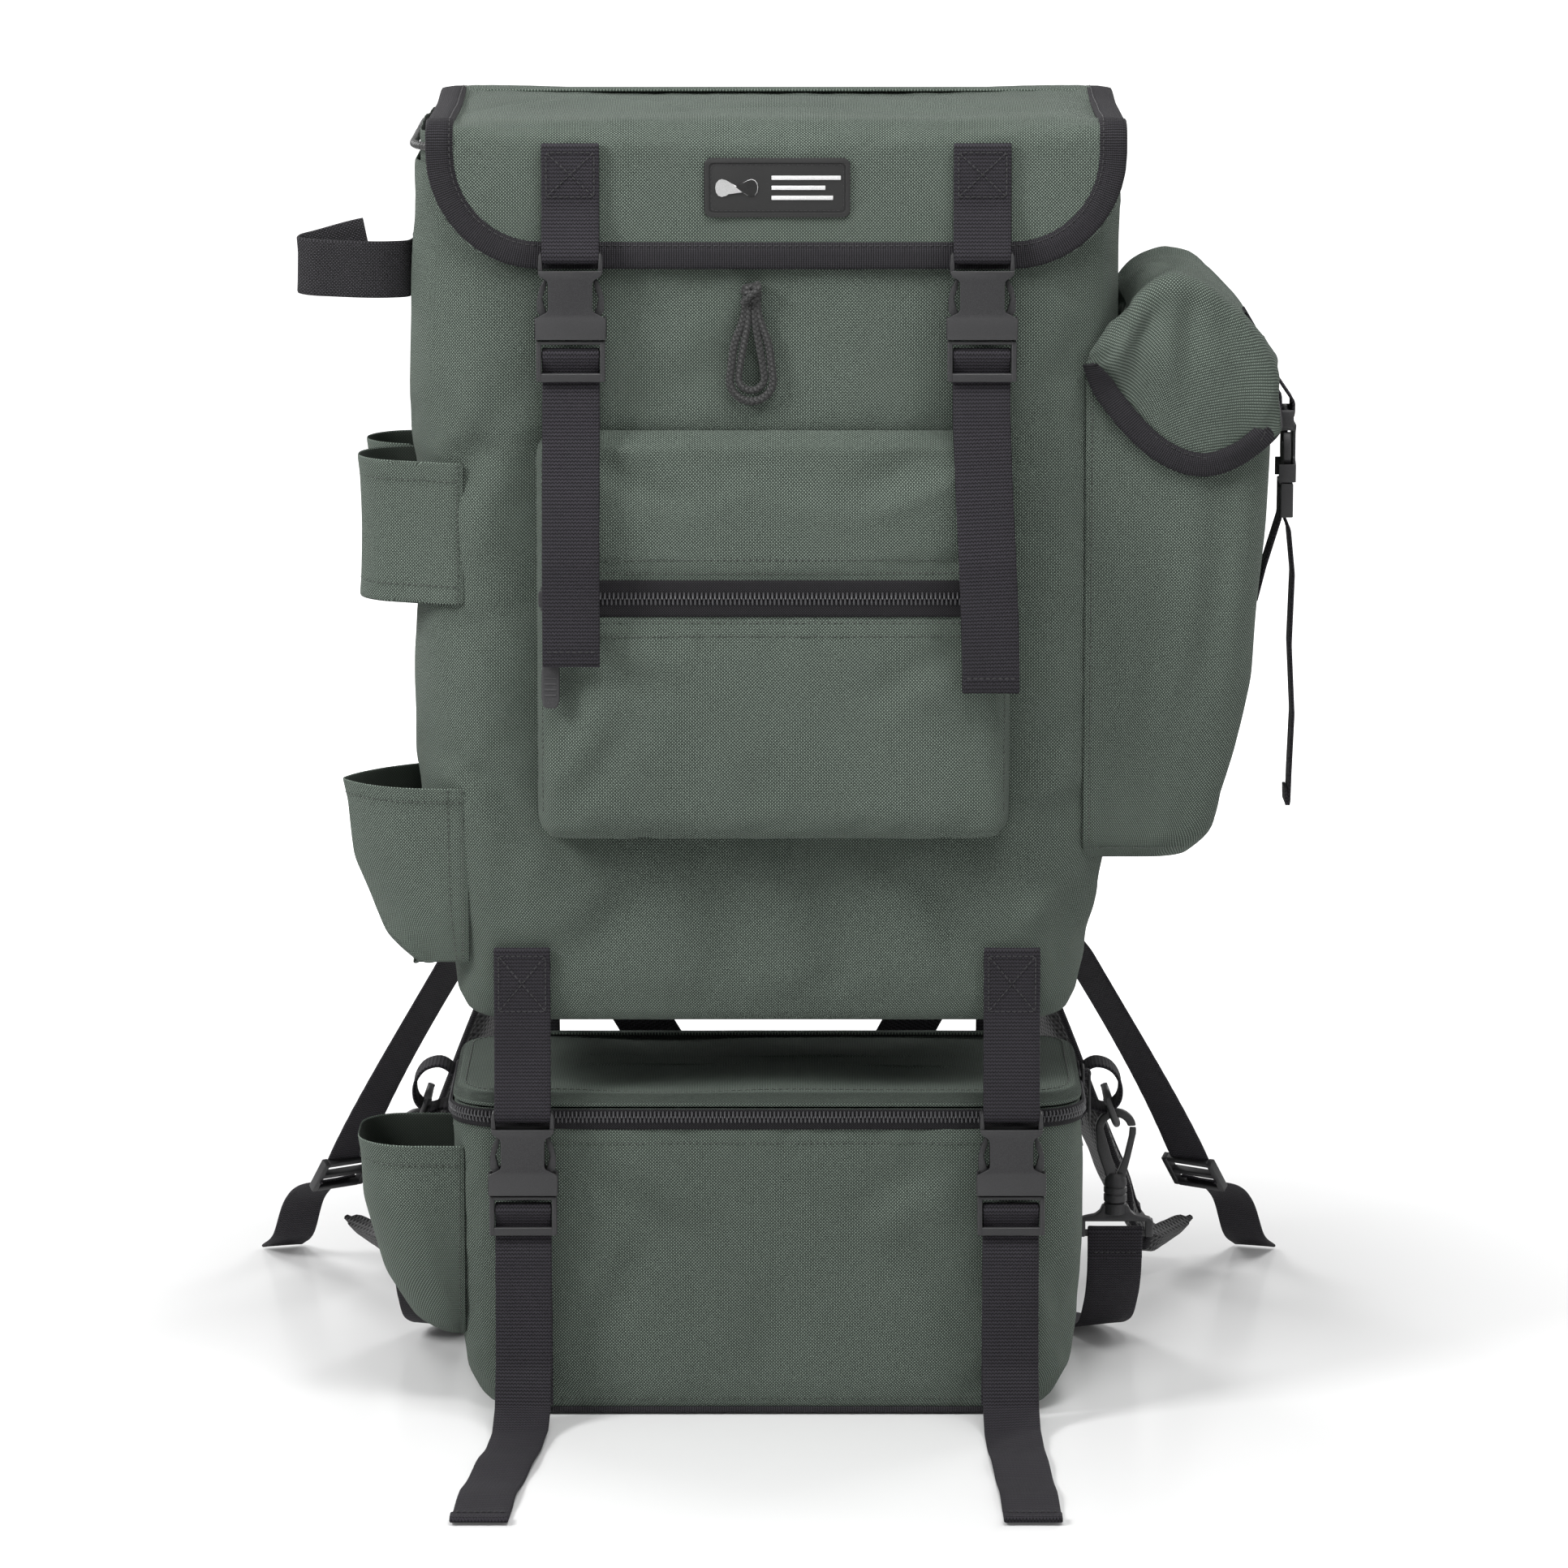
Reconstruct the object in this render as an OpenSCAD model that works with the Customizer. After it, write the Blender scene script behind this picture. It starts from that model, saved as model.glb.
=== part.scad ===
// Tackle rucksack standing on a separate lower bag.
// The origin is the middle of the lower bag's footprint on the floor. +X is the
// wearer's right when worn, -Y is the front, +Z is up. All sizes are millimetres.

/* [Lower bag] */
// Half of the lower bag's width
lower_half_w = 169; // [140:1:200]
// Distance from the origin to the lower bag's front face
lower_front = 82; // [60:1:120]
// Distance from the origin to the lower bag's back face
lower_back = 68; // [50:1:110]
// Height of the lower bag's open rim
lower_rim = 169; // [120:1:240]
// Height of the top of the zipped lid
lid_top = 178; // [130:1:250]

/* [Rucksack] */
// Half of the rucksack's width
ruck_half_w = 186; // [150:1:220]
// Distance from the origin to the rucksack's front face
ruck_front = 88; // [60:1:120]
// Distance from the origin to the rucksack's back face
ruck_back = 87; // [60:1:120]
// Height of the rucksack's floor above the ground
ruck_bottom = 215; // [190:1:300]
// Height of the rucksack's rim
ruck_top = 674; // [500:1:760]
// Thickness of the padded fabric walls
wall_t = 3; // [2:0.5:6]
// Thickness of thin unpadded fabric
fabric_t = 1.5; // [1:0.1:3]

/* [Top flap] */
// Sideways position of the flap's middle
flap_x = 5; // [-10:1:10]
// Half of the flap's width
flap_half_w = 182; // [150:1:220]
// Height of the flap's top surface
flap_top = 698; // [600:1:800]
// Height of the flap's lower edge at the front
flap_hem = 620; // [560:1:660]
// Radius of the flap's two lower corners
flap_corner_r = 58; // [10:1:90]
// Thickness of the flap sheet
sheet_t = 2.4; // [1.5:0.1:4]
// Width of the edge binding
binding_w = 12; // [8:0.5:20]

/* [Webbing and buckles] */
// Width of the main webbing
web_w = 30; // [20:1:40]
// Thickness of the webbing
web_t = 1.8; // [1:0.1:3]
// Sideways position of the left flap strap
strap_x_left = -102; // [-140:1:-60]
// Sideways position of the right flap strap
strap_x_right = 112; // [60:1:140]
// Height of the mouth of the flap buckles
flap_throat = 584; // [540:1:600]
// Sideways position of the front hanger straps
hanger_x = 130; // [100:1:145]
// Sideways position of the rear hanger straps
hanger_rear_x = 131; // [100:1:145]
// Height of the mouth of the hanger buckles
hanger_throat = 125; // [100:1:140]
// Size of the side pocket's buckle against the others
side_scale = 0.86; // [0.7:0.01:1]

/* [Front pocket] */
// Left edge of the front pocket
pocket_left = -121; // [-150:1:-90]
// Right edge of the front pocket
pocket_right = 128; // [90:1:150]
// Lower edge of the front pocket
pocket_low = 319; // [280:1:360]
// Upper edge of the front pocket
pocket_high = 535; // [480:1:570]
// Depth of the front pocket near its top
pocket_depth_top = 15.5; // [10:0.5:30]
// Depth of the front pocket near its bottom
pocket_depth_low = 28; // [15:0.5:45]
// Height of the pocket zip's middle
zip_z = 448.5; // [400:1:500]
// Rest position of the zip slider
slider_x = -113; // [-118:1:-90]

/* [Side pocket and rod holders] */
// Outermost reach of the side pocket
side_out = 266; // [230:1:300]
// Height of the side pocket's open rim
side_rim = 572; // [500:1:600]
// Height of the mouth of the side buckle
side_throat = 498; // [470:1:520]
// Radius of the front rod tube
rod_r = 30; // [20:1:40]
// Lower end of the rod tubes
rod_low = 441; // [400:1:480]
// Upper end of the rod tubes
rod_high = 517; // [480:1:560]

/* [Swivel hooks] */
// Distance of the hooks behind the origin
hook_y = 30; // [20:1:36]
// Sideways position of each hook's turning axis
hook_x = 191.5; // [188:0.5:210]
// Radius of the swivel pin
pin_r = 2.2; // [1.5:0.1:3]
// Running clearance of the swivel pin
pin_gap = 0.08; // [0.05:0.01:0.1]

/* [Hidden] */
$fn = 48;
gap = 0.3;
lower_r = [28, 24];
ruck_r = [38, 20];
female_h = 45;
male_h = 22;
bar_z = 43;
bar_r = 2.2;
adjust_z = -8;
adjust_r = 1.8;
half_web = web_t / 2;
wrap_r = bar_r + 0.2 + half_web;
adjust_wrap_r = adjust_r + 0.2 + half_web;
cord_r = 2.25;
cord_z = 682;
loop_x = -8;
face_slope = (pocket_depth_low - pocket_depth_top) / (pocket_high - pocket_low - 13);
face_tilt = atan(face_slope);
lower_taper = [[-29, 0], [-16, 6], [-7, 22], [-2, 50], [0, 90], [0, 300]];
ruck_taper = [[-36, 215], [-26, 219], [-20, 232], [-16, 262], [-8, 290], [-2, 320],
              [0, 350], [0, 800]];
hip_y = ruck_back + 14.2;
hip_tilt = -31;
side_y = -12;
side_y0 = -84;
side_y1 = 60;
side_x = 277;
side_web_t = 1.6;
flap_arch = [[189, 601], [200, 613], [212, 623.5], [221, 629], [233, 626], [247, 611], [260, 592],
             [267.6, 573], [270.2, 552], [270.6, 537]];
rod_strap_z = 602;
rod_strap_w = 32;

// ---------------------------------------------------------------- colours
olive = [0.36, 0.42, 0.35];
black = [0.10, 0.10, 0.11];
plastic = [0.20, 0.20, 0.21];
cord_c = [0.14, 0.14, 0.15];

// ---------------------------------------------------------------- helpers
function unit(v) = v / norm(v);
function normal2(a, b) = let (d = unit(b - a)) [-d[1], d[0]];
function side_vec(p, i) =
    let (n = len(p), n0 = normal2(p[max(i - 1, 0)], p[max(i, 1)]),
         n1 = normal2(p[min(i, n - 2)], p[min(i + 1, n - 1)]))
    (n0 + n1) / (1 + n0 * n1);
function arc_pts(c, r, a0, a1, n = 8) =
    [for (i = [0 : n]) let (a = a0 + (a1 - a0) * i / n) c + r * [cos(a), sin(a)]];
function both_sides(p) = concat(p, [for (i = [len(p) - 1 : -1 : 0]) [-p[i][0], p[i][1]]]);
function face_y(z) = -ruck_front - pocket_depth_low + (z - pocket_low - 6) * face_slope;

// strip of constant thickness along a path
module ribbon(p, t) {
    polygon(concat([for (i = [0 : len(p) - 1]) p[i] + side_vec(p, i) * t / 2],
                   [for (i = [len(p) - 1 : -1 : 0]) p[i] - side_vec(p, i) * t / 2]));
}

// path in y and z, width along x
module strip_yz(p, w, t, x = 0)
    translate([x, 0, 0]) rotate([90, 0, 90]) linear_extrude(w, center = true) ribbon(p, t);

// path in x and z, width along y
module strip_xz(p, w, t, y = 0)
    translate([0, y, 0]) rotate([90, 0, 0]) linear_extrude(w, center = true) ribbon(p, t);

module prism_yz(p, x0, x1)
    translate([x0, 0, 0]) rotate([90, 0, 90]) linear_extrude(x1 - x0) polygon(p);

module prism_xz(p, y0, y1)
    translate([0, y1, 0]) rotate([90, 0, 0]) linear_extrude(y1 - y0) polygon(p);

module block(a, b) translate(a) cube(b - a);

// rectangle with radius r0 at its two low-y corners and r1 at its two high-y corners
module rrect(x0, x1, y0, y1, r0, r1) {
    polygon([[x0 + r0, y0], [x1 - r0, y0], [x1, y0 + r0], [x1, y1 - r1],
             [x1 - r1, y1], [x0 + r1, y1], [x0, y1 - r1], [x0, y0 + r0]]);
    intersection() {
        translate([x0, y0]) square([x1 - x0, y1 - y0]);
        union() {
            for (x = [x0 + r0, x1 - r0]) translate([x, y0 + r0]) circle(r0);
            for (x = [x0 + r1, x1 - r1]) translate([x, y1 - r1]) circle(r1);
        }
    }
}

module rod_between(a, b, r) {
    d = b - a;
    translate(a) rotate([0, acos(d[2] / norm(d)), atan2(d[1], d[0])]) cylinder(r = r, h = norm(d));
}

// flat strap lying along a space curve, its width kept level
function tangent3(p, i) = unit(p[min(i + 1, len(p) - 1)] - p[max(i - 1, 0)]);
function across(p, i) = let (t = tangent3(p, i)) unit([t[1], -t[0], 0]);
function corner_set(p, i, w, t) =
    let (a = across(p, i) * w / 2, n = unit(cross(tangent3(p, i), across(p, i))) * t / 2)
    [p[i] + a + n, p[i] - a + n, p[i] - a - n, p[i] + a - n];
module drape(p, w, t) {
    n = len(p);
    polyhedron(
        [for (i = [0 : n - 1]) each corner_set(p, i, w, t)],
        concat([[0, 1, 2], [0, 2, 3]],
               [for (i = [0 : n - 2], k = [0 : 3]) let (a = 4 * i + k, b = 4 * i + (k + 1) % 4)
                each [[a, a + 4, b], [b, a + 4, b + 4]]],
               [[4 * n - 4, 4 * n - 2, 4 * n - 3], [4 * n - 4, 4 * n - 1, 4 * n - 2]]));
}

// ---------------------------------------------------------------- bag bodies
module lower_form(g, z0, z1) {
    intersection() {
        translate([0, 0, z0]) linear_extrude(z1 - z0)
            rrect(-lower_half_w - g, lower_half_w + g, -lower_front - g, lower_back + g,
                  lower_r[0] + g, lower_r[1] + g);
        prism_xz(both_sides([for (p = lower_taper) [lower_half_w + p[0] + g, p[1]]]), -200, 200);
    }
}

module ruck_form(g, z0, z1) {
    intersection() {
        translate([0, 0, z0]) linear_extrude(z1 - z0)
            rrect(-ruck_half_w - g, ruck_half_w + g, -ruck_front - g, ruck_back + g,
                  ruck_r[0] + g, ruck_r[1] + g);
        prism_xz(both_sides([for (p = ruck_taper) [ruck_half_w + p[0] + g, p[1]]]), -200, 200);
        prism_yz([[-ruck_front - g + 13, 215], [-ruck_front - g + 4, 219], [-ruck_front - g, 232],
                  [-ruck_front - g, 800], [ruck_back + g, 800], [ruck_back + g, 232],
                  [ruck_back + g - 4, 219], [ruck_back + g - 13, 215]], -300, 300);
    }
}

// ---------------------------------------------------------------- buckle halves
// mouth at z = 0, female above, male below, width along x, front towards -y
module buckle_female(open_back = false) {
    half = [[18.75, 0], [18.75, 12], [12.5, 18.5], [12.5, 29], [15.5, 32], [17.5, 34], [17.5, female_h]];
    difference() {
        prism_xz(both_sides(half), -5.5, 5.5);
        block([-17.25, -3.75, -1], [17.25, open_back ? 6 : 3.75, 32]);
        block([-15.6, -6, 35], [15.6, 6, female_h + 1]);
    }
    translate([-16.5, 0, bar_z]) rotate([0, 90, 0]) cylinder(r = bar_r, h = 33);
}

module buckle_male() {
    arm = [[11, -1], [15, -1], [15.2, 12], [16.9, 16], [16.9, 28], [14, 31.5], [10.5, 31.5],
           [12.9, 26], [12.9, 16], [11.2, 12]];
    for (s = [0, 1]) mirror([s, 0, 0]) {
        prism_xz(arm, -2.25, 2.25);
        block([15.6, -4, -male_h], [18, 4, -gap]);
    }
    block([-3, -2.25, -1], [3, 2.25, 24]);
    block([-18, -4, -2.2], [18, 4, -gap]);
    block([-18, -4, -male_h], [18, -1, -17.5]);
    translate([-16.5, 0, adjust_z]) rotate([0, 90, 0]) cylinder(r = adjust_r, h = 33);
}

// sewn loop round the female's bar: back leg and front leg run up from the bar
function bar_loop(y, z, back, front) =
    concat(back, arc_pts([y, z + bar_z], wrap_r, 0, -180), front);

// webbing through the male's adjusting bar: the sewn leg comes up behind,
// turns over the bar and leaves downwards behind the lower bar as the tail
function adjust_loop(y, z, sewn, tail) =
    concat(sewn, [[y + 3.3, z - male_h], [y + 3.3, z + adjust_z - 4]],
           arc_pts([y, z + adjust_z], adjust_wrap_r, 0, 205),
           [[y + 1.1, z - 17.4], [y + 1.1, z - male_h]], tail);

// ---------------------------------------------------------------- lower bag
module lower_shell() color(olive) difference() {
    lower_form(0, 0, lower_rim);
    lower_form(-wall_t, wall_t, lower_rim + 10);
}

module lid_outline(g) rrect(-lower_half_w - g, lower_half_w + g, -lower_front - g,
                            lower_back - 2 + g, lower_r[0] + g, lower_r[1] + g);

module lower_lid() color(olive) {
    translate([0, 0, lid_top - wall_t]) linear_extrude(wall_t) lid_outline(0);
    translate([0, 0, lower_rim + gap]) linear_extrude(lid_top - lower_rim - wall_t - gap + 0.5)
        difference() { lid_outline(0); lid_outline(-wall_t); }
}

module lower_zip() color(black) difference() {
    lower_form(gap + 1.2, lower_rim - 10, lower_rim - 0.2);
    lower_form(gap, lower_rim - 20, lower_rim + 10);
    block([-300, lower_back - 20, 0], [300, 200, 400]);
}

module lower_zip_slider() color(plastic) translate([lower_half_w + gap + 1.6, -2, lower_rim]) {
    block([0, -6, -6], [3, 6, 6]);
    block([3, -1, -1.5], [5, 1, 1.5]);
    block([4, -3, -26], [5.4, 3, 1.5]);
}

module lower_webbing_front(x) {
    y = -lower_front - 13;
    color(black) strip_yz(adjust_loop(y, hanger_throat,
        [[-lower_front - 1.8, 6], [-lower_front - 3, 40]],
        [[y - 2, 92], [y - 4, 60], [y - 8, 32], [y - 18, 12], [y - 34, 3.4], [y - 60, 1.2], [-286, 1.2]]),
        web_w, web_t, x);
    color(black) block([x - web_w / 2, -294, 0.1], [x + web_w / 2, -284, 3.9]);
}

module lower_webbing_front_left() lower_webbing_front(-hanger_x);

module lower_webbing_front_right() lower_webbing_front(hanger_x);

module lower_webbings_rear() color(black) for (x = [-hanger_rear_x, hanger_rear_x]) mirror([0, 1, 0]) {
    y = -ruck_back - 7;
    strip_yz(adjust_loop(y, hanger_throat, [[-lower_back - 1.8, 6], [-lower_back - 6, 40]],
        [[y - 1, 92], [y - 4, 60], [y - 6, 22]]), web_w, web_t, x);
}

module lower_males_front() color(plastic) for (x = [-hanger_x, hanger_x])
    translate([x, -lower_front - 13, hanger_throat]) buckle_male();

module lower_males_rear() color(plastic) for (x = [-hanger_rear_x, hanger_rear_x])
    translate([x, ruck_back + 7, hanger_throat]) mirror([0, 1, 0]) buckle_male();

module lower_side_pocket() color(olive) difference() {
    intersection() {
        translate([0, 0, 40]) linear_extrude(106) rrect(-222, -120, -72, 8, 38, 30);
        prism_xz([[-120, 146], [-222, 146], [-220, 112], [-207, 70], [-190, 46], [-172, 40], [-120, 40]],
                 -100, 100);
    }
    intersection() {
        translate([0, 0, 40 + fabric_t]) linear_extrude(106)
            rrect(-222 + fabric_t, -120, -72 + fabric_t, 8 - fabric_t, 38 - fabric_t, 30 - fabric_t);
        prism_xz([[-120, 150], [-222 + fabric_t, 150], [-220 + fabric_t, 112], [-207 + fabric_t, 71],
                  [-190 + fabric_t, 47], [-172, 41.5], [-120, 41.5]], -100, 100);
    }
    lower_form(gap, 0, lower_rim + 10);
}

// ---------------------------------------------------------------- carry strap and hooks
module carry_loops() color(black) for (s = [0, 1]) mirror([s, 0, 0])
    strip_xz([[171.6, 122], [171.6, 140], [176, 145.5], [186, 143.5], [192.6, 148], [193.5, 158],
              [188, 167.5], [179, 169.5], [171.6, 164], [171.6, 156]], web_w - 5, web_t, hook_y);

module ring_one() {
    rotate([90, 0, 0]) cylinder(r = 2, h = 38.6, center = true);
    rotate([0, 90, 0]) rotate([0, 0, -90]) rotate_extrude(angle = 180) translate([17.3, 0]) circle(2);
}

module carry_rings() color(plastic) for (s = [0, 1]) mirror([s, 0, 0])
    translate([186, hook_y, 151]) rotate([0, -20, 0]) ring_one();

module hook_base() {
    difference() {
        block([-21, -3.5, 71], [21, 3.5, 86]);
        block([-16.2, -4, 68], [16.2, 4, 81]);
    }
    translate([-17, 0, 72.5]) rotate([0, 90, 0]) cylinder(r = 2, h = 34);
    translate([0, 0, 80.9]) cylinder(r = 6.5, h = 9.1);
    translate([0, 0, 89.9]) cylinder(r = pin_r, h = 8.5);
    translate([0, 0, 98.3]) cylinder(r = 4, h = 4.2);
}

module hook_bases() color(plastic) for (s = [-1, 1]) translate([s * hook_x, hook_y, 0]) hook_base();

// crook over the ring, two legs and the barrel that turns on the pin
module hook_one() {
    crook_z = 131.5;
    inner_r = 6.7;
    outer_r = 11.4;
    difference() {
        union() {
            translate([0, 0, 90.3]) cylinder(r = 6.5, h = 17.7);
            for (s = [0, 1]) mirror([s, 0, 0])
                prism_xz([[1, 104], [5.8, 104], [outer_r, crook_z], [inner_r, crook_z]], -2.4, 2.4);
            translate([0, 2.4, crook_z]) rotate([90, 0, 0]) linear_extrude(4.8) intersection() {
                difference() { circle(outer_r); circle(inner_r); }
                translate([-12, -0.01]) square([24, 12]);
            }
        }
        translate([0, 0, 90]) cylinder(r = pin_r + pin_gap, h = 9);
        translate([0, 0, 97.9]) cylinder(r = 4.3, h = 5);
    }
}

module hook_left() color(plastic) translate([-hook_x, hook_y, 0]) hook_one();

module hook_right() color(plastic) translate([hook_x, hook_y, 0]) hook_one();

module carry_strap() color(black) {
    right = [[hook_x, hook_y, 60], [hook_x, hook_y + 7, 48], [hook_x - 1, 54, 28], [187, 76, 10],
             [175, 101, 2.8], [152, 123, 1.3], [116, 140, 1.3], [62, 150, 1.3], [0, 153, 1.3]];
    left = [for (i = [len(right) - 2 : -1 : 0]) [-right[i][0], right[i][1], right[i][2]]];
    drape(concat(right, left), web_w, web_t);
    for (s = [-1, 1]) {
        translate([0, hook_y, 0])
            strip_yz(concat([[1.1, 61]], arc_pts([0, 72.5], 3.1, 0, 180), [[-1.1, 61]]),
                     web_w, web_t, s * hook_x);
        block([s * hook_x - web_w / 2, hook_y - 2, 58], [s * hook_x + web_w / 2, hook_y + 2, 62]);
    }
}

// ---------------------------------------------------------------- rucksack body
module main_shell() color(olive) difference() {
    ruck_form(0, ruck_bottom, ruck_top);
    ruck_form(-wall_t, ruck_bottom + wall_t, ruck_top + 10);
}

module drawcord_collar() color(olive) difference() {
    ruck_form(-wall_t - gap, 640, 690);
    ruck_form(-wall_t - gap - fabric_t, 600, 720);
}

module drawcord() color(cord_c) {
    o = wall_t + gap - cord_r - 0.2;
    xr = ruck_half_w - o;
    yf = -ruck_front + o;
    yb = ruck_back - o;
    r0 = ruck_r[0] - o;
    r1 = ruck_r[1] - o;
    for (s = [-1, 1]) rod_between([s * xr, yf + r0, cord_z], [s * xr, yb - r1, cord_z], cord_r);
    rod_between([-xr + r0, yf, cord_z], [xr - r0, yf, cord_z], cord_r);
    rod_between([-xr + r1, yb, cord_z], [xr - r1, yb, cord_z], cord_r);
    for (s = [0, 1]) mirror([s, 0, 0]) {
        translate([xr - r0, yf + r0, cord_z]) rotate(-90) rotate_extrude(angle = 90)
            translate([r0, 0]) circle(cord_r);
        translate([xr - r1, yb - r1, cord_z]) rotate_extrude(angle = 90)
            translate([r1, 0]) circle(cord_r);
    }
    for (x = [-2.5, 2.5]) translate([loop_x + x, -ruck_front - 2.55, 619.5])
        cylinder(r = cord_r, h = cord_z - 619.5);
}

module drawcord_loop() color(cord_c) {
    y = -ruck_front - 6;
    translate([loop_x, y, 604]) cylinder(r = 5.5, h = 11);
    translate([loop_x, 0, 0]) strip_xz(concat([[-2.6, 607]], arc_pts([0, 562], 11.5, 175, 365, 16),
                                              [[2.6, 607]]), 2 * cord_r, 2 * cord_r, y);
}

module back_pad() color(black)
    translate([0, ruck_back + gap + 11.7, 0]) rotate([90, 0, 0]) linear_extrude(11.7)
        rrect(-130, 130, 262, 600, 30, 30);

module grab_handle() color(black) {
    y = ruck_back + gap + half_web;
    translate([0, 0, 626]) linear_extrude(25)
        ribbon([[-74, y], [-52, y], [-40, y + 4], [-22, y + 17], [0, y + 22], [22, y + 17], [40, y + 4],
                [52, y], [74, y]], web_t);
}

module shoulder_strap_left() color(black)
    drape([[-45, 110, 598], [-45.5, 116, 575], [-52, 138, 520], [-73, 163, 420], [-108, 188, 300],
           [-154, 210, 170], [-194, 224, 72], [-212, 227, 32], [-224, 226, 19], [-233, 221, 29]], 60, 10);

module shoulder_strap_right() color(black) mirror([1, 0, 0]) shoulder_strap_left();

// three-bar slide: bars along x at z = -10, 0 and 10
module ladder_body() {
    difference() {
        block([-17, -3, -12], [17, 3, 12]);
        block([-13, -4, -8], [13, 4, -2]);
        block([-13, -4, 2], [13, 4, 8]);
    }
}

module lock_place() translate([-245, 200, 66]) rotate([39.6, 0, 35]) children();

module ladder_locks() color(plastic) for (s = [0, 1]) mirror([s, 0, 0]) lock_place() ladder_body();

module shoulder_webbing_left() color(black) {
    drape([[-160, ruck_back + 8, 250], [-160.5, ruck_back + 10, 236], [-172, 110, 215], [-235, 183, 92]],
          25, web_t);
    drape([[-256, 209, 66], [-268, 232, 44], [-278, 258, 14], [-286, 286, 1.4]], 25, web_t);
}

module shoulder_webbing_right() color(black) mirror([1, 0, 0]) shoulder_webbing_left();

// ---------------------------------------------------------------- hip belt, hanging in a V
module hip_webbing_left() color(black)
    strip_xz([[-126, 272], [-43.6, 134.4]], web_t, web_w, hip_y);

module hip_webbing_right() color(black)
    strip_xz(concat([[-8, 75.4], [-5, 70.4]], arc_pts([8.7, 78.6], 16, 211, 331), [[130, 268]]),
             web_t, web_w, hip_y);

module hip_buckle() color(plastic)
    translate([-19.8, hip_y, 95]) rotate([0, hip_tilt, 0]) mirror([0, 1, 0]) {
        buckle_female();
        buckle_male();
    }

// ---------------------------------------------------------------- front pocket and its zip
module pocket_form(g, y_back) {
    f = -ruck_front;
    intersection() {
        prism_yz([[y_back, pocket_low - g], [f - pocket_depth_low + 5 - g, pocket_low - g],
                  [face_y(pocket_low + 6) - g, pocket_low + 6],
                  [face_y(pocket_high - 7) - g, pocket_high - 7],
                  [f - pocket_depth_top + 3 - g, pocket_high + g], [y_back, pocket_high + g]],
                 pocket_left - g, pocket_right + g);
        rotate([90, 0, 0]) linear_extrude(300)
            rrect(pocket_left - g, pocket_right + g, pocket_low - g, pocket_high + g, 12 + g, 14 + g);
    }
}

module front_pocket() color(olive) difference() {
    pocket_form(0, -ruck_front - gap);
    pocket_form(-2.2, 0);
    block([pocket_left + 8, -200, zip_z - 5], [pocket_right - 8, -60, zip_z + 5]);
}

module on_face(x, z) translate([x, face_y(z), z]) rotate([-face_tilt, 0, 0]) children();

module front_pocket_zip() color(black) on_face((pocket_left + pocket_right) / 2, zip_z) {
    w = (pocket_right - pocket_left) / 2 - 3;
    block([-w, -1, -9.5], [w, -0.2, 9.5]);
    block([-w, -2.4, -4], [w, -0.9, 4]);
}

module pocket_slider() color(plastic) on_face(slider_x, zip_z) {
    block([-5.5, -5, -6.5], [5.5, -2.6, 6.5]);
    for (s = [0, 1]) mirror([0, 0, s]) block([-5.5, -2.7, 4.6], [5.5, -1.2, 6.5]);
    translate([0, -4.9, 0]) rotate([90, 0, 0]) cylinder(r = 1.5, h = 3.5);
    translate([0, -8.3, 0]) rotate([90, 0, 0]) cylinder(r = 2.6, h = 0.9);
}

module pocket_pull() color(cord_c) on_face(slider_x, zip_z) {
    difference() {
        union() {
            translate([0, -5.8, 0]) rotate([90, 0, 0]) cylinder(r = 3.4, h = 2.2);
            block([-3, -8, -32], [3, -5.8, -1]);
            block([-4.7, -9.2, -57], [4.7, -4.6, -31]);
        }
        rotate([90, 0, 0]) cylinder(r = 1.6, h = 20);
    }
}

// ---------------------------------------------------------------- top flap
module top_flap() color(olive) {
    y0 = -ruck_front - 6.2;
    z0 = flap_top - sheet_t / 2;
    intersection() {
        strip_yz(concat([[ruck_back + 1, z0]], arc_pts([y0 + 12, z0 - 12], 12, 90, 180), [[y0, flap_hem]]),
                 2 * flap_half_w, sheet_t, flap_x);
        translate([flap_x, 300, 0]) rotate([90, 0, 0]) linear_extrude(600)
            rrect(-flap_half_w, flap_half_w, flap_hem, flap_top + 60, flap_corner_r, 1);
    }
}

module flap_binding() color(black) {
    y = -ruck_front - 6.2 - sheet_t / 2;
    translate([flap_x, y - 0.1, 0]) rotate([90, 0, 0]) linear_extrude(0.8) difference() {
        rrect(-flap_half_w, flap_half_w, flap_hem, 686, flap_corner_r, 1);
        rrect(-flap_half_w + binding_w, flap_half_w - binding_w, flap_hem + binding_w, 700,
              flap_corner_r - binding_w, 1);
    }
}

module badge() color(black)
    translate([flap_x + 0.5, -ruck_front - 7.6, 662.5]) rotate([90, 0, 0]) {
        linear_extrude(1.2) rrect(-38, 38, -15.5, 15.5, 4, 4);
        linear_extrude(1.8) difference() {
            rrect(-38, 38, -15.5, 15.5, 4, 4);
            rrect(-35.6, 35.6, -13.1, 13.1, 2, 2);
        }
        linear_extrude(1.8) rrect(-34, -12, -11.5, 11.5, 1, 1);
    }

module flap_strap(x) color(black) {
    y = -ruck_front - 14.5;
    strip_yz(bar_loop(y, flap_throat, [[-ruck_front - 8.5, 684], [-ruck_front - 8.5, 640],
                                       [-ruck_front - 9.9, 632], [y + wrap_r, flap_throat + bar_z + 2]],
                      [[y - wrap_r + 0.6, flap_throat + bar_z + 3], [-ruck_front - 10.6, 652],
                       [-ruck_front - 10.5, 684]]), web_w, web_t, x);
}

module flap_strap_left() flap_strap(strap_x_left);

module flap_strap_right() flap_strap(strap_x_right);

module flap_female_left() color(plastic)
    translate([strap_x_left, -ruck_front - 14.5, flap_throat]) buckle_female(true);

module flap_female_right() color(plastic)
    translate([strap_x_right, -ruck_front - 14.5, flap_throat]) buckle_female(true);

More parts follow.
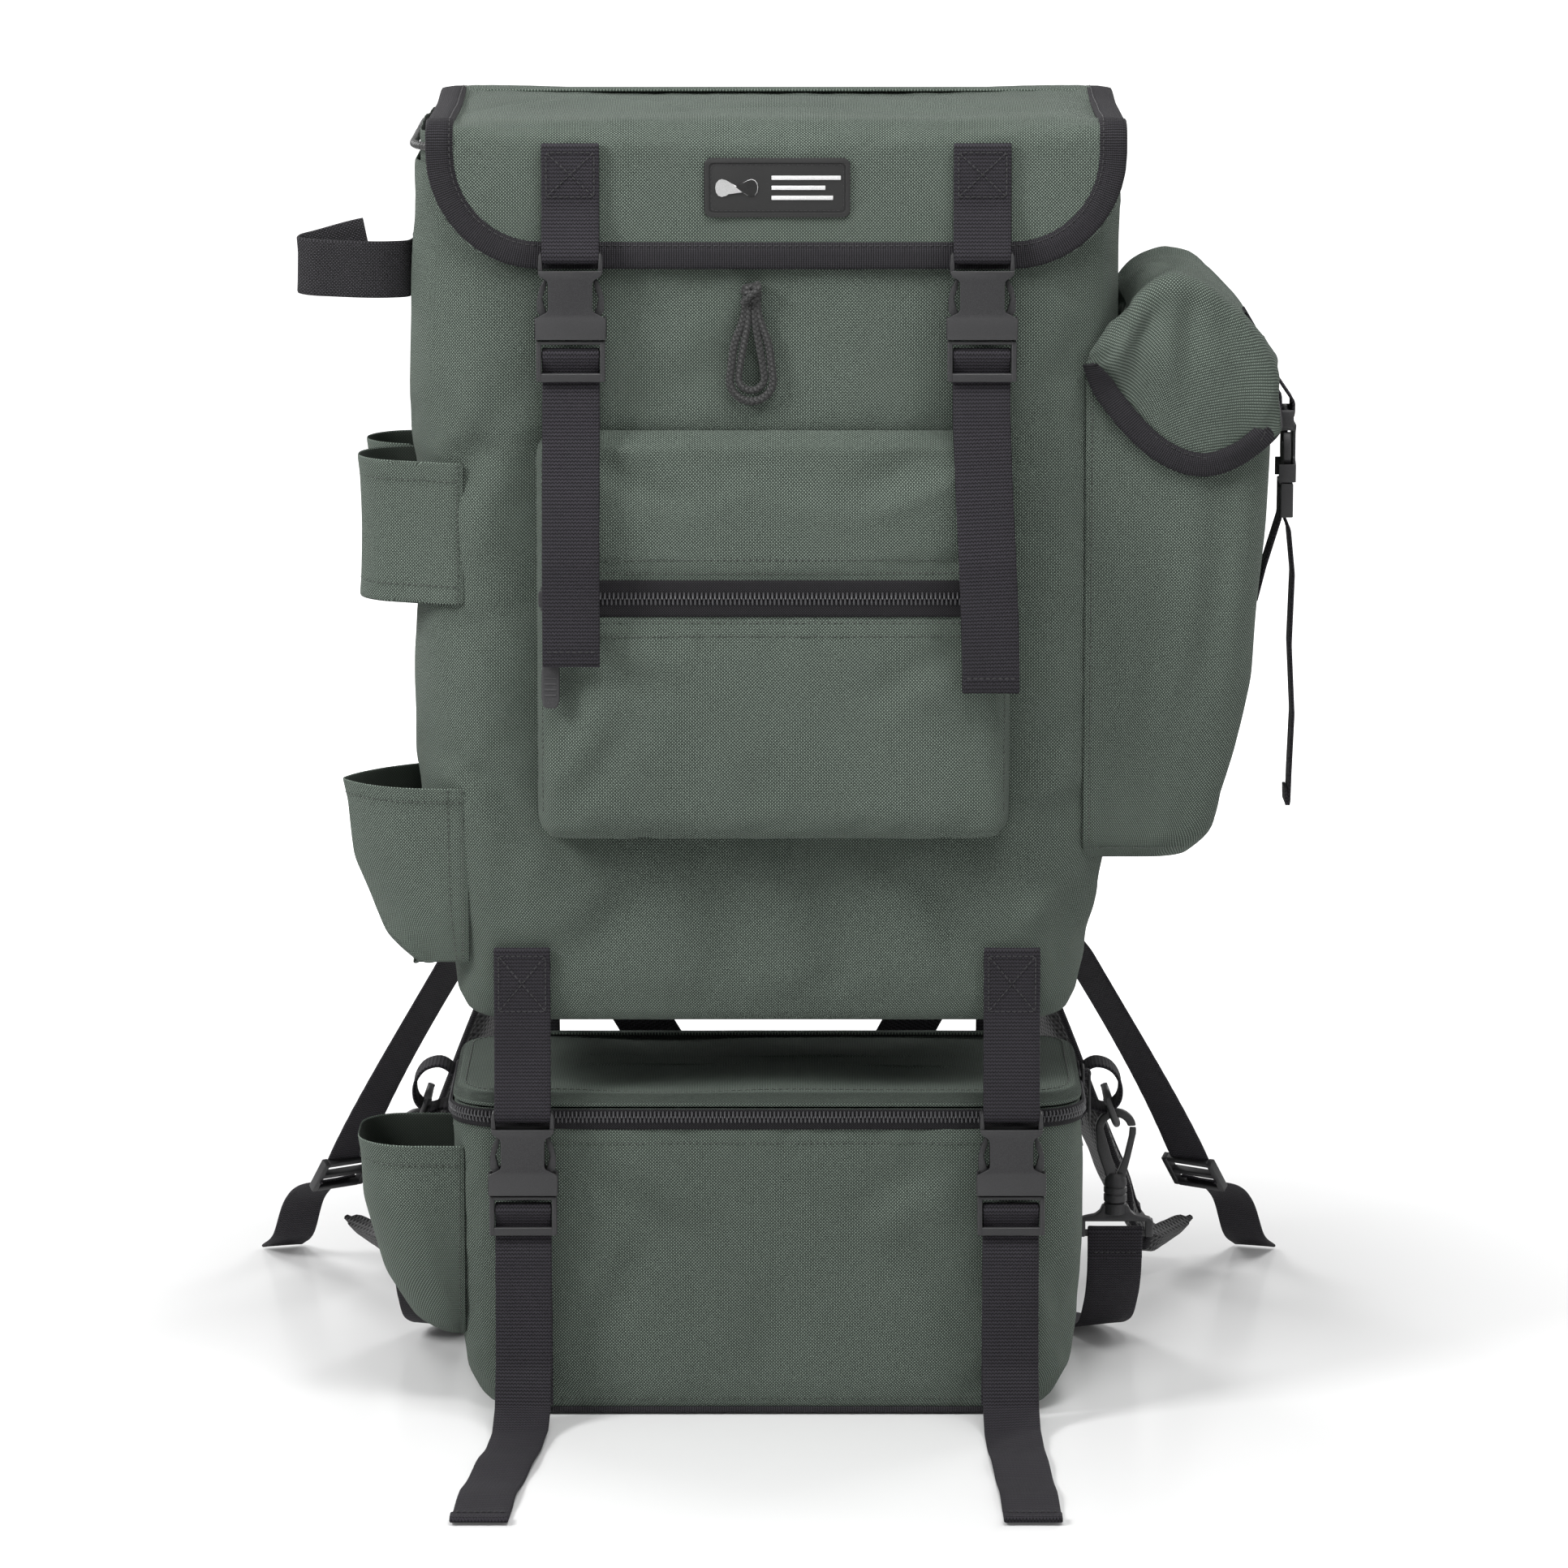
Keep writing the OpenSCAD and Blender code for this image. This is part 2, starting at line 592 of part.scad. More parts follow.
module flap_male_left() color(plastic)
    translate([strap_x_left, -ruck_front - 14.5, flap_throat]) buckle_male();

module flap_male_right() color(plastic)
    translate([strap_x_right, -ruck_front - 14.5, flap_throat]) buckle_male();

module flap_webbing(x, tip) color(black) {
    y = -ruck_front - 14.5;
    strip_yz(adjust_loop(y, flap_throat, [[-ruck_front - 8, pocket_high + 1], [-ruck_front - 10, 548]],
        [[y - 0.6, 555], [y - 4, 536], [y - 14, 500], [y - 21, 470], [y - 21.5, 440], [y - 21.5, tip + 1]]),
        web_w, web_t, x);
    block([x - web_w / 2, y - 23.4, tip], [x + web_w / 2, y - 19.6, tip + 8]);
}

module flap_webbing_left() flap_webbing(strap_x_left, 415);

module flap_webbing_right() flap_webbing(strap_x_right, 401);

// ---------------------------------------------------------------- side pocket and its flap
module side_form(g, z0, z1) {
    intersection() {
        translate([0, 0, z0]) linear_extrude(z1 - z0)
            rrect(120, side_out + g, side_y0 - g, side_y1 + g, 24 + g, 24 + g);
        prism_xz([[120, z0], [side_out - 42 + g, 304], [side_out - 26 + g, 318], [side_out - 10 + g, 400],
                  [side_out - 2 + g, 480], [side_out + g, 520], [side_out + g, 700], [120, 700]],
                 side_y0 - 20, side_y1 + 20);
    }
}

module side_pocket() color(olive) difference() {
    side_form(0, 304, side_rim);
    side_form(-2, 306, side_rim + 20);
    ruck_form(gap, 200, 790);
    block([100, -200, 280], [167, 200, 700]);
}

module side_flap() color(olive) {
    strip_xz(flap_arch, side_y1 - side_y0 + 8, 2, (side_y0 + side_y1) / 2);
    for (y = [side_y0 - 4, side_y1 + 2])
        prism_xz(concat([[188.5, 600]], flap_arch,
                        [[263, 528], [250, 519], [231, 514], [212, 526], [200, 546], [190.5, 568]]),
                 y, y + 2);
}

function side_pt(y, z) = [side_x - y * side_scale, side_throat + z * side_scale];

module side_flap_strap() color(black)
    strip_xz(concat([[272.7, 556], [273.7, 542]],
                    [for (p = arc_pts([0, bar_z], wrap_r / side_scale, 0, -180)) side_pt(p[0], p[1])],
                    [[279.6, 540], [275, 556], [270.8, 577], [263.4, 594]]),
             web_w - 5, side_web_t, side_y);

module side_place() translate([side_x, side_y, side_throat]) rotate([0, 0, 90]) scale(side_scale) children();

module side_female() color(plastic) side_place() buckle_female(true);

module side_male() color(plastic) side_place() buckle_male();

module side_webbing() color(black) {
    loop = adjust_loop(0, 0, [], []);
    strip_xz(concat([[261.4, 434], [266, 452]], [for (p = loop) side_pt(p[0], p[1])],
                    [[279, 472], [281, 440], [281, 380], [280, 331]]), web_w - 5, side_web_t, side_y);
    block([278, side_y - 12.5, 322], [282, side_y + 12.5, 332]);
}

// ---------------------------------------------------------------- rod holders
module rod_strap() color(black) translate([0, 0, rod_strap_z]) linear_extrude(rod_strap_w)
    ribbon([[-187.3, -14], [-187.3, -38], [-190, -46], [-198, -50.5], [-228, -53], [-241, -52.5],
            [-246.5, -48], [-244, -43], [-236, -42], [-210, -43.5]], web_t);

module rod_tubes(g, z0, z1) translate([0, 0, z0]) linear_extrude(z1 - z0) {
    translate([-187, -46]) circle(rod_r + g);
    translate([-188, 18]) circle(rod_r - 2 + g);
}

module rod_sleeve() color(olive) difference() {
    union() {
        rod_tubes(0, rod_low, rod_high);
        block([-188.4, -18, rod_low], [-186, -8, rod_high]);
    }
    rod_tubes(-fabric_t, rod_low - 1, rod_high + 1);
    ruck_form(gap, 200, 790);
}

module rod_pocket_form(g, top) {
    intersection() {
        translate([-186, -42, 240]) linear_extrude(top - 240) circle(42 + g);
        prism_xz([[-120, top], [-228 - g, top], [-228 - g, 330], [-222 - g, 300], [-208 - g, 274],
                  [-190, 252 - g], [-176, 249 - g], [-150, 262], [-120, 290]], -100, 60);
    }
}

module rod_pocket() color(olive) difference() {
    rod_pocket_form(0, 343);
    rod_pocket_form(-fabric_t, 360);
    ruck_form(gap, 200, 790);
    block([-157, -200, 200], [-100, 200, 400]);
}

// ---------------------------------------------------------------- hanger straps
// sewn to the rucksack's wall, down to the bar of the hanger buckle
module hanger(face, x) {
    y = -face - 7;
    strip_yz(bar_loop(y, hanger_throat, [[-face - gap - half_web, 257], [-face - gap - half_web, 222],
                                         [y + wrap_r, hanger_throat + bar_z + 4]],
                      [[y - wrap_r, hanger_throat + bar_z + 3], [-face - 5, 200], [-face - 3.3, 222],
                       [-face - 3.3, 257]]), web_w, web_t, x);
}

module hanger_strap_front_left() color(black) hanger(ruck_front, -hanger_x);

module hanger_strap_front_right() color(black) hanger(ruck_front, hanger_x);

module hanger_straps_rear() color(black) for (x = [-hanger_rear_x, hanger_rear_x])
    mirror([0, 1, 0]) hanger(ruck_back, x);

module hanger_females_front() color(plastic) for (x = [-hanger_x, hanger_x])
    translate([x, -ruck_front - 7, hanger_throat]) buckle_female();

module hanger_females_rear() color(plastic) for (x = [-hanger_rear_x, hanger_rear_x])
    translate([x, ruck_back + 7, hanger_throat]) mirror([0, 1, 0]) buckle_female();

lower_shell();
lower_zip();
lower_zip_slider();
lower_webbing_front_left();
lower_webbing_front_right();
lower_webbings_rear();
lower_males_front();
lower_males_rear();
lower_side_pocket();
carry_loops();
carry_rings();
hook_bases();
carry_strap();
hook_left();
hook_right();
lower_lid();
main_shell();
drawcord_collar();
drawcord();
back_pad();
grab_handle();
shoulder_strap_left();
shoulder_strap_right();
ladder_locks();
shoulder_webbing_left();
shoulder_webbing_right();
hip_webbing_left();
hip_webbing_right();
hip_buckle();
front_pocket();
front_pocket_zip();
flap_webbing_left();
flap_webbing_right();
flap_male_left();
flap_male_right();
side_pocket();
side_webbing();
side_male();
rod_strap();
rod_sleeve();
rod_pocket();
hanger_strap_front_left();
hanger_strap_front_right();
hanger_straps_rear();
hanger_females_front();
hanger_females_rear();
drawcord_loop();
top_flap();
flap_binding();
badge();
flap_strap_left();
flap_strap_right();
flap_female_left();
flap_female_right();
pocket_slider();
pocket_pull();
side_flap();
side_flap_strap();
side_female();
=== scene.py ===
import math

import bmesh
import bpy
import numpy as np
from mathutils import Matrix, Vector
from mathutils.bvhtree import BVHTree
from mathutils.geometry import tessellate_polygon


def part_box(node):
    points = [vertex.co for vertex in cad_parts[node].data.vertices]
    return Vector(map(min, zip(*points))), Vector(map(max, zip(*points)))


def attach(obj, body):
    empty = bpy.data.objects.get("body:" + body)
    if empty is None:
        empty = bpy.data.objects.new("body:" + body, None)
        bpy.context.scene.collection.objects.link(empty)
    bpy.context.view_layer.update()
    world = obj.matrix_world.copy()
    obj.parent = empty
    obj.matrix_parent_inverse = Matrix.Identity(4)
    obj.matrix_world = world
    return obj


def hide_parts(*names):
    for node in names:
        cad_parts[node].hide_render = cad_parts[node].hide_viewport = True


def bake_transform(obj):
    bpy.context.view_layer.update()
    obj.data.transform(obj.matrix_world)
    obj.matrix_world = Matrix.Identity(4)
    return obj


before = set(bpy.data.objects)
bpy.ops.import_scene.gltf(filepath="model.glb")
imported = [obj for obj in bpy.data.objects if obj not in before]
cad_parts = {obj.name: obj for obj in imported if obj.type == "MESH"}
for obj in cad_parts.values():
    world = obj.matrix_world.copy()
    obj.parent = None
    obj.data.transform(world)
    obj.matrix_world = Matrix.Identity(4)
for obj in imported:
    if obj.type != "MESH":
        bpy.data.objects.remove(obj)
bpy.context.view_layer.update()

# Looks of the tackle backpack round its CAD frame. The builders work in millimetres in the frame's
# axes: +X is the wearer's right, -Y the front, +Z up. Texture coordinates are lengths along the cloth.
MM = 0.001


def box_mm(node):
    """Lowest and highest corner of a CAD node, in millimetres."""
    low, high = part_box(node)
    return np.array(low) / MM, np.array(high) / MM


# ------------------------------------------------------------------ materials
class Shader:
    """A material's node tree, with short calls to wire it."""

    def __init__(self, name):
        self.material = bpy.data.materials.new(name)
        self.material.use_nodes = True
        self.tree = self.material.node_tree
        self.principled = self.tree.nodes["Principled BSDF"]

    def node(self, kind, **settings):
        made = self.tree.nodes.new("ShaderNode" + kind)
        for key, value in settings.items():
            setattr(made, key, value)
        return made

    def put(self, socket, value):
        if isinstance(value, bpy.types.NodeSocket):
            self.tree.links.new(value, socket)
        else:
            socket.default_value = value

    def math(self, operation, a, b=0.0, c=0.0):
        made = self.node("Math", operation=operation)
        for socket, value in zip(made.inputs, (a, b, c)):
            self.put(socket, value)
        return made.outputs[0]

    def blend(self, share, low, high):
        made = self.node("Mix", data_type="RGBA")
        self.put(made.inputs[0], share)
        self.put(made.inputs[6], low)
        self.put(made.inputs[7], high)
        return made.outputs[2]

    def spread(self, value, low, high):
        """Maps 0..1 on to low..high."""
        return self.math("MULTIPLY_ADD", value, high - low, low)

    def texture_axes(self):
        """The two lengths along the cloth, in metres."""
        split = self.node("SeparateXYZ")
        self.put(split.inputs[0], self.node("TexCoord").outputs["UV"])
        return split.outputs[0], split.outputs[1]

    def noise(self, scale, detail=2.0, coordinates="Object", roughness=0.5):
        made = self.node("TexNoise")
        self.put(made.inputs["Vector"], self.node("TexCoord").outputs[coordinates])
        self.put(made.inputs["Scale"], scale)
        self.put(made.inputs["Detail"], detail)
        self.put(made.inputs["Roughness"], roughness)
        return made.outputs["Fac"]

    def arch(self, value):
        """0 at whole numbers, 1 half-way between them."""
        turn = self.math("MULTIPLY_ADD", self.math("FRACT", value), 2.0, -1.0)
        return self.math("SUBTRACT", 1.0, self.math("MULTIPLY", turn, turn))

    def bump(self, height, depth_mm, strength=1.0, under=None):
        made = self.node("Bump")
        self.put(made.inputs["Height"], height)
        self.put(made.inputs["Distance"], depth_mm * MM)
        self.put(made.inputs["Strength"], strength)
        if under is not None:
            self.put(made.inputs["Normal"], under)
        self.put(self.principled.inputs["Normal"], made.outputs[0])
        return made.outputs[0]

    def finish(self, colour, roughness, sheen=0.0, specular=0.5):
        self.put(self.principled.inputs["Base Color"], colour)
        self.put(self.principled.inputs["Roughness"], roughness)
        self.put(self.principled.inputs["Sheen Weight"], sheen)
        self.put(self.principled.inputs["Specular IOR Level"], specular)
        return self.material


def grey(value, tint=(1.0, 1.0, 1.0)):
    return (value * tint[0], value * tint[1], value * tint[2], 1.0)


WEFT_TONE = 0.25


def woven(name, pitch_mm, gap, thread, depth_mm=0.32, rough=0.88):
    """Plain weave: warp and weft threads pass over and under each other; a broad mottle, partly dirt and
    partly painted light and shade, varies the brightness.
    """
    s = Shader(name)
    u, v = s.texture_axes()
    across = s.math("DIVIDE", u, pitch_mm * MM)
    along = s.math("DIVIDE", v, pitch_mm * MM)
    cell = s.math("ADD", s.math("FLOOR", across), s.math("FLOOR", along))
    weft_on_top = s.math("ABSOLUTE", s.math("MODULO", cell, 2.0))
    warp = s.math("MULTIPLY", s.arch(across), s.spread(s.arch(along), 0.45, 1.0))
    weft = s.math("MULTIPLY", s.arch(along), s.spread(s.arch(across), 0.45, 1.0))
    picked = s.node("Mix", data_type="FLOAT")
    s.put(picked.inputs[0], weft_on_top)
    s.put(picked.inputs[2], warp)
    s.put(picked.inputs[3], weft)
    height = picked.outputs[0]
    fibre = s.noise(2600.0, 2.0)
    # Broad mottle of the cloth's brightness: partly dirt, partly painted light and shade over the panels.
    dirt_and_painted_shading = s.noise(9.0, 3.0)
    lift = s.spread(
        s.math("ADD", s.math("MULTIPLY", fibre, 0.3), s.math("MULTIPLY", dirt_and_painted_shading, 0.7)), 0.72, 1.28
    )
    tone = s.spread(weft_on_top, 1.0, WEFT_TONE)
    share = s.math("MULTIPLY", s.math("MULTIPLY", s.math("POWER", height, 1.1), lift), tone)
    colour = s.blend(share, gap, thread)
    s.bump(s.math("ADD", height, s.math("MULTIPLY", fibre, 0.25)), depth_mm)
    return s.finish(colour, rough, sheen=0.04, specular=0.16)


def ribbed(name, pitch_mm, gap, thread, zigzag=0.2, bead_mm=0.85, depth_mm=0.35):
    """Webbing: ribs across the strap with a fine zigzag of weft beads."""
    s = Shader(name)
    u, v = s.texture_axes()
    bead = s.math("DIVIDE", u, bead_mm * MM)
    wave = s.math("MULTIPLY", s.arch(s.math("MULTIPLY", bead, 0.5)), zigzag)
    rib = s.arch(s.math("ADD", s.math("DIVIDE", v, pitch_mm * MM), wave))
    height = s.math("MULTIPLY", rib, s.spread(s.arch(bead), 0.55, 1.0))
    worn = s.spread(s.noise(14.0, 3.0), 0.7, 1.3)
    share = s.math("MULTIPLY", s.math("POWER", height, 1.4), worn)
    s.bump(height, depth_mm)
    return s.finish(s.blend(share, gap, thread), 0.7, sheen=0.02, specular=0.18)


def moulded(name, base, rough=0.48, grain_mm=0.05):
    """Injection-moulded plastic: spark-eroded grain whose bright specks are painted sparkle, and paler
    edges that are partly wear, partly a painted highlight.
    """
    s = Shader(name)
    grain = s.noise(2400.0, 2.0)
    patch = s.noise(30.0, 3.0)
    edge = s.node("NewGeometry").outputs["Pointiness"]
    # Paler edges where the mesh is pointy: partly wear, partly a painted highlight along the edges.
    edge_wear_and_highlight = s.node("MapRange")
    s.put(edge_wear_and_highlight.inputs[0], edge)
    s.put(edge_wear_and_highlight.inputs[1], 0.52)
    s.put(edge_wear_and_highlight.inputs[2], 0.62)
    share = s.math("MULTIPLY", edge_wear_and_highlight.outputs[0], 0.45)
    # Grain specks from dark to bright: the bright ones are painted sparkle, glints of light on the grain.
    painted_sparkle = s.blend(
        s.math("POWER", grain, 2.0), grey(base * 0.5, (1.0, 1.0, 1.05)),
        grey(base * 3.2, (1.0, 0.98, 1.06))
    )
    colour = s.blend(share, painted_sparkle, grey(base * 2.3, (1.0, 1.0, 1.03)))
    s.bump(grain, grain_mm)
    return s.finish(colour, s.spread(patch, rough - 0.1, rough + 0.12))


def braided(name, gap, thread, pitch_mm=2.6):
    """Cord sheath: two sets of strands crossing at a slant."""
    s = Shader(name)
    u, v = s.texture_axes()
    left = s.math("DIVIDE", s.math("ADD", v, u), pitch_mm * MM)
    right = s.math("DIVIDE", s.math("SUBTRACT", v, u), pitch_mm * MM)
    cell = s.math("ADD", s.math("FLOOR", left), s.math("FLOOR", right))
    over = s.math("ABSOLUTE", s.math("MODULO", cell, 2.0))
    picked = s.node("Mix", data_type="FLOAT")
    s.put(picked.inputs[0], over)
    s.put(picked.inputs[2], s.arch(left))
    s.put(picked.inputs[3], s.arch(right))
    height = picked.outputs[0]
    s.bump(height, 0.4)
    return s.finish(s.blend(s.math("POWER", height, 1.5), gap, thread), 0.55, sheen=0.1)


def air_mesh(name):
    """Padding face: open knit with rows of round holes."""
    s = Shader(name)
    u, v = s.texture_axes()
    row = s.math("DIVIDE", v, 3.0 * MM)
    shift = s.math("MULTIPLY", s.math("MODULO", s.math("FLOOR", row), 2.0), 0.5)
    column = s.math("ADD", s.math("DIVIDE", u, 3.4 * MM), shift)
    hole = s.math("MULTIPLY", s.arch(row), s.arch(column))
    knit = s.noise(1500.0, 2.0)
    height = s.math("SUBTRACT", s.math("MULTIPLY", knit, 0.3), s.math("POWER", hole, 2.0))
    s.bump(height, 0.7)
    share = s.math("SUBTRACT", 1.0, s.math("POWER", hole, 1.5))
    colour = s.blend(share, grey(0.004), grey(0.034, (1.0, 0.98, 1.04)))
    return s.finish(colour, 0.8, sheen=0.2)


def thread(name, colour):
    """Twisted sewing thread."""
    s = Shader(name)
    ply = s.noise(1800.0, 2.0)
    s.bump(ply, 0.08)
    return s.finish(s.blend(ply, grey(0.5 * colour[0], (1, 1, 1)), colour), 0.6, sheen=0.2)


def rubber(name, base):
    """Badge rubber with a fine matt grain."""
    s = Shader(name)
    grain = s.noise(1900.0, 3.0)
    s.bump(grain, 0.04)
    low, high = grey(base * 0.8), grey(base * 1.3)
    return s.finish(s.blend(grain, low, high), s.spread(s.noise(60.0), 0.42, 0.6))


def floor_material():
    """White sweep: lit floor near the object, plain white to the camera further off."""
    s = Shader("studio_floor")
    near = s.node("VectorMath", operation="LENGTH")
    s.put(near.inputs[0], s.node("TexCoord").outputs["Object"])
    away = s.node("MapRange", interpolation_type="SMOOTHSTEP")
    s.put(away.inputs[0], near.outputs["Value"])
    s.put(away.inputs[1], 0.1)
    s.put(away.inputs[2], 1.45)
    seen = s.node("LightPath").outputs["Is Camera Ray"]
    s.put(s.principled.inputs["Emission Color"], grey(1.0))
    s.put(s.principled.inputs["Emission Strength"], s.math("MULTIPLY", away.outputs[0], seen))
    soft = s.noise(2.0)
    return s.finish(s.blend(soft, grey(0.88), grey(0.92)), 0.2, specular=0.3)


CLOTH = woven("olive_cloth", 0.85, (0.010, 0.014, 0.011, 1), (0.275, 0.335, 0.285, 1))
CLOTH_INSIDE = woven("coated_inside", 0.8, (0.022, 0.027, 0.022, 1), (0.06, 0.072, 0.062, 1), 0.1, 0.45)
WEBBING = ribbed("black_webbing", 1.9, grey(0.003), grey(0.043, (1.0, 0.91, 1.13)), 0.5)
BINDING = ribbed("black_binding", 1.25, grey(0.003), grey(0.036, (1.0, 0.93, 1.1)), 0.1, 1.1, 0.3)
TAPE = woven("zip_tape", 0.7, grey(0.005), grey(0.04, (1.0, 0.94, 1.08)), 0.12)
COIL = moulded("zip_coil", 0.05, 0.35, 0.02)
PLASTIC = moulded("buckle_plastic", 0.02, 0.46, 0.09)
PULL = moulded("pull_plastic", 0.028, 0.55)
CORD = braided("braided_cord", grey(0.003), grey(0.03))
PADDING = air_mesh("air_mesh_padding")
OLIVE_THREAD = thread("olive_thread", (0.06, 0.078, 0.06, 1))
BLACK_THREAD = thread("black_thread", (0.02, 0.019, 0.022, 1))
BADGE = rubber("badge_rubber", 0.016)
BADGE_MARK = rubber("badge_mark", 0.62)
HOOK_TAPE = woven("hook_and_loop_tape", 0.9, grey(0.012), grey(0.075, (1.0, 0.95, 1.08)), 0.5)


# ------------------------------------------------------------------ mesh helpers
def unit(v):
    v = np.asarray(v, float)
    return v / np.maximum(np.linalg.norm(v, axis=-1, keepdims=True), 1e-9)


def lengths(points):
    """Distance walked at each point of a path."""
    steps = np.linalg.norm(np.diff(np.asarray(points, float), axis=0), axis=1)
    return np.concatenate([[0.0], np.cumsum(steps)])


def walk(points, step):
    """The same path with evenly spaced points about step apart."""
    points = np.asarray(points, float)
    walked = lengths(points)
    count = max(2, int(round(walked[-1] / step)) + 1)
    at = np.linspace(0.0, walked[-1], count)
    return np.stack([np.interp(at, walked, points[:, k]) for k in range(points.shape[1])], 1)


def smooth(points, step):
    """Evenly spaced points on a curve through the given ones."""
    p = np.asarray(points, float)
    walked = lengths(p)
    slope = np.gradient(p, walked, axis=0)
    fine = []
    for i in range(len(p) - 1):
        span = walked[i + 1] - walked[i]
        t = np.linspace(0.0, 1.0, 13)[:, None]
        fine.append(
            (2 * t**3 - 3 * t**2 + 1) * p[i]
            + (t**3 - 2 * t**2 + t) * span * slope[i]
            + (3 * t**2 - 2 * t**3) * p[i + 1]
            + (t**3 - t**2) * span * slope[i + 1]
        )
    return walk(np.concatenate(fine), step)


def arc(centre, radius, start, end, count=8):
    """Points of an arc in a plane, angles in degrees."""
    angles = np.radians(np.linspace(start, end, count + 1))
    return [(centre[0] + radius * math.cos(a), centre[1] + radius * math.sin(a)) for a in angles]


def ease(value, low, high):
    """0 below low, 1 above high, smooth between."""
    t = np.clip((np.asarray(value, float) - low) / (high - low), 0, 1)
    return t * t * (3 - 2 * t)


def ripple(x, z, seed, size):
    """Smooth repeatable waves between about -1 and 1: a sum of plane waves from a seeded draw."""
    draw = np.random.default_rng(seed)
    total = np.zeros(np.broadcast(x, z).shape)
    for _ in range(9):
        turn = draw.uniform(0, 2 * math.pi)
        wave = 2 * math.pi / (size * draw.uniform(0.6, 1.9))
        phase = draw.uniform(0, 2 * math.pi)
        total = total + np.sin(wave * (np.cos(turn) * x + np.sin(turn) * z) + phase)
    return total / 5.0


FOLD_STRENGTH = 1.55


def creased(x, z, lines):
    """Depth of the soft folds at each point. A fold is its start, its end, its width and its depth."""
    total = np.zeros(np.broadcast(x, z).shape)
    for (x0, z0), (x1, z1), width, depth in lines:
        along = np.array([x1 - x0, z1 - z0], float)
        length = np.linalg.norm(along)
        along /= length
        walked = (x - x0) * along[0] + (z - z0) * along[1]
        off = (x - x0) * -along[1] + (z - z0) * along[0]
        off = off + 0.06 * length * np.sin(walked / length * math.pi)
        ends = ease(walked, -0.1 * length, 0.35 * length) * (1 - ease(walked, 0.6 * length, 1.1 * length))
        ridge = np.exp(-((off / width) ** 2)) - 0.75 * np.exp(-(((off - 1.7 * width) / (1.2 * width)) ** 2))
        total = total - FOLD_STRENGTH * depth * ridge * ends
    return total


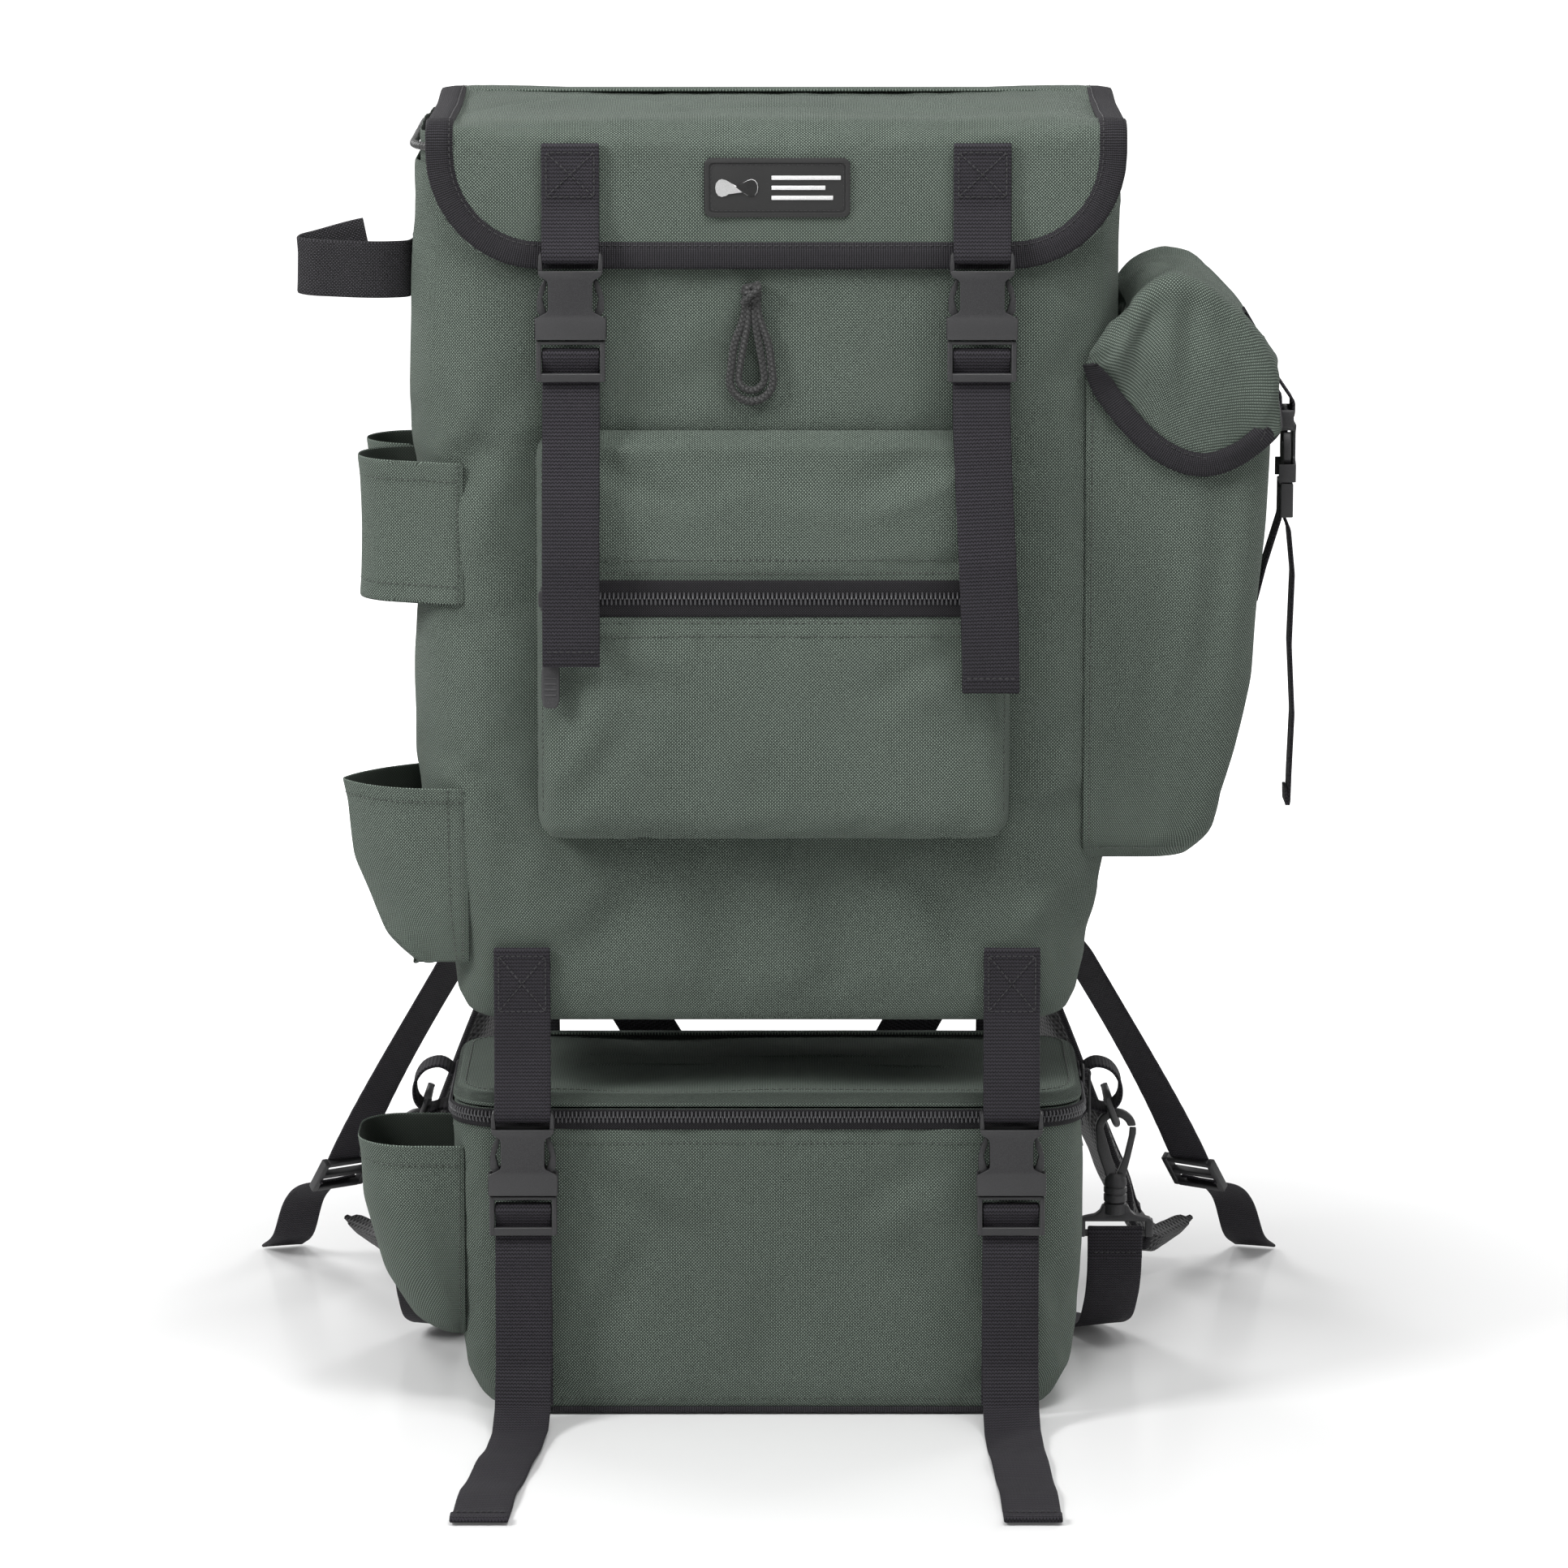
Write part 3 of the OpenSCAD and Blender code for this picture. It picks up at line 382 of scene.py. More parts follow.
class Piece:
    """Faces of one visible piece, in millimetres."""

    def __init__(self):
        self.points, self.faces, self.corners, self.slots = [], [], [], []

    def grid(self, points, uv, close_u=False, close_v=False, slot=0, flip=False):
        """Quads over points[row][column]. uv has one pair per point, and one more where it closes."""
        points = np.asarray(points, float)
        rows, cols = points.shape[:2]
        base = len(self.points)
        self.points.extend(points.reshape(-1, 3).tolist())
        for i in range(rows if close_v else rows - 1):
            for j in range(cols if close_u else cols - 1):
                ring = [(i, j), (i, j + 1), (i + 1, j + 1), (i + 1, j)]
                if flip:
                    ring.reverse()
                self.faces.append([base + (a % rows) * cols + b % cols for a, b in ring])
                self.corners.append([tuple(uv[a][b]) for a, b in ring])
                self.slots.append(slot)
        return base

    def fan(self, indexes, slot=0, flip=False):
        """One face over a ring of points, mapped flat."""
        ring = list(indexes)[::-1] if flip else list(indexes)
        p = np.array([self.points[i] for i in ring])
        first = unit(p[1] - p[0])
        normal = unit(np.cross(first, p[len(p) // 2] - p[0]))
        second = np.cross(normal, first)
        self.faces.append(ring)
        self.corners.append([((q - p[0]) @ first, (q - p[0]) @ second) for q in p])
        self.slots.append(slot)

    def tube(self, path, side, profile, slot=0, closed=False, scale=None, turned=None):
        """Sweeps a closed outline along a path. side is the outline's first axis at each point."""
        path = np.asarray(path, float)
        n = len(path)
        if closed:
            ahead = np.roll(path, -1, 0) - np.roll(path, 1, 0)
        else:
            ahead = np.gradient(path, axis=0)
        tangent = unit(ahead)
        side = np.broadcast_to(np.asarray(side, float), (n, 3))
        side = unit(side - tangent * np.sum(side * tangent, 1)[:, None])
        normal = np.cross(tangent, side)
        if turned is not None:
            angle = np.broadcast_to(np.radians(turned), (n,))[:, None]
            side, normal = side * np.cos(angle) + normal * np.sin(angle), normal * np.cos(
                angle
            ) - side * np.sin(angle)
        outline = np.asarray(profile, float)
        size = np.ones(n) if scale is None else np.asarray(scale, float)
        rings = (
            path[:, None]
            + side[:, None] * outline[None, :, :1] * size[:, None, None]
            + normal[:, None] * outline[None, :, 1:] * size[:, None, None]
        )
        us = lengths(np.concatenate([outline, outline[:1]]))
        vs = lengths(np.concatenate([path, path[:1]]) if closed else path)
        uv = [[(u, v) for u in us] for v in vs]
        x, y = outline[:, 0], outline[:, 1]
        turning = np.sum(x * np.roll(y, -1) - np.roll(x, -1) * y)
        flip = turning < 0
        base = self.grid(rings, uv, close_u=True, close_v=closed, slot=slot, flip=not flip)
        if not closed:
            count = len(outline)
            self.fan(range(base, base + count), slot, flip=not flip)
            self.fan(range(base + (n - 1) * count, base + n * count), slot, flip=flip)

    def solid(self, mesh, place, slot=0):
        """Adds a bmesh solid, moved by a matrix, mapped by its main direction."""
        base = len(self.points)
        mesh.verts.index_update()
        self.points.extend([tuple(place @ v.co) for v in mesh.verts])
        mirrored = place.determinant() < 0
        for face in mesh.faces:
            axis = max(range(3), key=lambda k: abs(face.normal[k]))
            a, b = [k for k in range(3) if k != axis]
            ring = [v.index for v in face.verts]
            flat = [(v.co[a], v.co[b]) for v in face.verts]
            if mirrored:
                ring.reverse()
                flat.reverse()
            self.faces.append([base + i for i in ring])
            self.corners.append(flat)
            self.slots.append(slot)
        mesh.free()

    def tree(self):
        return BVHTree.FromPolygons([Vector(p) for p in self.points], self.faces)

    def object(self, name, materials):
        mesh = bpy.data.meshes.new(name)
        mesh.from_pydata((np.array(self.points) * MM).tolist(), [], self.faces)
        layer = mesh.uv_layers.new(name="UVMap")
        flat = np.array([c for face in self.corners for c in face], float) * MM
        layer.data.foreach_set("uv", flat.ravel())
        for material in materials:
            mesh.materials.append(material)
        mesh.polygons.foreach_set("material_index", self.slots)
        mesh.shade_smooth()
        made = bpy.data.objects.new(name, mesh)
        bpy.context.scene.collection.objects.link(made)
        return made


def evaluate(obj):
    """Replaces an object's mesh with what its modifiers make of it."""
    graph = bpy.context.evaluated_depsgraph_get()
    graph.update()
    mesh = bpy.data.meshes.new_from_object(obj.evaluated_get(graph), depsgraph=graph)
    obj.modifiers.clear()
    obj.data = mesh


def place_piece(faces, name, body, materials, nodes=(), wall=0.0, rounded=0, sharp=None):
    """Turns faces into a named piece that rides on a CAD body and stands for CAD nodes."""
    obj = faces.object(name, materials)
    if wall:
        made = obj.modifiers.new("wall", "SOLIDIFY")
        made.thickness = wall * MM
        made.offset = -1.0
        if len(materials) > 1:
            made.material_offset = 1
    if rounded:
        made = obj.modifiers.new("rounded", "SUBSURF")
        made.levels = made.render_levels = rounded
    if wall or rounded:
        evaluate(obj)
    if sharp is not None:
        obj.data.set_sharp_from_angle(angle=math.radians(sharp))
    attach(obj, body)
    if nodes:
        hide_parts(*nodes)
    return obj


def settle(faces, pinned, outward, frames=18, pressure=3.0, grow=0.012, cap=5.0, cap_out=2.5, gravity=0.15):
    """Cloth simulation of a sewn panel: the pinned points are its seams. Returns the moved points."""
    start = np.array(faces.points)
    obj = faces.object("cloth_run", [])
    group = obj.vertex_groups.new(name="seams")
    for i, weight in enumerate(pinned):
        if weight > 0.01:
            group.add([i], float(weight), "REPLACE")
    cloth = obj.modifiers.new("Cloth", "CLOTH")
    cloth.point_cache.frame_start = 1
    cloth.point_cache.frame_end = frames
    cloth.settings.quality = 6
    cloth.settings.mass = 0.25
    cloth.settings.tension_stiffness = 12
    cloth.settings.compression_stiffness = 12
    cloth.settings.shear_stiffness = 4
    cloth.settings.bending_stiffness = 0.35
    cloth.settings.vertex_group_mass = "seams"
    cloth.settings.use_pressure = True
    cloth.settings.uniform_pressure_force = pressure
    cloth.settings.shrink_min = -grow
    cloth.settings.effector_weights.gravity = gravity
    scene = bpy.context.scene
    for number in range(1, frames + 1):
        scene.frame_set(number)
    graph = bpy.context.evaluated_depsgraph_get()
    moved = obj.evaluated_get(graph).data
    settled = np.array([v.co for v in moved.vertices], float) / MM
    bpy.data.objects.remove(obj)
    scene.frame_set(1)
    shift = settled - start
    far = np.linalg.norm(shift, axis=1)
    shift *= np.minimum(1.0, cap / np.maximum(far, 1e-6))[:, None]
    out = np.sum(shift * outward, 1)
    shift -= outward * (out - np.clip(out, -0.7 * cap_out, cap_out))[:, None]
    return start + shift


def stitches(faces, path, normal, length=2.5, gap=1.1, radius=0.32, slot=0):
    """A row of raised thread dashes along a path that already lies on the cloth."""
    path = np.asarray(path, float)
    walked = lengths(path)
    normal = np.broadcast_to(np.asarray(normal, float), path.shape)
    count = int(walked[-1] / (length + gap))
    if count < 1:
        return
    starts = (np.arange(count) + 0.5) * walked[-1] / count
    ring = [(math.cos(a), math.sin(a)) for a in np.radians([0, 60, 120, 180, 240, 300])]
    for at in starts:
        ends = [
            np.array([np.interp(at + s * length / 2, walked, path[:, k]) for k in range(3)])
            for s in (-1, 1)
        ]
        up = unit([np.interp(at, walked, normal[:, k]) for k in range(3)])
        ahead = unit(ends[1] - ends[0])
        side = np.cross(up, ahead)
        base = len(faces.points)
        for share, size, lift in ((0.0, 0.45, -0.5), (0.2, 1.0, 0.5), (0.8, 1.0, 0.5), (1.0, 0.45, -0.5)):
            centre = ends[0] + (ends[1] - ends[0]) * share + up * lift * radius
            for a, b in ring:
                faces.points.append(tuple(centre + side * a * radius * size + up * b * radius * size))
        for i in range(3):
            for j in range(6):
                a, b = base + i * 6 + j, base + i * 6 + (j + 1) % 6
                faces.faces.append([a, a + 6, b + 6, b])
                faces.corners.append([(j, i), (j, i + 1), (j + 1, i + 1), (j + 1, i)])
                faces.slots.append(slot)
        for first, flip in ((base, False), (base + 18, True)):
            faces.fan(range(first, first + 6), slot, flip=flip)


def land(tree, path, direction, lift=0.1):
    """Drops a path on to a surface along a direction. Returns the landed points and the normals."""
    direction = Vector(direction).normalized()
    points, normals = [], []
    for p in path:
        origin = Vector(p) - direction * 60
        hit, normal, _, _ = tree.ray_cast(origin, direction, 140)
        if hit is None:
            continue
        if normal.dot(direction) > 0:
            normal = -normal
        points.append(np.array(hit) + np.array(normal) * lift)
        normals.append(np.array(normal))
    return np.array(points), np.array(normals)


def sew(faces, tree, path, direction, slot=0, step=3.0, **kind):
    """Stitches along a path dropped on to a surface."""
    points, normals = land(tree, walk(path, step), direction)
    if len(points) > 1:
        stitches(faces, points, normals, slot=slot, **kind)


# ------------------------------------------------------------------ hard parts
def solid_plate(outline, low, high, bevel=0.5, holes=(), steps=2):
    """Plate with an outline in x and z between two y levels, its edges rounded."""
    mesh = bmesh.new()
    loops = [list(outline)] + [list(h) for h in holes]
    flat = [Vector((x, z, 0)) for loop in loops for x, z in loop]
    if holes:
        fill = tessellate_polygon([[Vector((x, z, 0)) for x, z in loop] for loop in loops])
    else:
        fill = [list(range(len(flat)))]
    sides = []
    for y in (low, high):
        sides.append([mesh.verts.new((p.x, y, p.y)) for p in flat])
    for face in fill:
        mesh.faces.new([sides[0][i] for i in face])
        mesh.faces.new([sides[1][i] for i in reversed(face)])
    start = 0
    for loop in loops:
        n = len(loop)
        for i in range(n):
            a, b = start + i, start + (i + 1) % n
            mesh.faces.new([sides[0][b], sides[0][a], sides[1][a], sides[1][b]])
        start += n
    bmesh.ops.recalc_face_normals(mesh, faces=mesh.faces)
    round_edges(mesh, bevel, steps)
    return mesh


def round_edges(mesh, bevel, steps=2, angle=28):
    edges = [e for e in mesh.edges if e.is_manifold and e.calc_face_angle(0) > math.radians(angle)]
    if bevel > 0 and edges:
        bmesh.ops.bevel(
            mesh, geom=edges, offset=bevel, segments=steps, profile=0.5, affect="EDGES", clamp_overlap=True
        )
    mesh.normal_update()


def solid_block(low, high, bevel=0.5, steps=2):
    (x0, y0, z0), (x1, y1, z1) = low, high
    return solid_plate([(x0, z0), (x1, z0), (x1, z1), (x0, z1)], y0, y1, bevel, steps=steps)


def circle_outline(radius, count=10, squash=1.0):
    turn = np.radians(np.arange(count) * 360 / count)
    return [(radius * math.cos(a), radius * squash * math.sin(a)) for a in turn]


def strap_outline(width, thick):
    """Flat webbing with rounded selvedges and a slightly lower middle."""
    r = thick / 2
    right = [(width / 2 - r + r * math.cos(a), r * math.sin(a)) for a in np.radians([-90, -45, 0, 45, 90])]
    left = [(-x, -y) for x, y in right]
    middle = [(width * k, r * 0.86) for k in (0.3, 0.0, -0.3)]
    under = [(-x, -y) for x, y in middle]
    return right + middle + left + under


def both_sides(half):
    """Mirrors the right half of an outline, listed from the bottom up."""
    return list(half) + [(-x, z) for x, z in reversed(half)]


def matrix(x=0.0, y=0.0, z=0.0, about_z=0.0, about_y=0.0, about_x=0.0, flip_y=False, size=1.0):
    made = Matrix.Translation((x, y, z))
    made = made @ Matrix.Rotation(math.radians(about_z), 4, "Z")
    made = made @ Matrix.Rotation(math.radians(about_y), 4, "Y")
    made = made @ Matrix.Rotation(math.radians(about_x), 4, "X")
    if flip_y:
        made = made @ Matrix.Diagonal((1, -1, 1, 1))
    return made @ Matrix.Diagonal((size, size, size, 1))


def bar(faces, place, start, end, radius, count=10, slot=0, knurl=0.0):
    """Round bar between two points of a local frame."""
    path = walk([start, end], 1.2 if knurl else 6.0)
    ahead = unit(np.subtract(end, start))
    side = np.cross(ahead, (0, 0, 1) if abs(ahead[2]) < 0.9 else (0, 1, 0))
    path = np.array([tuple(place @ Vector(p)) for p in path])
    turn = np.array(place.to_3x3() @ Vector(side))
    size = place.to_scale()[0]
    scale = None
    if knurl:
        scale = 1 + knurl * (np.arange(len(path)) % 2)
    faces.tube(path, turn, circle_outline(radius * size, count), slot, scale=scale)


BUCKLE_HALF_W = 18.2


def buckle_body(faces, place, open_back, slot=0):
    """Receiving half of a side-release buckle: waisted face, yoke, two arms and the webbing bar."""
    half = [(BUCKLE_HALF_W, 0.3), (BUCKLE_HALF_W, 10.6)]
    half += arc((16.6, 10.6), 1.6, 0, 72, 3)
    half += [(13.6, 13.9)]
    half += arc((14.4, 16.7), 2.9, 250, 180, 3)
    half += [(11.6, 28.2)]
    half += arc((14.6, 29.2), 3.0, 180, 118, 3)
    half += [(15.6, 33.2), (16.6, 35.0), (16.6, 36.2)]
    faces.solid(solid_plate(both_sides(half), -5.5, -3.75, 0.7, steps=3), place, slot)
    if not open_back:
        faces.solid(solid_plate(both_sides(half), 3.75, 5.5, 0.7, steps=3), place, slot)
    for s in (-1, 1):
        wall = solid_block((min(s * 17.3, s * 18.6), -4.6, 0.3), (max(s * 17.3, s * 18.6), 5.2, 11.6), 0.4)
        faces.solid(wall, place, slot)
        outer = [
            (14.2, 32.4), (16.6, 34.2), (16.8, 38.0), (16.5, 43.6), (15.9, 45.2), (15.0, 45.2),
            (14.4, 36.4)
        ]
        faces.solid(solid_plate([(s * x, z) for x, z in outer], -3.9, 3.9, 0.6), place, slot)
    yoke = [(-15.4, 32.3), (15.4, 32.3), (16.0, 34.9), (-16.0, 34.9)]
    faces.solid(solid_plate(yoke, -4.4, 4.4, 0.6), place, slot)
    bar(faces, place, (-15.2, 0, 43), (15.2, 0, 43), 2.1, 12, slot)


def buckle_prongs(faces, place, slot=0):
    """Entering half: two sprung prongs and a guide tongue above, the webbing ladder below."""
    prong = [
        (11.2, -1.0), (14.9, -1.0), (15.2, 11.6), (17.5, 14.9), (17.6, 20.8), (16.2, 26.5), (13.9, 31.3)
    ]
    prong += [(12.2, 31.2), (12.6, 27.4), (14.6, 21.6), (13.2, 16.0), (11.6, 12.4)]
    for s in (-1, 1):
        outline = [(s * x, z) for x, z in prong]
        faces.solid(solid_plate(outline, -2.25, 2.25, 0.45), place, slot)
        low, high = sorted((s * 15.3, s * 18.0))
        faces.solid(solid_block((low, -4, -21.8), (high, 3.9, -0.5), 0.7, 3), place, slot)
    faces.solid(solid_block((-3, -2.2, -1), (3, 2.2, 23.5), 0.8), place, slot)
    faces.solid(solid_block((-17.2, -3.9, -2.3), (17.2, 3.9, -0.5), 0.5), place, slot)
    faces.solid(solid_block((-16.2, -3.7, -22), (16.2, -1, -17.4), 0.8, 3), place, slot)
    bar(faces, place, (-16, 0, -8), (16, 0, -8), 1.7, 12, slot, knurl=0.07)


def looped(x, y, z, bar_z, radius, back, front):
    """Strap path in y and z that comes down behind, turns under a bar and goes up in front."""
    turn = arc((y, z + bar_z), radius, 0, -180, 10)
    return [(x, a, b) for a, b in list(back) + turn + list(front)]


# ------------------------------------------------------------------ the rucksack's body
def bag_ring(half_w, front, back, r_front, r_back):
    """Closed outline of a bag from above, counter-clockwise from the middle of its back."""
    r_front, r_back = max(r_front, 1.0), max(r_back, 1.0)
    line = np.linspace(-half_w + r_front, half_w - r_front, 40).tolist()
    points = [(x, front) for x in line]
    points += arc((half_w - r_front, front + r_front), r_front, -90, 0, 9)[1:]
    points += [(half_w, y) for y in np.linspace(front + r_front, back - r_back, 17)[1:]]
    points += arc((half_w - r_back, back - r_back), r_back, 0, 90, 6)[1:]
    rear = [(x, back) for x in np.linspace(half_w - r_back, -half_w + r_back, 41)[1:]]
    middle = len(points) + 19
    points += rear
    points += arc((-half_w + r_back, back - r_back), r_back, 90, 180, 6)[1:]
    points += [(-half_w, y) for y in np.linspace(back - r_back, front + r_front, 17)[1:]]
    points += arc((-half_w + r_front, front + r_front), r_front, 180, 270, 9)[1:-1]
    return np.roll(np.array(points), -middle, axis=0)


def bag_rows(node, insets, radii, z_top, front_taper=()):
    """Rings of a bag's outer face from the middle of its floor up to its rim."""
    low, high = box_mm(node)
    half_w = (high[0] - low[0]) / 2
    floor = low[2]

    def at(z, inset, front_in):
        rounded = [max(r - 0.5 * inset, 3.0) for r in radii]
        xy = bag_ring(half_w - inset, low[1] + front_in, high[1] - front_in, *rounded)
        return np.column_stack([xy, np.full(len(xy), z)])

    first = insets[0][1]
    rows = []
    depth = (high[1] - low[1]) / 2
    for share in (0.97, 0.7, 0.35, 0.12):
        give = (depth - front_taper[0][1]) * share
        rows.append(at(floor + 0.6, first + give, front_taper[0][1] + give))
    heights = list(np.linspace(0, insets[2][0], 5)) + list(
        np.arange(insets[2][0] + 6, z_top - floor - 4, 7.5)
    )
    heights.append(z_top - floor)
    for h in heights:
        inset = np.interp(h, [p[0] for p in insets], [p[1] for p in insets])
        front_in = np.interp(h, [p[0] for p in front_taper], [p[1] for p in front_taper])
        rows.append(at(floor + h, inset, front_in))
    return np.array(rows)


def bag_uv(rows):
    widest = rows[-1]
    us = lengths(np.concatenate([widest, widest[:1]]))
    vs = lengths(rows[:, 20])
    return [[(u, v) for u in us] for v in vs]


def outward_of(rows):
    """Horizontal outward direction at each point of stacked rings."""
    ahead = np.roll(rows, -1, 1) - np.roll(rows, 1, 1)
    return unit(np.stack([ahead[..., 1], -ahead[..., 0], np.zeros(ahead.shape[:2])], -1)).reshape(-1, 3)


def within(value, low, high, soft=9.0):
    """1 between low and high, falling to 0 over a soft border."""
    return ease(value, low - soft, low) * (1 - ease(value, high, high + soft))


SHELL_LOW, SHELL_HIGH = box_mm("main_shell")
POCKET_LOW, POCKET_HIGH = box_mm("front_pocket")
SIDE_LOW, SIDE_HIGH = box_mm("side_pocket")
PAD_LOW, PAD_HIGH = box_mm("back_pad")
RUCK_TAPER = [(0, 36), (4, 26), (17, 20), (47, 16), (75, 8), (105, 2), (135, 0), (900, 0)]
RUCK_CORNER = 38
RUCK_FRONT = [(0, 13), (4, 4), (17, 0), (900, 0)]


def held_points(p):
    """How firmly the rucksack's cloth is held: sewn-on pockets, straps, padding and the rim."""
    x, y, z = p.T
    front = 1 - ease(y, SHELL_LOW[1] + 20, SHELL_LOW[1] + 30)
    back = ease(y, SHELL_HIGH[1] - 12, SHELL_HIGH[1] - 6)
    held = ease(z, SHELL_HIGH[2] - 26, SHELL_HIGH[2] - 8)
    held = np.maximum(held, 1 - ease(z, SHELL_LOW[2] + 4, SHELL_LOW[2] + 30))
    pocket = (
        within(x, POCKET_LOW[0] + 6, POCKET_HIGH[0] - 6)
        * within(z, POCKET_LOW[2] + 6, POCKET_HIGH[2] - 6)
    )
    held = np.maximum(held, pocket * front)
    hangers = within(np.abs(x), 114, 147) * (1 - ease(z, 256, 268))
    held = np.maximum(held, hangers)
    held = np.maximum(held, within(x, PAD_LOW[0], PAD_HIGH[0]) * within(z, PAD_LOW[2], PAD_HIGH[2]) * back)
    side = within(x, SIDE_LOW[0] + 4, 400) * within(z, SIDE_LOW[2], 634, 16)
    held = np.maximum(held, side)
    for node in ("rod_sleeve", "rod_pocket"):
        low, high = box_mm(node)
        left = (1 - ease(x, -150, -142)) * within(z, low[2], high[2]) * within(y, low[1], high[1])
        held = np.maximum(held, left)
    return np.clip(held, 0, 1)


BAG_FOLDS = [
    ((-124, 312), (-172, 366), 7, 2.6),
    ((-132, 262), (-176, 300), 9, 2.4),
    ((-110, 248), (-62, 304), 11, 2.6),
    ((-20, 226), (-34, 306), 13, 2.0),
    ((40, 224), (22, 304), 13, 1.8),
    ((108, 246), (74, 310), 10, 2.6),
    ((140, 250), (172, 300), 9, 2.6),
    ((132, 322), (176, 352), 7, 2.4),
    ((-128, 470), (-172, 520), 8, 2.0),
    ((-128, 560), (-170, 470), 9, 2.2),
    ((-60, 548), (10, 600), 12, 1.4),
    ((132, 540), (166, 600), 8, 2.0),
    ((-130, 400), (-162, 430), 6, 1.8),
]


def main_bag():
    rows = bag_rows("main_shell", RUCK_TAPER, (RUCK_CORNER, 20), SHELL_HIGH[2], RUCK_FRONT)
    shape = rows.shape
    outward = outward_of(rows)
    flat = rows.reshape(-1, 3) - outward * 0.8
    faces = Piece()
    faces.grid(flat.reshape(shape), bag_uv(rows), close_u=True)
    held = held_points(flat)
    moved = settle(faces, held, outward, frames=18, pressure=3.0, grow=0.014, cap=5.0, cap_out=3.0)
    free = (1 - held)[:, None]
    x, y, z = moved.T
    waves = ripple(x + y, z * 0.7, 11, 120.0) * 1.9 + ripple(x + y, z, 12, 42.0) * 0.45 - 0.2
    creases = creased(x, z, BAG_FOLDS) * (y < 0) + creased(-x, z, BAG_FOLDS) * (y > 0)
    moved = moved + outward * (waves + creases)[:, None] * free
    faces.points = moved.tolist()
    place_piece(
        faces, "main_bag", "rucksack", [CLOTH, CLOTH_INSIDE], ["main_shell"], wall=2.0,
        rounded=1
    )
    return faces


def collar():
    """Thin snow collar inside the rim, gathered by the drawcord."""
    low, high = box_mm("drawcord_collar")
    heights = np.linspace(low[2], high[2], 11)
    rows = []
    for z in heights:
        xy = bag_ring(high[0], low[1], high[1], 34.7, 16.7)
        rows.append(np.column_stack([xy, np.full(len(xy), z)]))
    rows = np.array(rows)
    outward = outward_of(rows).reshape(rows.shape)
    around = lengths(rows[0])
    top = ease(rows[..., 2], high[2] - 14, high[2])
    pleat = (
        np.sin(around * 2 * math.pi / 19)[None, :] * 0.45
        + ripple(around, around * 0, 5, 60)[None, :] * 0.4
    )
    rows = rows - outward * (0.7 + pleat[..., None] * (0.4 + top[..., None]))
    rows[..., 2] += top * (ripple(around, around * 0, 6, 80)[None, :] * 1.5 - 0.5)
    faces = Piece()
    faces.grid(rows, bag_uv(rows), close_u=True)
    materials = [CLOTH, CLOTH_INSIDE]
    place_piece(
        faces, "collar", "rucksack", materials, ["drawcord_collar"], wall=0.9, rounded=1
    )


BRAID_PITCH = 2.9
BRAID_SWELL = 0.045
BRAID_SIDES = 14


def braid(faces, path, radius, side, closed=False, slot=0):
    """Round cord whose sheath swells where its strands cross."""
    line = np.asarray(path, float)
    walked = lengths(line)
    scale = 1 + BRAID_SWELL * np.sin(walked * 2 * math.pi / BRAID_PITCH)
    faces.tube(line, side, circle_outline(radius * 0.95, BRAID_SIDES), slot, closed=closed, scale=scale)


def drawcord():
    low, high = box_mm("drawcord")
    radius = 2.25
    ring = bag_ring(high[0] - radius, low[1] + 2.25, high[1] - radius, 36, 18)
    z = high[2] - radius
    line = walk(np.column_stack([ring, np.full(len(ring), z)]), 1.4)
    faces = Piece()
    inward = unit(np.column_stack([-line[:, 0], -line[:, 1], line[:, 0] * 0]))
    braid(faces, line, radius, inward, closed=True)
    for x in (-2.5, 2.5):
        cx = box_mm("drawcord_loop")
        middle = (cx[0][0] + cx[1][0]) / 2
        y = low[1] + radius
        drop = walk([(middle + x, y, z), (middle + x, y, 619.5)], 1.2)
        braid(faces, drop, radius, (1, 0, 0))
    place_piece(faces, "drawcord", "rucksack", [CORD], ["drawcord"])


# ------------------------------------------------------------------ top flap
FLAP_LOW, FLAP_HIGH = box_mm("top_flap")
FLAP_X = (FLAP_LOW[0] + FLAP_HIGH[0]) / 2
FLAP_HALF = (FLAP_HIGH[0] - FLAP_LOW[0]) / 2
ROLL_R = 13.0
CORNER_R = 58.0
TOP_LENGTH = FLAP_HIGH[1] - FLAP_LOW[1] - ROLL_R
ROLL_LENGTH = ROLL_R * math.pi / 2
APRON_LENGTH = FLAP_HIGH[2] - ROLL_R - FLAP_LOW[2]
FLAP_LENGTH = TOP_LENGTH + ROLL_LENGTH + APRON_LENGTH


FLAP_FOLDS = [
    ((-120, 40), (-20, 120), 9, 2.6),
    ((-60, 130), (60, 100), 10, 2.2),
    ((50, 60), (150, 130), 10, 2.6),
    ((-160, 120), (-110, 60), 8, 2.2),
]


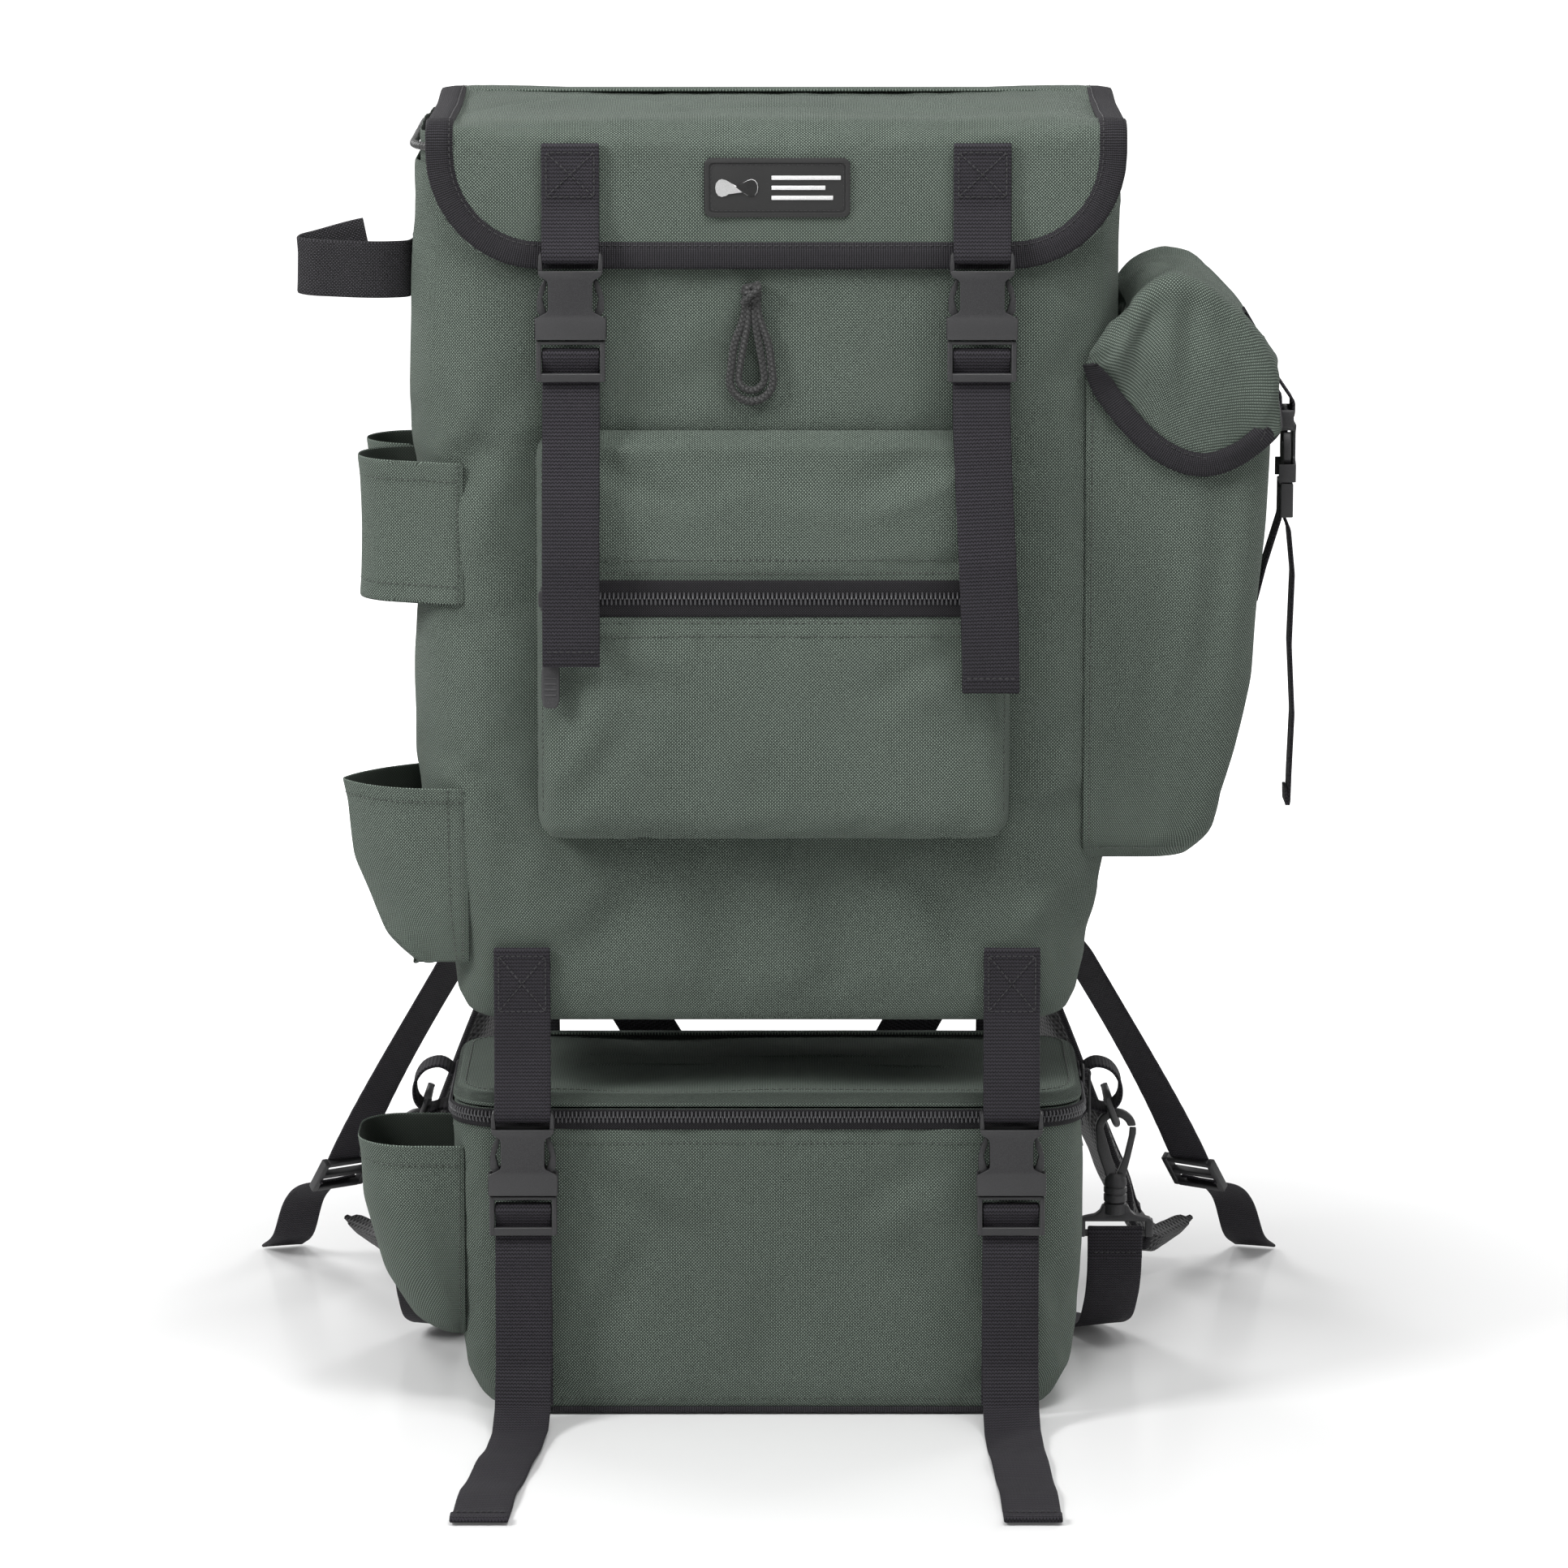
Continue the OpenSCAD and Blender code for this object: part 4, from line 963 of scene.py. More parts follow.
def flap_point(x, s):
    """Outer face of the flap: s is the length from its sewn rear edge over the roll and down."""
    back, top = FLAP_HIGH[1], FLAP_HIGH[2]
    on_top = min(s, TOP_LENGTH)
    turn = min(max(s - TOP_LENGTH, 0.0), ROLL_LENGTH) / ROLL_R
    down = max(s - TOP_LENGTH - ROLL_LENGTH, 0.0)
    y = back - on_top - ROLL_R * math.sin(turn)
    z = top - ROLL_R * (1 - math.cos(turn)) - down
    off = (x - FLAP_X) / FLAP_HALF
    crown = ease(s, 4, 60) * (1 - ease(s, TOP_LENGTH - 20, TOP_LENGTH + ROLL_LENGTH))
    swell = 2.0 * (1 - off**4)
    fold = ripple(x * 0.55 + s * 0.4, s * 1.3 - x * 0.15, 21, 120.0) * 2.2
    z += crown * (swell + (fold + float(creased(x, s, FLAP_FOLDS))) * (1 - off**8))
    droop = ease(abs(off), 0.8, 1.0) * crown
    z -= 3.2 * droop
    z += 2.2 * ease(abs(off), 0.35, 0.85) * (1 - ease(s, 20, 90)) * (1 - ease(abs(off), 0.9, 1.0))
    apron = ease(s, TOP_LENGTH + ROLL_LENGTH - 4, TOP_LENGTH + ROLL_LENGTH + 12)
    hung = ease(s, TOP_LENGTH + ROLL_LENGTH - 6, TOP_LENGTH + ROLL_LENGTH + 25)
    y += apron * 0.4 - hung * 1.1 * (0.7 + ripple(x, s * 0.3, 23, 75.0)) * (1 - abs(off) ** 6)
    y += 1.6 * hung * (within(x, -120, -84, 14) + within(x, 94, 130, 14)) * 0.4
    return np.array([x, y, z])


def flap_end(x):
    """Length of the flap at x, shorter in its two rounded corners."""
    over = max(0.0, abs(x - FLAP_X) - (FLAP_HALF - CORNER_R))
    return FLAP_LENGTH - (CORNER_R - math.sqrt(max(CORNER_R**2 - over**2, 0.0)))


def top_flap():
    xs = FLAP_X + FLAP_HALF * np.sin(np.linspace(-1, 1, 61) * 1.32) / math.sin(1.32)
    rows, uv = [], []
    fixed = TOP_LENGTH + ROLL_LENGTH
    for share in np.linspace(0, 1, 52):
        line, marks = [], []
        for x in xs:
            start, end = fixed, flap_end(x)
            s = share * FLAP_LENGTH
            if s > start:
                s = start + (s - start) / (FLAP_LENGTH - start) * (end - start)
            line.append(flap_point(x, s))
            marks.append((x - xs[0], s))
        rows.append(line)
        uv.append(marks)
    faces = Piece()
    faces.grid(rows, uv, flip=True)
    p = np.array(faces.points)
    flat = np.array(uv).reshape(-1, 2)
    s, x = flat[:, 1], p[:, 0]
    held = 1 - ease(s, 2, 16)
    held = np.maximum(held, ease(np.abs(x - FLAP_X), FLAP_HALF - 12, FLAP_HALF - 5))
    held = np.maximum(held, ease(s, TOP_LENGTH + ROLL_LENGTH - 6, TOP_LENGTH + ROLL_LENGTH + 6))
    out = np.tile([0.0, 0.0, 1.0], (len(p), 1))
    moved = settle(faces, held, out, frames=16, pressure=2.0, grow=0.014, cap=5.0, cap_out=3.5, gravity=0.1)
    low_limit = FLAP_HIGH[2] - 3.6
    moved[:, 2] = np.where(s < TOP_LENGTH - 8, np.maximum(moved[:, 2], low_limit), moved[:, 2])
    faces.points = moved.tolist()
    place_piece(
        faces, "top_flap_cloth", "top_flap", [CLOTH, CLOTH_INSIDE], ["top_flap"],
        wall=2.0, rounded=1
    )
    return faces


BINDING_INSET = 1.6


def flap_edge_path(step=3.0):
    """The flap's edge in x and s, from the rear left corner round to the rear right one."""
    left, right = FLAP_X - FLAP_HALF + BINDING_INSET, FLAP_X + FLAP_HALF - BINDING_INSET
    low = FLAP_LENGTH - BINDING_INSET - CORNER_R
    path = [(left, 3.0), (left, low)]
    path += [
        (left + CORNER_R - CORNER_R * math.cos(a), low + CORNER_R * math.sin(a))
        for a in np.radians(range(9, 91, 9))
    ]
    path += [
        (right - CORNER_R + CORNER_R * math.sin(a), low + CORNER_R * math.cos(a))
        for a in np.radians(range(0, 91, 9))
    ]
    path += [(right, 3.0)]
    return walk(path, step)


def binding_outline(width, thick):
    """Folded tape seen end on: the edge is at 0 and the cloth runs in between its two leaves."""
    r = thick / 2
    edge = [(-r * math.sin(a) * 0.9, r * math.cos(a)) for a in np.radians([30, 60, 90, 120, 150])]
    return (
        [(width, r * 0.72), (width * 0.5, r * 1.05), (1.0, r)] + edge
        + [(1.0, -r), (width * 0.5, -r * 1.05), (width, -r * 0.72)]
    )


def flap_binding():
    edge = flap_edge_path()
    path, inward = [], []
    middle = np.array([FLAP_X, TOP_LENGTH])
    for i, (x, s) in enumerate(edge):
        before, after = edge[max(i - 1, 0)], edge[min(i + 1, len(edge) - 1)]
        ahead = unit(after - before)
        side = np.array([ahead[1], -ahead[0]])
        if side @ (middle - (x, s)) < 0:
            side = -side
        here = flap_point(x, s)
        there = flap_point(*(np.array([x, s]) + side * 5.0))
        path.append(here)
        inward.append(unit(there - here))
    path, inward = np.array(path), np.array(inward)
    ahead = unit(np.gradient(path, axis=0))
    normal = np.cross(ahead, inward)
    path = path - normal * np.sign(normal[len(path) // 2] @ (0, -1, 0)) * 1.0
    faces = Piece()
    faces.tube(path, inward, binding_outline(12.5, 4.0))
    outer = np.sign(normal[len(path) // 2] @ (0, -1, 0)) * normal
    sewn = path + inward * 10.6 + outer * 1.75
    stitches(faces, sewn, outer, 2.3, 1.2, 0.26, slot=1)
    materials = [BINDING, BLACK_THREAD]
    place_piece(faces, "flap_edge_binding", "top_flap", materials, ["flap_binding"])


def hinge_cloth(name, section, half, middle, seams):
    """Sewn cloth strip along a folding edge: its section is in y and z, and it bends from start to end."""
    line = smooth([(0, y, z) for y, z in section], 2.2)
    xs = np.linspace(middle - half, middle + half, 60)
    rows = [[(x, y + 0.25 * float(ripple(x, z, 27, 60.0)), z) for x in xs] for _, y, z in line]
    walked = lengths(line)
    faces = Piece()
    faces.grid(rows, [[(x - xs[0], v) for x in xs] for v in walked], flip=True)
    for level in seams:
        row = [np.array(p) + (0, 0.35, 0) for p in rows[level]]
        stitches(faces, row, (0, 1, 0), 2.4, 1.2, 0.26, slot=2)
    obj = faces.object(name, [CLOTH, CLOTH_INSIDE, OLIVE_THREAD])
    made = obj.modifiers.new("wall", "SOLIDIFY")
    made.thickness = 1.2 * MM
    made.offset = -1.0
    evaluate(obj)
    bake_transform(obj)


def flap_hinge_strip():
    back, top = FLAP_HIGH[1], FLAP_HIGH[2]
    section = [
        (back - 1.0, top - 46), (back - 1.0, top - 24), (back - 0.4, top - 11), (back + 0.2, top - 6)
    ]
    section += [
        (back + 0.1, top - 1.5), (back - 2.5, top + 0.9), (back - 8, top + 1.2), (back - 15, top + 0.9)
    ]
    hinge_cloth("flap_hinge_strip", section, FLAP_HALF - 9, FLAP_X, (3, 7))


def badge():
    low, high = box_mm("badge")
    x, z = (low[0] + high[0]) / 2, (low[2] + high[2]) / 2
    back = high[1] + 0.1
    at = matrix(x, 0, z)
    half_w, half_h = (high[0] - low[0]) / 2, (high[2] - low[2]) / 2

    def outline(inset, radius):
        w, h = half_w - inset, half_h - inset
        points = (
            arc((w - radius, -h + radius), radius, -90, 0, 5)
            + arc((w - radius, h - radius), radius, 0, 90, 5)
        )
        points += arc((-w + radius, h - radius), radius, 90, 180, 5)
        return points + arc((-w + radius, -h + radius), radius, 180, 270, 5)

    faces = Piece()
    faces.solid(solid_plate(outline(0, 4), back - 1.5, back, 0.5, steps=3), at, 0)
    rim = solid_plate(outline(0.2, 3.8), back - 2.1, back - 1.3, 0.3, holes=[outline(2.6, 2.2)])
    faces.solid(rim, at, 0)
    leaf = [(11 * math.sin(a) - 21, 8.2 * math.sin(2 * a) * 0.55) for a in np.radians(range(0, 360, 15))]
    faces.solid(solid_plate(leaf, back - 2.2, back - 1.4, 0.2), at, 1)
    for row, width in ((5.2, 36), (0.0, 28), (-5.2, 32)):
        line = [(-3, row - 1.1), (-3 + width, row - 1.1), (-3 + width, row + 1.1), (-3, row + 1.1)]
        faces.solid(solid_plate(line, back - 2.1, back - 1.4, 0.25), at, 1)
    ring = [(x + a, back - 1.5, z + b) for a, b in outline(3.6, 1.5)]
    ring.append(ring[0])
    stitches(faces, walk(ring, 1.5), (0, -1, 0), 1.5, 0.9, 0.22, slot=2)
    materials = [BADGE, BADGE_MARK, BLACK_THREAD]
    place_piece(faces, "front_badge", "top_flap", materials, ["badge"], sharp=35)


# ------------------------------------------------------------------ straps through buckles
def box_stitch(faces, plane, x, low, high, half_w, facing=(0, -1, 0), slot=1, axis=0):
    """Sewn box with a cross through it, on a face at y = plane (or x = plane for axis 1)."""
    corners = [(x - half_w, low), (x + half_w, low), (x + half_w, high), (x - half_w, high)]

    def put(a, b):
        return (a, plane, b) if axis == 0 else (plane, a, b)

    loop = [put(*c) for c in corners + corners[:1]]
    stitches(faces, walk(loop, 2.0), facing, 2.1, 0.9, 0.3, slot=slot)
    for first, last in ((0, 2), (1, 3)):
        stitches(
            faces, walk([put(*corners[first]), put(*corners[last])], 2.0), facing, 2.1, 0.9, 0.3,
            slot=slot
        )


def laddered(y, z, sewn, tail):
    """Strap path in y and z: up behind the adjusting bar, over it, and down as the free tail."""
    turn = arc((y, z - 8), 2.9, 0, 205, 10)
    return (
        list(sewn) + [(y + 3.3, z - 22), (y + 3.3, z - 12)] + turn
        + [(y + 1.1, z - 17.4), (y + 1.1, z - 22)] + list(tail)
    )


def fold_end(y, z, thick=1.0):
    """Folded-back end of a strap hanging at y, its tip at z."""
    return (
        [(y - thick, z + 12), (y - thick, z + 2)] + arc((y, z + 1.2), thick, 180, 360, 5)
        + [(y + thick, z + 9)]
    )


def strap_buckle_parts():
    """Flap straps, their buckles and the long webbings below them."""
    for side, sign in (("left", -1), ("right", 1)):
        low, high = box_mm("flap_female_" + side)
        x, y, z = (low[0] + high[0]) / 2, (low[1] + high[1]) / 2, low[2]
        place = matrix(x, y, z)
        body = Piece()
        buckle_body(body, place, open_back=True)
        place_piece(
            body, "flap_buckle_" + side, "top_flap", [PLASTIC],
            ["flap_female_" + side], sharp=40
        )
        prongs = Piece()
        buckle_prongs(prongs, place)
        place_piece(
            prongs, "flap_prongs_" + side, "rucksack", [PLASTIC],
            ["flap_male_" + side], sharp=40
        )

        top = box_mm("flap_strap_" + side)[1][2]
        skin = FLAP_LOW[1]
        behind = [(skin - 1.3, top), (skin - 1.3, z + 56), (skin - 2.6, z + 50), (y + 3.2, z + 46)]
        front = [(y - 2.6, z + 46), (skin - 3.2, z + 68), (skin - 3.3, top + 0.5)]
        front += arc((skin - 2.3, top + 0.5), 1.0, 180, 20, 4)
        path = looped(x, y, z, 43, 3.2, behind, front)
        faces = Piece()
        faces.tube(walk(path, 2.0), (1, 0, 0), strap_outline(30, 1.8), 0)
        box_stitch(faces, skin - 4.35, x, top - 26, top - 3, 12.4)
        stitches(
            faces, walk([(x - 13, skin - 4.4, z + 62), (x + 13, skin - 4.4, z + 62)], 2), (0, -1, 0),
            2.1, 0.9, 0.3, slot=1
        )
        materials = [WEBBING, BLACK_THREAD]
        place_piece(
            faces, "flap_strap_" + side + "_webbing", "top_flap", materials,
            ["flap_strap_" + side]
        )

        tip = box_mm("flap_webbing_" + side)[0][2]
        front_y = SHELL_LOW[1]
        sewn = [(front_y - 8, POCKET_HIGH[2] + 1), (front_y - 10, z - 36)]
        hang = y - 21.5
        tail = [
            (y - 0.6, z - 29), (y - 4, z - 48), (y - 14, z - 84), (hang + 0.5, z - 114), (hang, z - 144)
        ]
        tail += fold_end(hang, tip)
        path2d = laddered(y, z, sewn, tail)
        sway = sign * 5.0
        path = []
        for a, b in path2d:
            down = ease(z - 30 - b, 0, 150)
            path.append((x + sway * (0.0 if sign < 0 else 1.0) * down, a, b))
        faces = Piece()
        line = walk(path, 2.0)
        line[:, 1] += (
            0.9 * np.sin((z - line[:, 2]) / 23.0) * ease(z - line[:, 2], 40, 80) * (line[:, 1] < y - 3)
        )
        faces.tube(line, (1, 0, 0), strap_outline(30, 1.8), 0)
        end_x = path[-1][0]
        for lift in (8.0,):
            row = [(end_x - 13, hang - 2.0, tip + lift), (end_x + 13, hang - 2.0, tip + lift)]
            stitches(faces, walk(row, 2), (0, -1, 0), 2.1, 0.8, 0.32, slot=1)
        place_piece(
            faces, "flap_tail_" + side, "rucksack", materials, ["flap_webbing_" + side]
        )


def hanger_parts():
    """Straps that hang the lower bag from the rucksack, in front and behind, with their buckles."""
    materials = [WEBBING, BLACK_THREAD]
    for end, sign in (("front", 1), ("rear", -1)):
        females, males = "hanger_females_" + end, "lower_males_" + end
        low, high = box_mm(females)
        y, z = (low[1] + high[1]) / 2, low[2]
        x = high[0] - 18.75
        body, prongs = Piece(), Piece()
        for s in (-1, 1):
            place = matrix(s * x, y, z, flip_y=sign < 0)
            buckle_body(body, place, open_back=False)
            buckle_prongs(prongs, place)
        place_piece(
            body, "hanger_buckles_" + end, "rucksack", [PLASTIC], [females], sharp=40
        )
        place_piece(
            prongs, "lower_prongs_" + end, "lower_bag", [PLASTIC], [males], sharp=40
        )

        wall = SHELL_LOW[1] if sign > 0 else -SHELL_HIGH[1]
        plane = y * sign
        top = 257
        behind = [(wall - 1.2, top), (wall - 1.2, 222), (plane + 3.2, z + 47)]
        front = [(plane - 3.2, z + 46), (wall - 5, 200), (wall - 3.3, 222), (wall - 3.2, top)]
        front += arc((wall - 2.2, top), 1.0, 180, 20, 4)
        path2d = looped(0, plane, z, 43, 3.2, behind, front)
        pieces = Piece(), Piece()
        for k, s in enumerate((-1, 1)):
            line = walk([(s * x, sign * a, b) for _, a, b in path2d], 2.0)
            pieces[k].tube(line, (1, 0, 0), strap_outline(30, 1.8), 0)
            face_y = sign * (wall - 4.25)
            box_stitch(pieces[k], face_y, s * x, top - 33, top - 3, 12.4, facing=(0, -sign, 0))
        if sign > 0:
            for k, side in enumerate(("left", "right")):
                name = "hanger_strap_front_" + side
                place_piece(pieces[k], name + "_webbing", "rucksack", materials, [name])
        else:
            joined = Piece()
            for part in pieces:
                base = len(joined.points)
                joined.points += part.points
                joined.faces += [[base + i for i in f] for f in part.faces]
                joined.corners += part.corners
                joined.slots += part.slots
            place_piece(
                joined, "hanger_straps_behind", "rucksack", materials,
                ["hanger_straps_rear"]
            )


def lower_webbing_parts():
    """Webbing sewn under the lower bag, through the hanger buckles, with long free tails."""
    materials = [WEBBING, BLACK_THREAD]
    low, high = box_mm("lower_males_front")
    y, z, x = (low[1] + high[1]) / 2 + 0.0, high[2] - 31.5, high[0] - 18
    y = box_mm("hanger_females_front")[0][1] + 5.5
    wall = LOWER_LOW[1]
    for side, s in (("left", -1), ("right", 1)):
        name = "lower_webbing_front_" + side
        sewn = [(wall - 1.7, 6), (wall - 3, 40)]
        tail = [
            (y - 2, 92), (y - 4, 60), (y - 8, 32), (y - 18, 12), (y - 34, 3.6), (y - 60, 1.6),
            (-240, 1.2), (-281, 1.6)
        ]
        path2d = laddered(y, z, sewn, tail)
        path = []
        for a, b in path2d:
            reach = ease(y - a, 2, 190)
            drift = (-16.0 if s < 0 else 6.0) * reach
            path.append((s * x + drift, a, b))
        end_x = path[-1][0]
        path += [
            (end_x - (0.4 if s < 0 else 0), a, b) for a,
            b in ((-290, 1.9), (-292.6, 2.4), (-292.8, 3.4), (-290, 3.9), (-283, 3.7))
        ]
        line = walk(path, 2.2)
        lift = (
            1.6 * np.sin((y - line[:, 1]) / 19.0) ** 2 * ease(y - line[:, 1], 40, 70)
            * (1 - ease(y - line[:, 1], 165, 180))
        )
        line[:, 2] += lift
        turned = (
            7.0 * np.sin((y - line[:, 1]) / 60.0) * ease(y - line[:, 1], 6, 30)
            * (1 - ease(y - line[:, 1], 30, 90))
        )
        faces = Piece()
        faces.tube(line, (1, 0, 0), strap_outline(30, 1.8), 0, turned=turned)
        row = [(end_x - 13, -284.5, 5.0), (end_x + 13, -284.5, 5.0)]
        stitches(faces, walk(row, 2), (0, 0, 1), 2.1, 0.8, 0.3, slot=1)
        place_piece(faces, name + "_strap", "lower_bag", materials, [name])
    low, high = box_mm("hanger_females_rear")
    y, x = (low[1] + high[1]) / 2, high[0] - 18.75
    wall = -LOWER_HIGH[1]
    faces = Piece()
    plane = -y
    path2d = laddered(
        plane, z, [(wall - 1.7, 6), (wall - 6, 40)],
        [(plane - 1, 92), (plane - 4, 60)] + fold_end(plane - 6, 22)
    )
    for s in (-1, 1):
        faces.tube(walk([(s * x, -a, b) for a, b in path2d], 2.2), (1, 0, 0), strap_outline(30, 1.8), 0)
    place_piece(
        faces, "lower_webbing_behind", "lower_bag", materials, ["lower_webbings_rear"]
    )


# ------------------------------------------------------------------ lower bag
LOWER_LOW, LOWER_HIGH = box_mm("lower_shell")
LID_LOW, LID_HIGH = box_mm("lower_lid")
LOWER_TAPER = [(0, 29), (6, 16), (22, 7), (50, 2), (90, 0), (900, 0)]
LOWER_FRONT = [(0, 2.5), (5, 0), (900, 0)]


LOWER_FOLDS = [
    ((-110, 30), (-60, 110), 10, 2.2),
    ((-96, 140), (-30, 96), 9, 1.8),
    ((110, 34), (62, 100), 10, 2.2),
    ((100, 142), (40, 104), 9, 1.8),
    ((-10, 20), (6, 80), 12, 1.4),
    ((158, 30), (150, 90), 7, 2.0),
]


def lower_bag():
    rows = bag_rows("lower_shell", LOWER_TAPER, (28, 24), LOWER_HIGH[2], LOWER_FRONT)
    outward = outward_of(rows)
    flat = rows.reshape(-1, 3) - outward * 0.6
    faces = Piece()
    faces.grid(flat.reshape(rows.shape), bag_uv(rows), close_u=True)
    x, y, z = flat.T
    held = np.maximum(ease(z, LOWER_HIGH[2] - 16, LOWER_HIGH[2] - 8), 1 - ease(z, 3, 16))
    held = np.maximum(held, within(np.abs(x), 115, 147) * (1 - ease(z, 20, 30)))
    held = np.maximum(held, ease(-x, 160, 166) * within(z, 40, 146))
    held = np.maximum(held, ease(np.abs(x), 164, 168) * within(y, 10, 50) * within(z, 118, 169))
    moved = settle(faces, held, outward, frames=16, pressure=3.0, grow=0.01, cap=4.0, cap_out=2.2)
    waves = ripple(x + y, z * 0.6, 31, 105.0) * 1.5 + ripple(x + y, z, 32, 36.0) * 0.3 - 0.3
    waves += creased(x, z, LOWER_FOLDS) * (y < 0) + creased(-x, z, LOWER_FOLDS) * (y > 0)
    moved += outward * (waves * (1 - held))[:, None]
    faces.points = moved.tolist()
    place_piece(
        faces, "lower_bag_cloth", "lower_bag", [CLOTH, CLOTH_INSIDE], ["lower_shell"],
        wall=2.0, rounded=1
    )
    return faces


def lid_rows():
    """Rings of the zipped lid from its skirt up to the middle of its crowned top."""
    half_w = (LID_HIGH[0] - LID_LOW[0]) / 2
    skirt, top = LID_LOW[2], LID_HIGH[2]
    rows = []
    for z, inset in (
        (skirt, 0.4), (skirt + 2.5, 0.0), (top - 4.5, 0.2), (top - 2.2, 1.2), (top - 0.8, 3.2)
    ):
        ring = bag_ring(
            half_w - inset, LID_LOW[1] + inset, LID_HIGH[1] - inset, 28 - inset, 24 - inset
        )
        rows.append(np.column_stack([ring, np.full(len(ring), z)]))
    depth = (LID_HIGH[1] - LID_LOW[1]) / 2
    for inset in np.linspace(7, depth - 7, 11):
        ring = bag_ring(
            half_w - inset, LID_LOW[1] + inset, LID_HIGH[1] - inset, max(28 - inset, 2),
            max(24 - inset, 2)
        )
        crown = top + 1.6 * ease(inset, 0, 60)
        rows.append(np.column_stack([ring, np.full(len(ring), crown)]))
    return np.array(rows)


def lid_hinge_strip():
    back, rim, top = LOWER_HIGH[1], LOWER_HIGH[2], LID_HIGH[2]
    section = [(back + 0.7, rim - 16), (back + 0.7, rim - 5), (back + 0.4, rim + 2), (back - 0.6, top - 2)]
    section += [(back - 3.0, top + 0.9), (back - 8, top + 1.7), (back - 14, top + 2.2)]
    half = LOWER_HIGH[0] - 30
    hinge_cloth("lid_hinge_strip", section, half, 0, (2,))


def lower_lid():
    rows = lid_rows()
    x, y = rows[..., 0], rows[..., 1]
    inside = ease(rows[..., 2], LID_HIGH[2] - 1.5, LID_HIGH[2] + 0.5)
    rows[..., 2] += ripple(x, y * 1.4, 41, 85.0) * 1.3 * inside
    rows[..., 2] -= 0.8 * inside
    around = lengths(np.concatenate([rows[0], rows[0][:1]]))
    uv = []
    for row in rows:
        if row[0][2] < LID_HIGH[2] - 3:
            uv.append([(u, row[0][2] - LID_LOW[2]) for u in around])
        else:
            uv.append([(q[0] + 300, q[1] + 300) for q in np.concatenate([row, row[:1]])])
    faces = Piece()
    base = faces.grid(rows, uv, close_u=True)
    n = rows.shape[1]
    half = n // 2
    last = base + (rows.shape[0] - 1) * n
    for i in range(half - 1):
        a, b = last + i, last + (n - 1 - i) % n
        ring = [a, a + 1, last + (n - 2 - i) % n, b]
        faces.faces.append(ring)
        faces.corners.append([(faces.points[q][0] + 300, faces.points[q][1] + 300) for q in ring])
        faces.slots.append(0)
    place_piece(
        faces, "lid_cloth", "lower_lid", [CLOTH, CLOTH_INSIDE], ["lower_lid"], wall=1.6,
        rounded=1
    )
    return faces


# ------------------------------------------------------------------ front pocket and its zip
ZIP_LOW, ZIP_HIGH = box_mm("front_pocket_zip")
ZIP_Z = (ZIP_LOW[2] + ZIP_HIGH[2]) / 2
FACE_TOP_Y = SHELL_LOW[1] - 15.5
FACE_SLOPE = 12.5 / (POCKET_HIGH[2] - POCKET_LOW[2] - 13)
FACE_TILT = math.degrees(math.atan(FACE_SLOPE))


def face_y(z):
    """The pocket's front face leans out towards its bottom."""
    return FACE_TOP_Y - (POCKET_HIGH[2] - 7 - z) * FACE_SLOPE


def border_steps(low, high, edge, step, count=7):
    """Positions from low to high with extra ones near both edges, and how far the cloth has risen there."""
    angles = np.radians(np.linspace(0, 90, count))
    near = edge * (1 - np.cos(angles))
    rise = np.sin(angles)
    inner = np.linspace(low + edge, high - edge, int((high - low - 2 * edge) / step))[1:-1]
    places = np.concatenate([low + near, inner, (high - near)[::-1]])
    heights = np.concatenate([rise, np.ones(len(inner)), rise[::-1]])
    return places, heights


POCKET_FOLDS = [
    ((-112, 330), (-64, 400), 9, 2.0),
    ((-100, 428), (-40, 396), 8, 1.6),
    ((116, 332), (72, 402), 9, 2.0),
    ((110, 424), (50, 392), 8, 1.6),
    ((-92, 528), (-30, 496), 8, 1.6),
    ((96, 528), (40, 500), 8, 1.6),
    ((-16, 328), (4, 372), 12, 1.2),
]


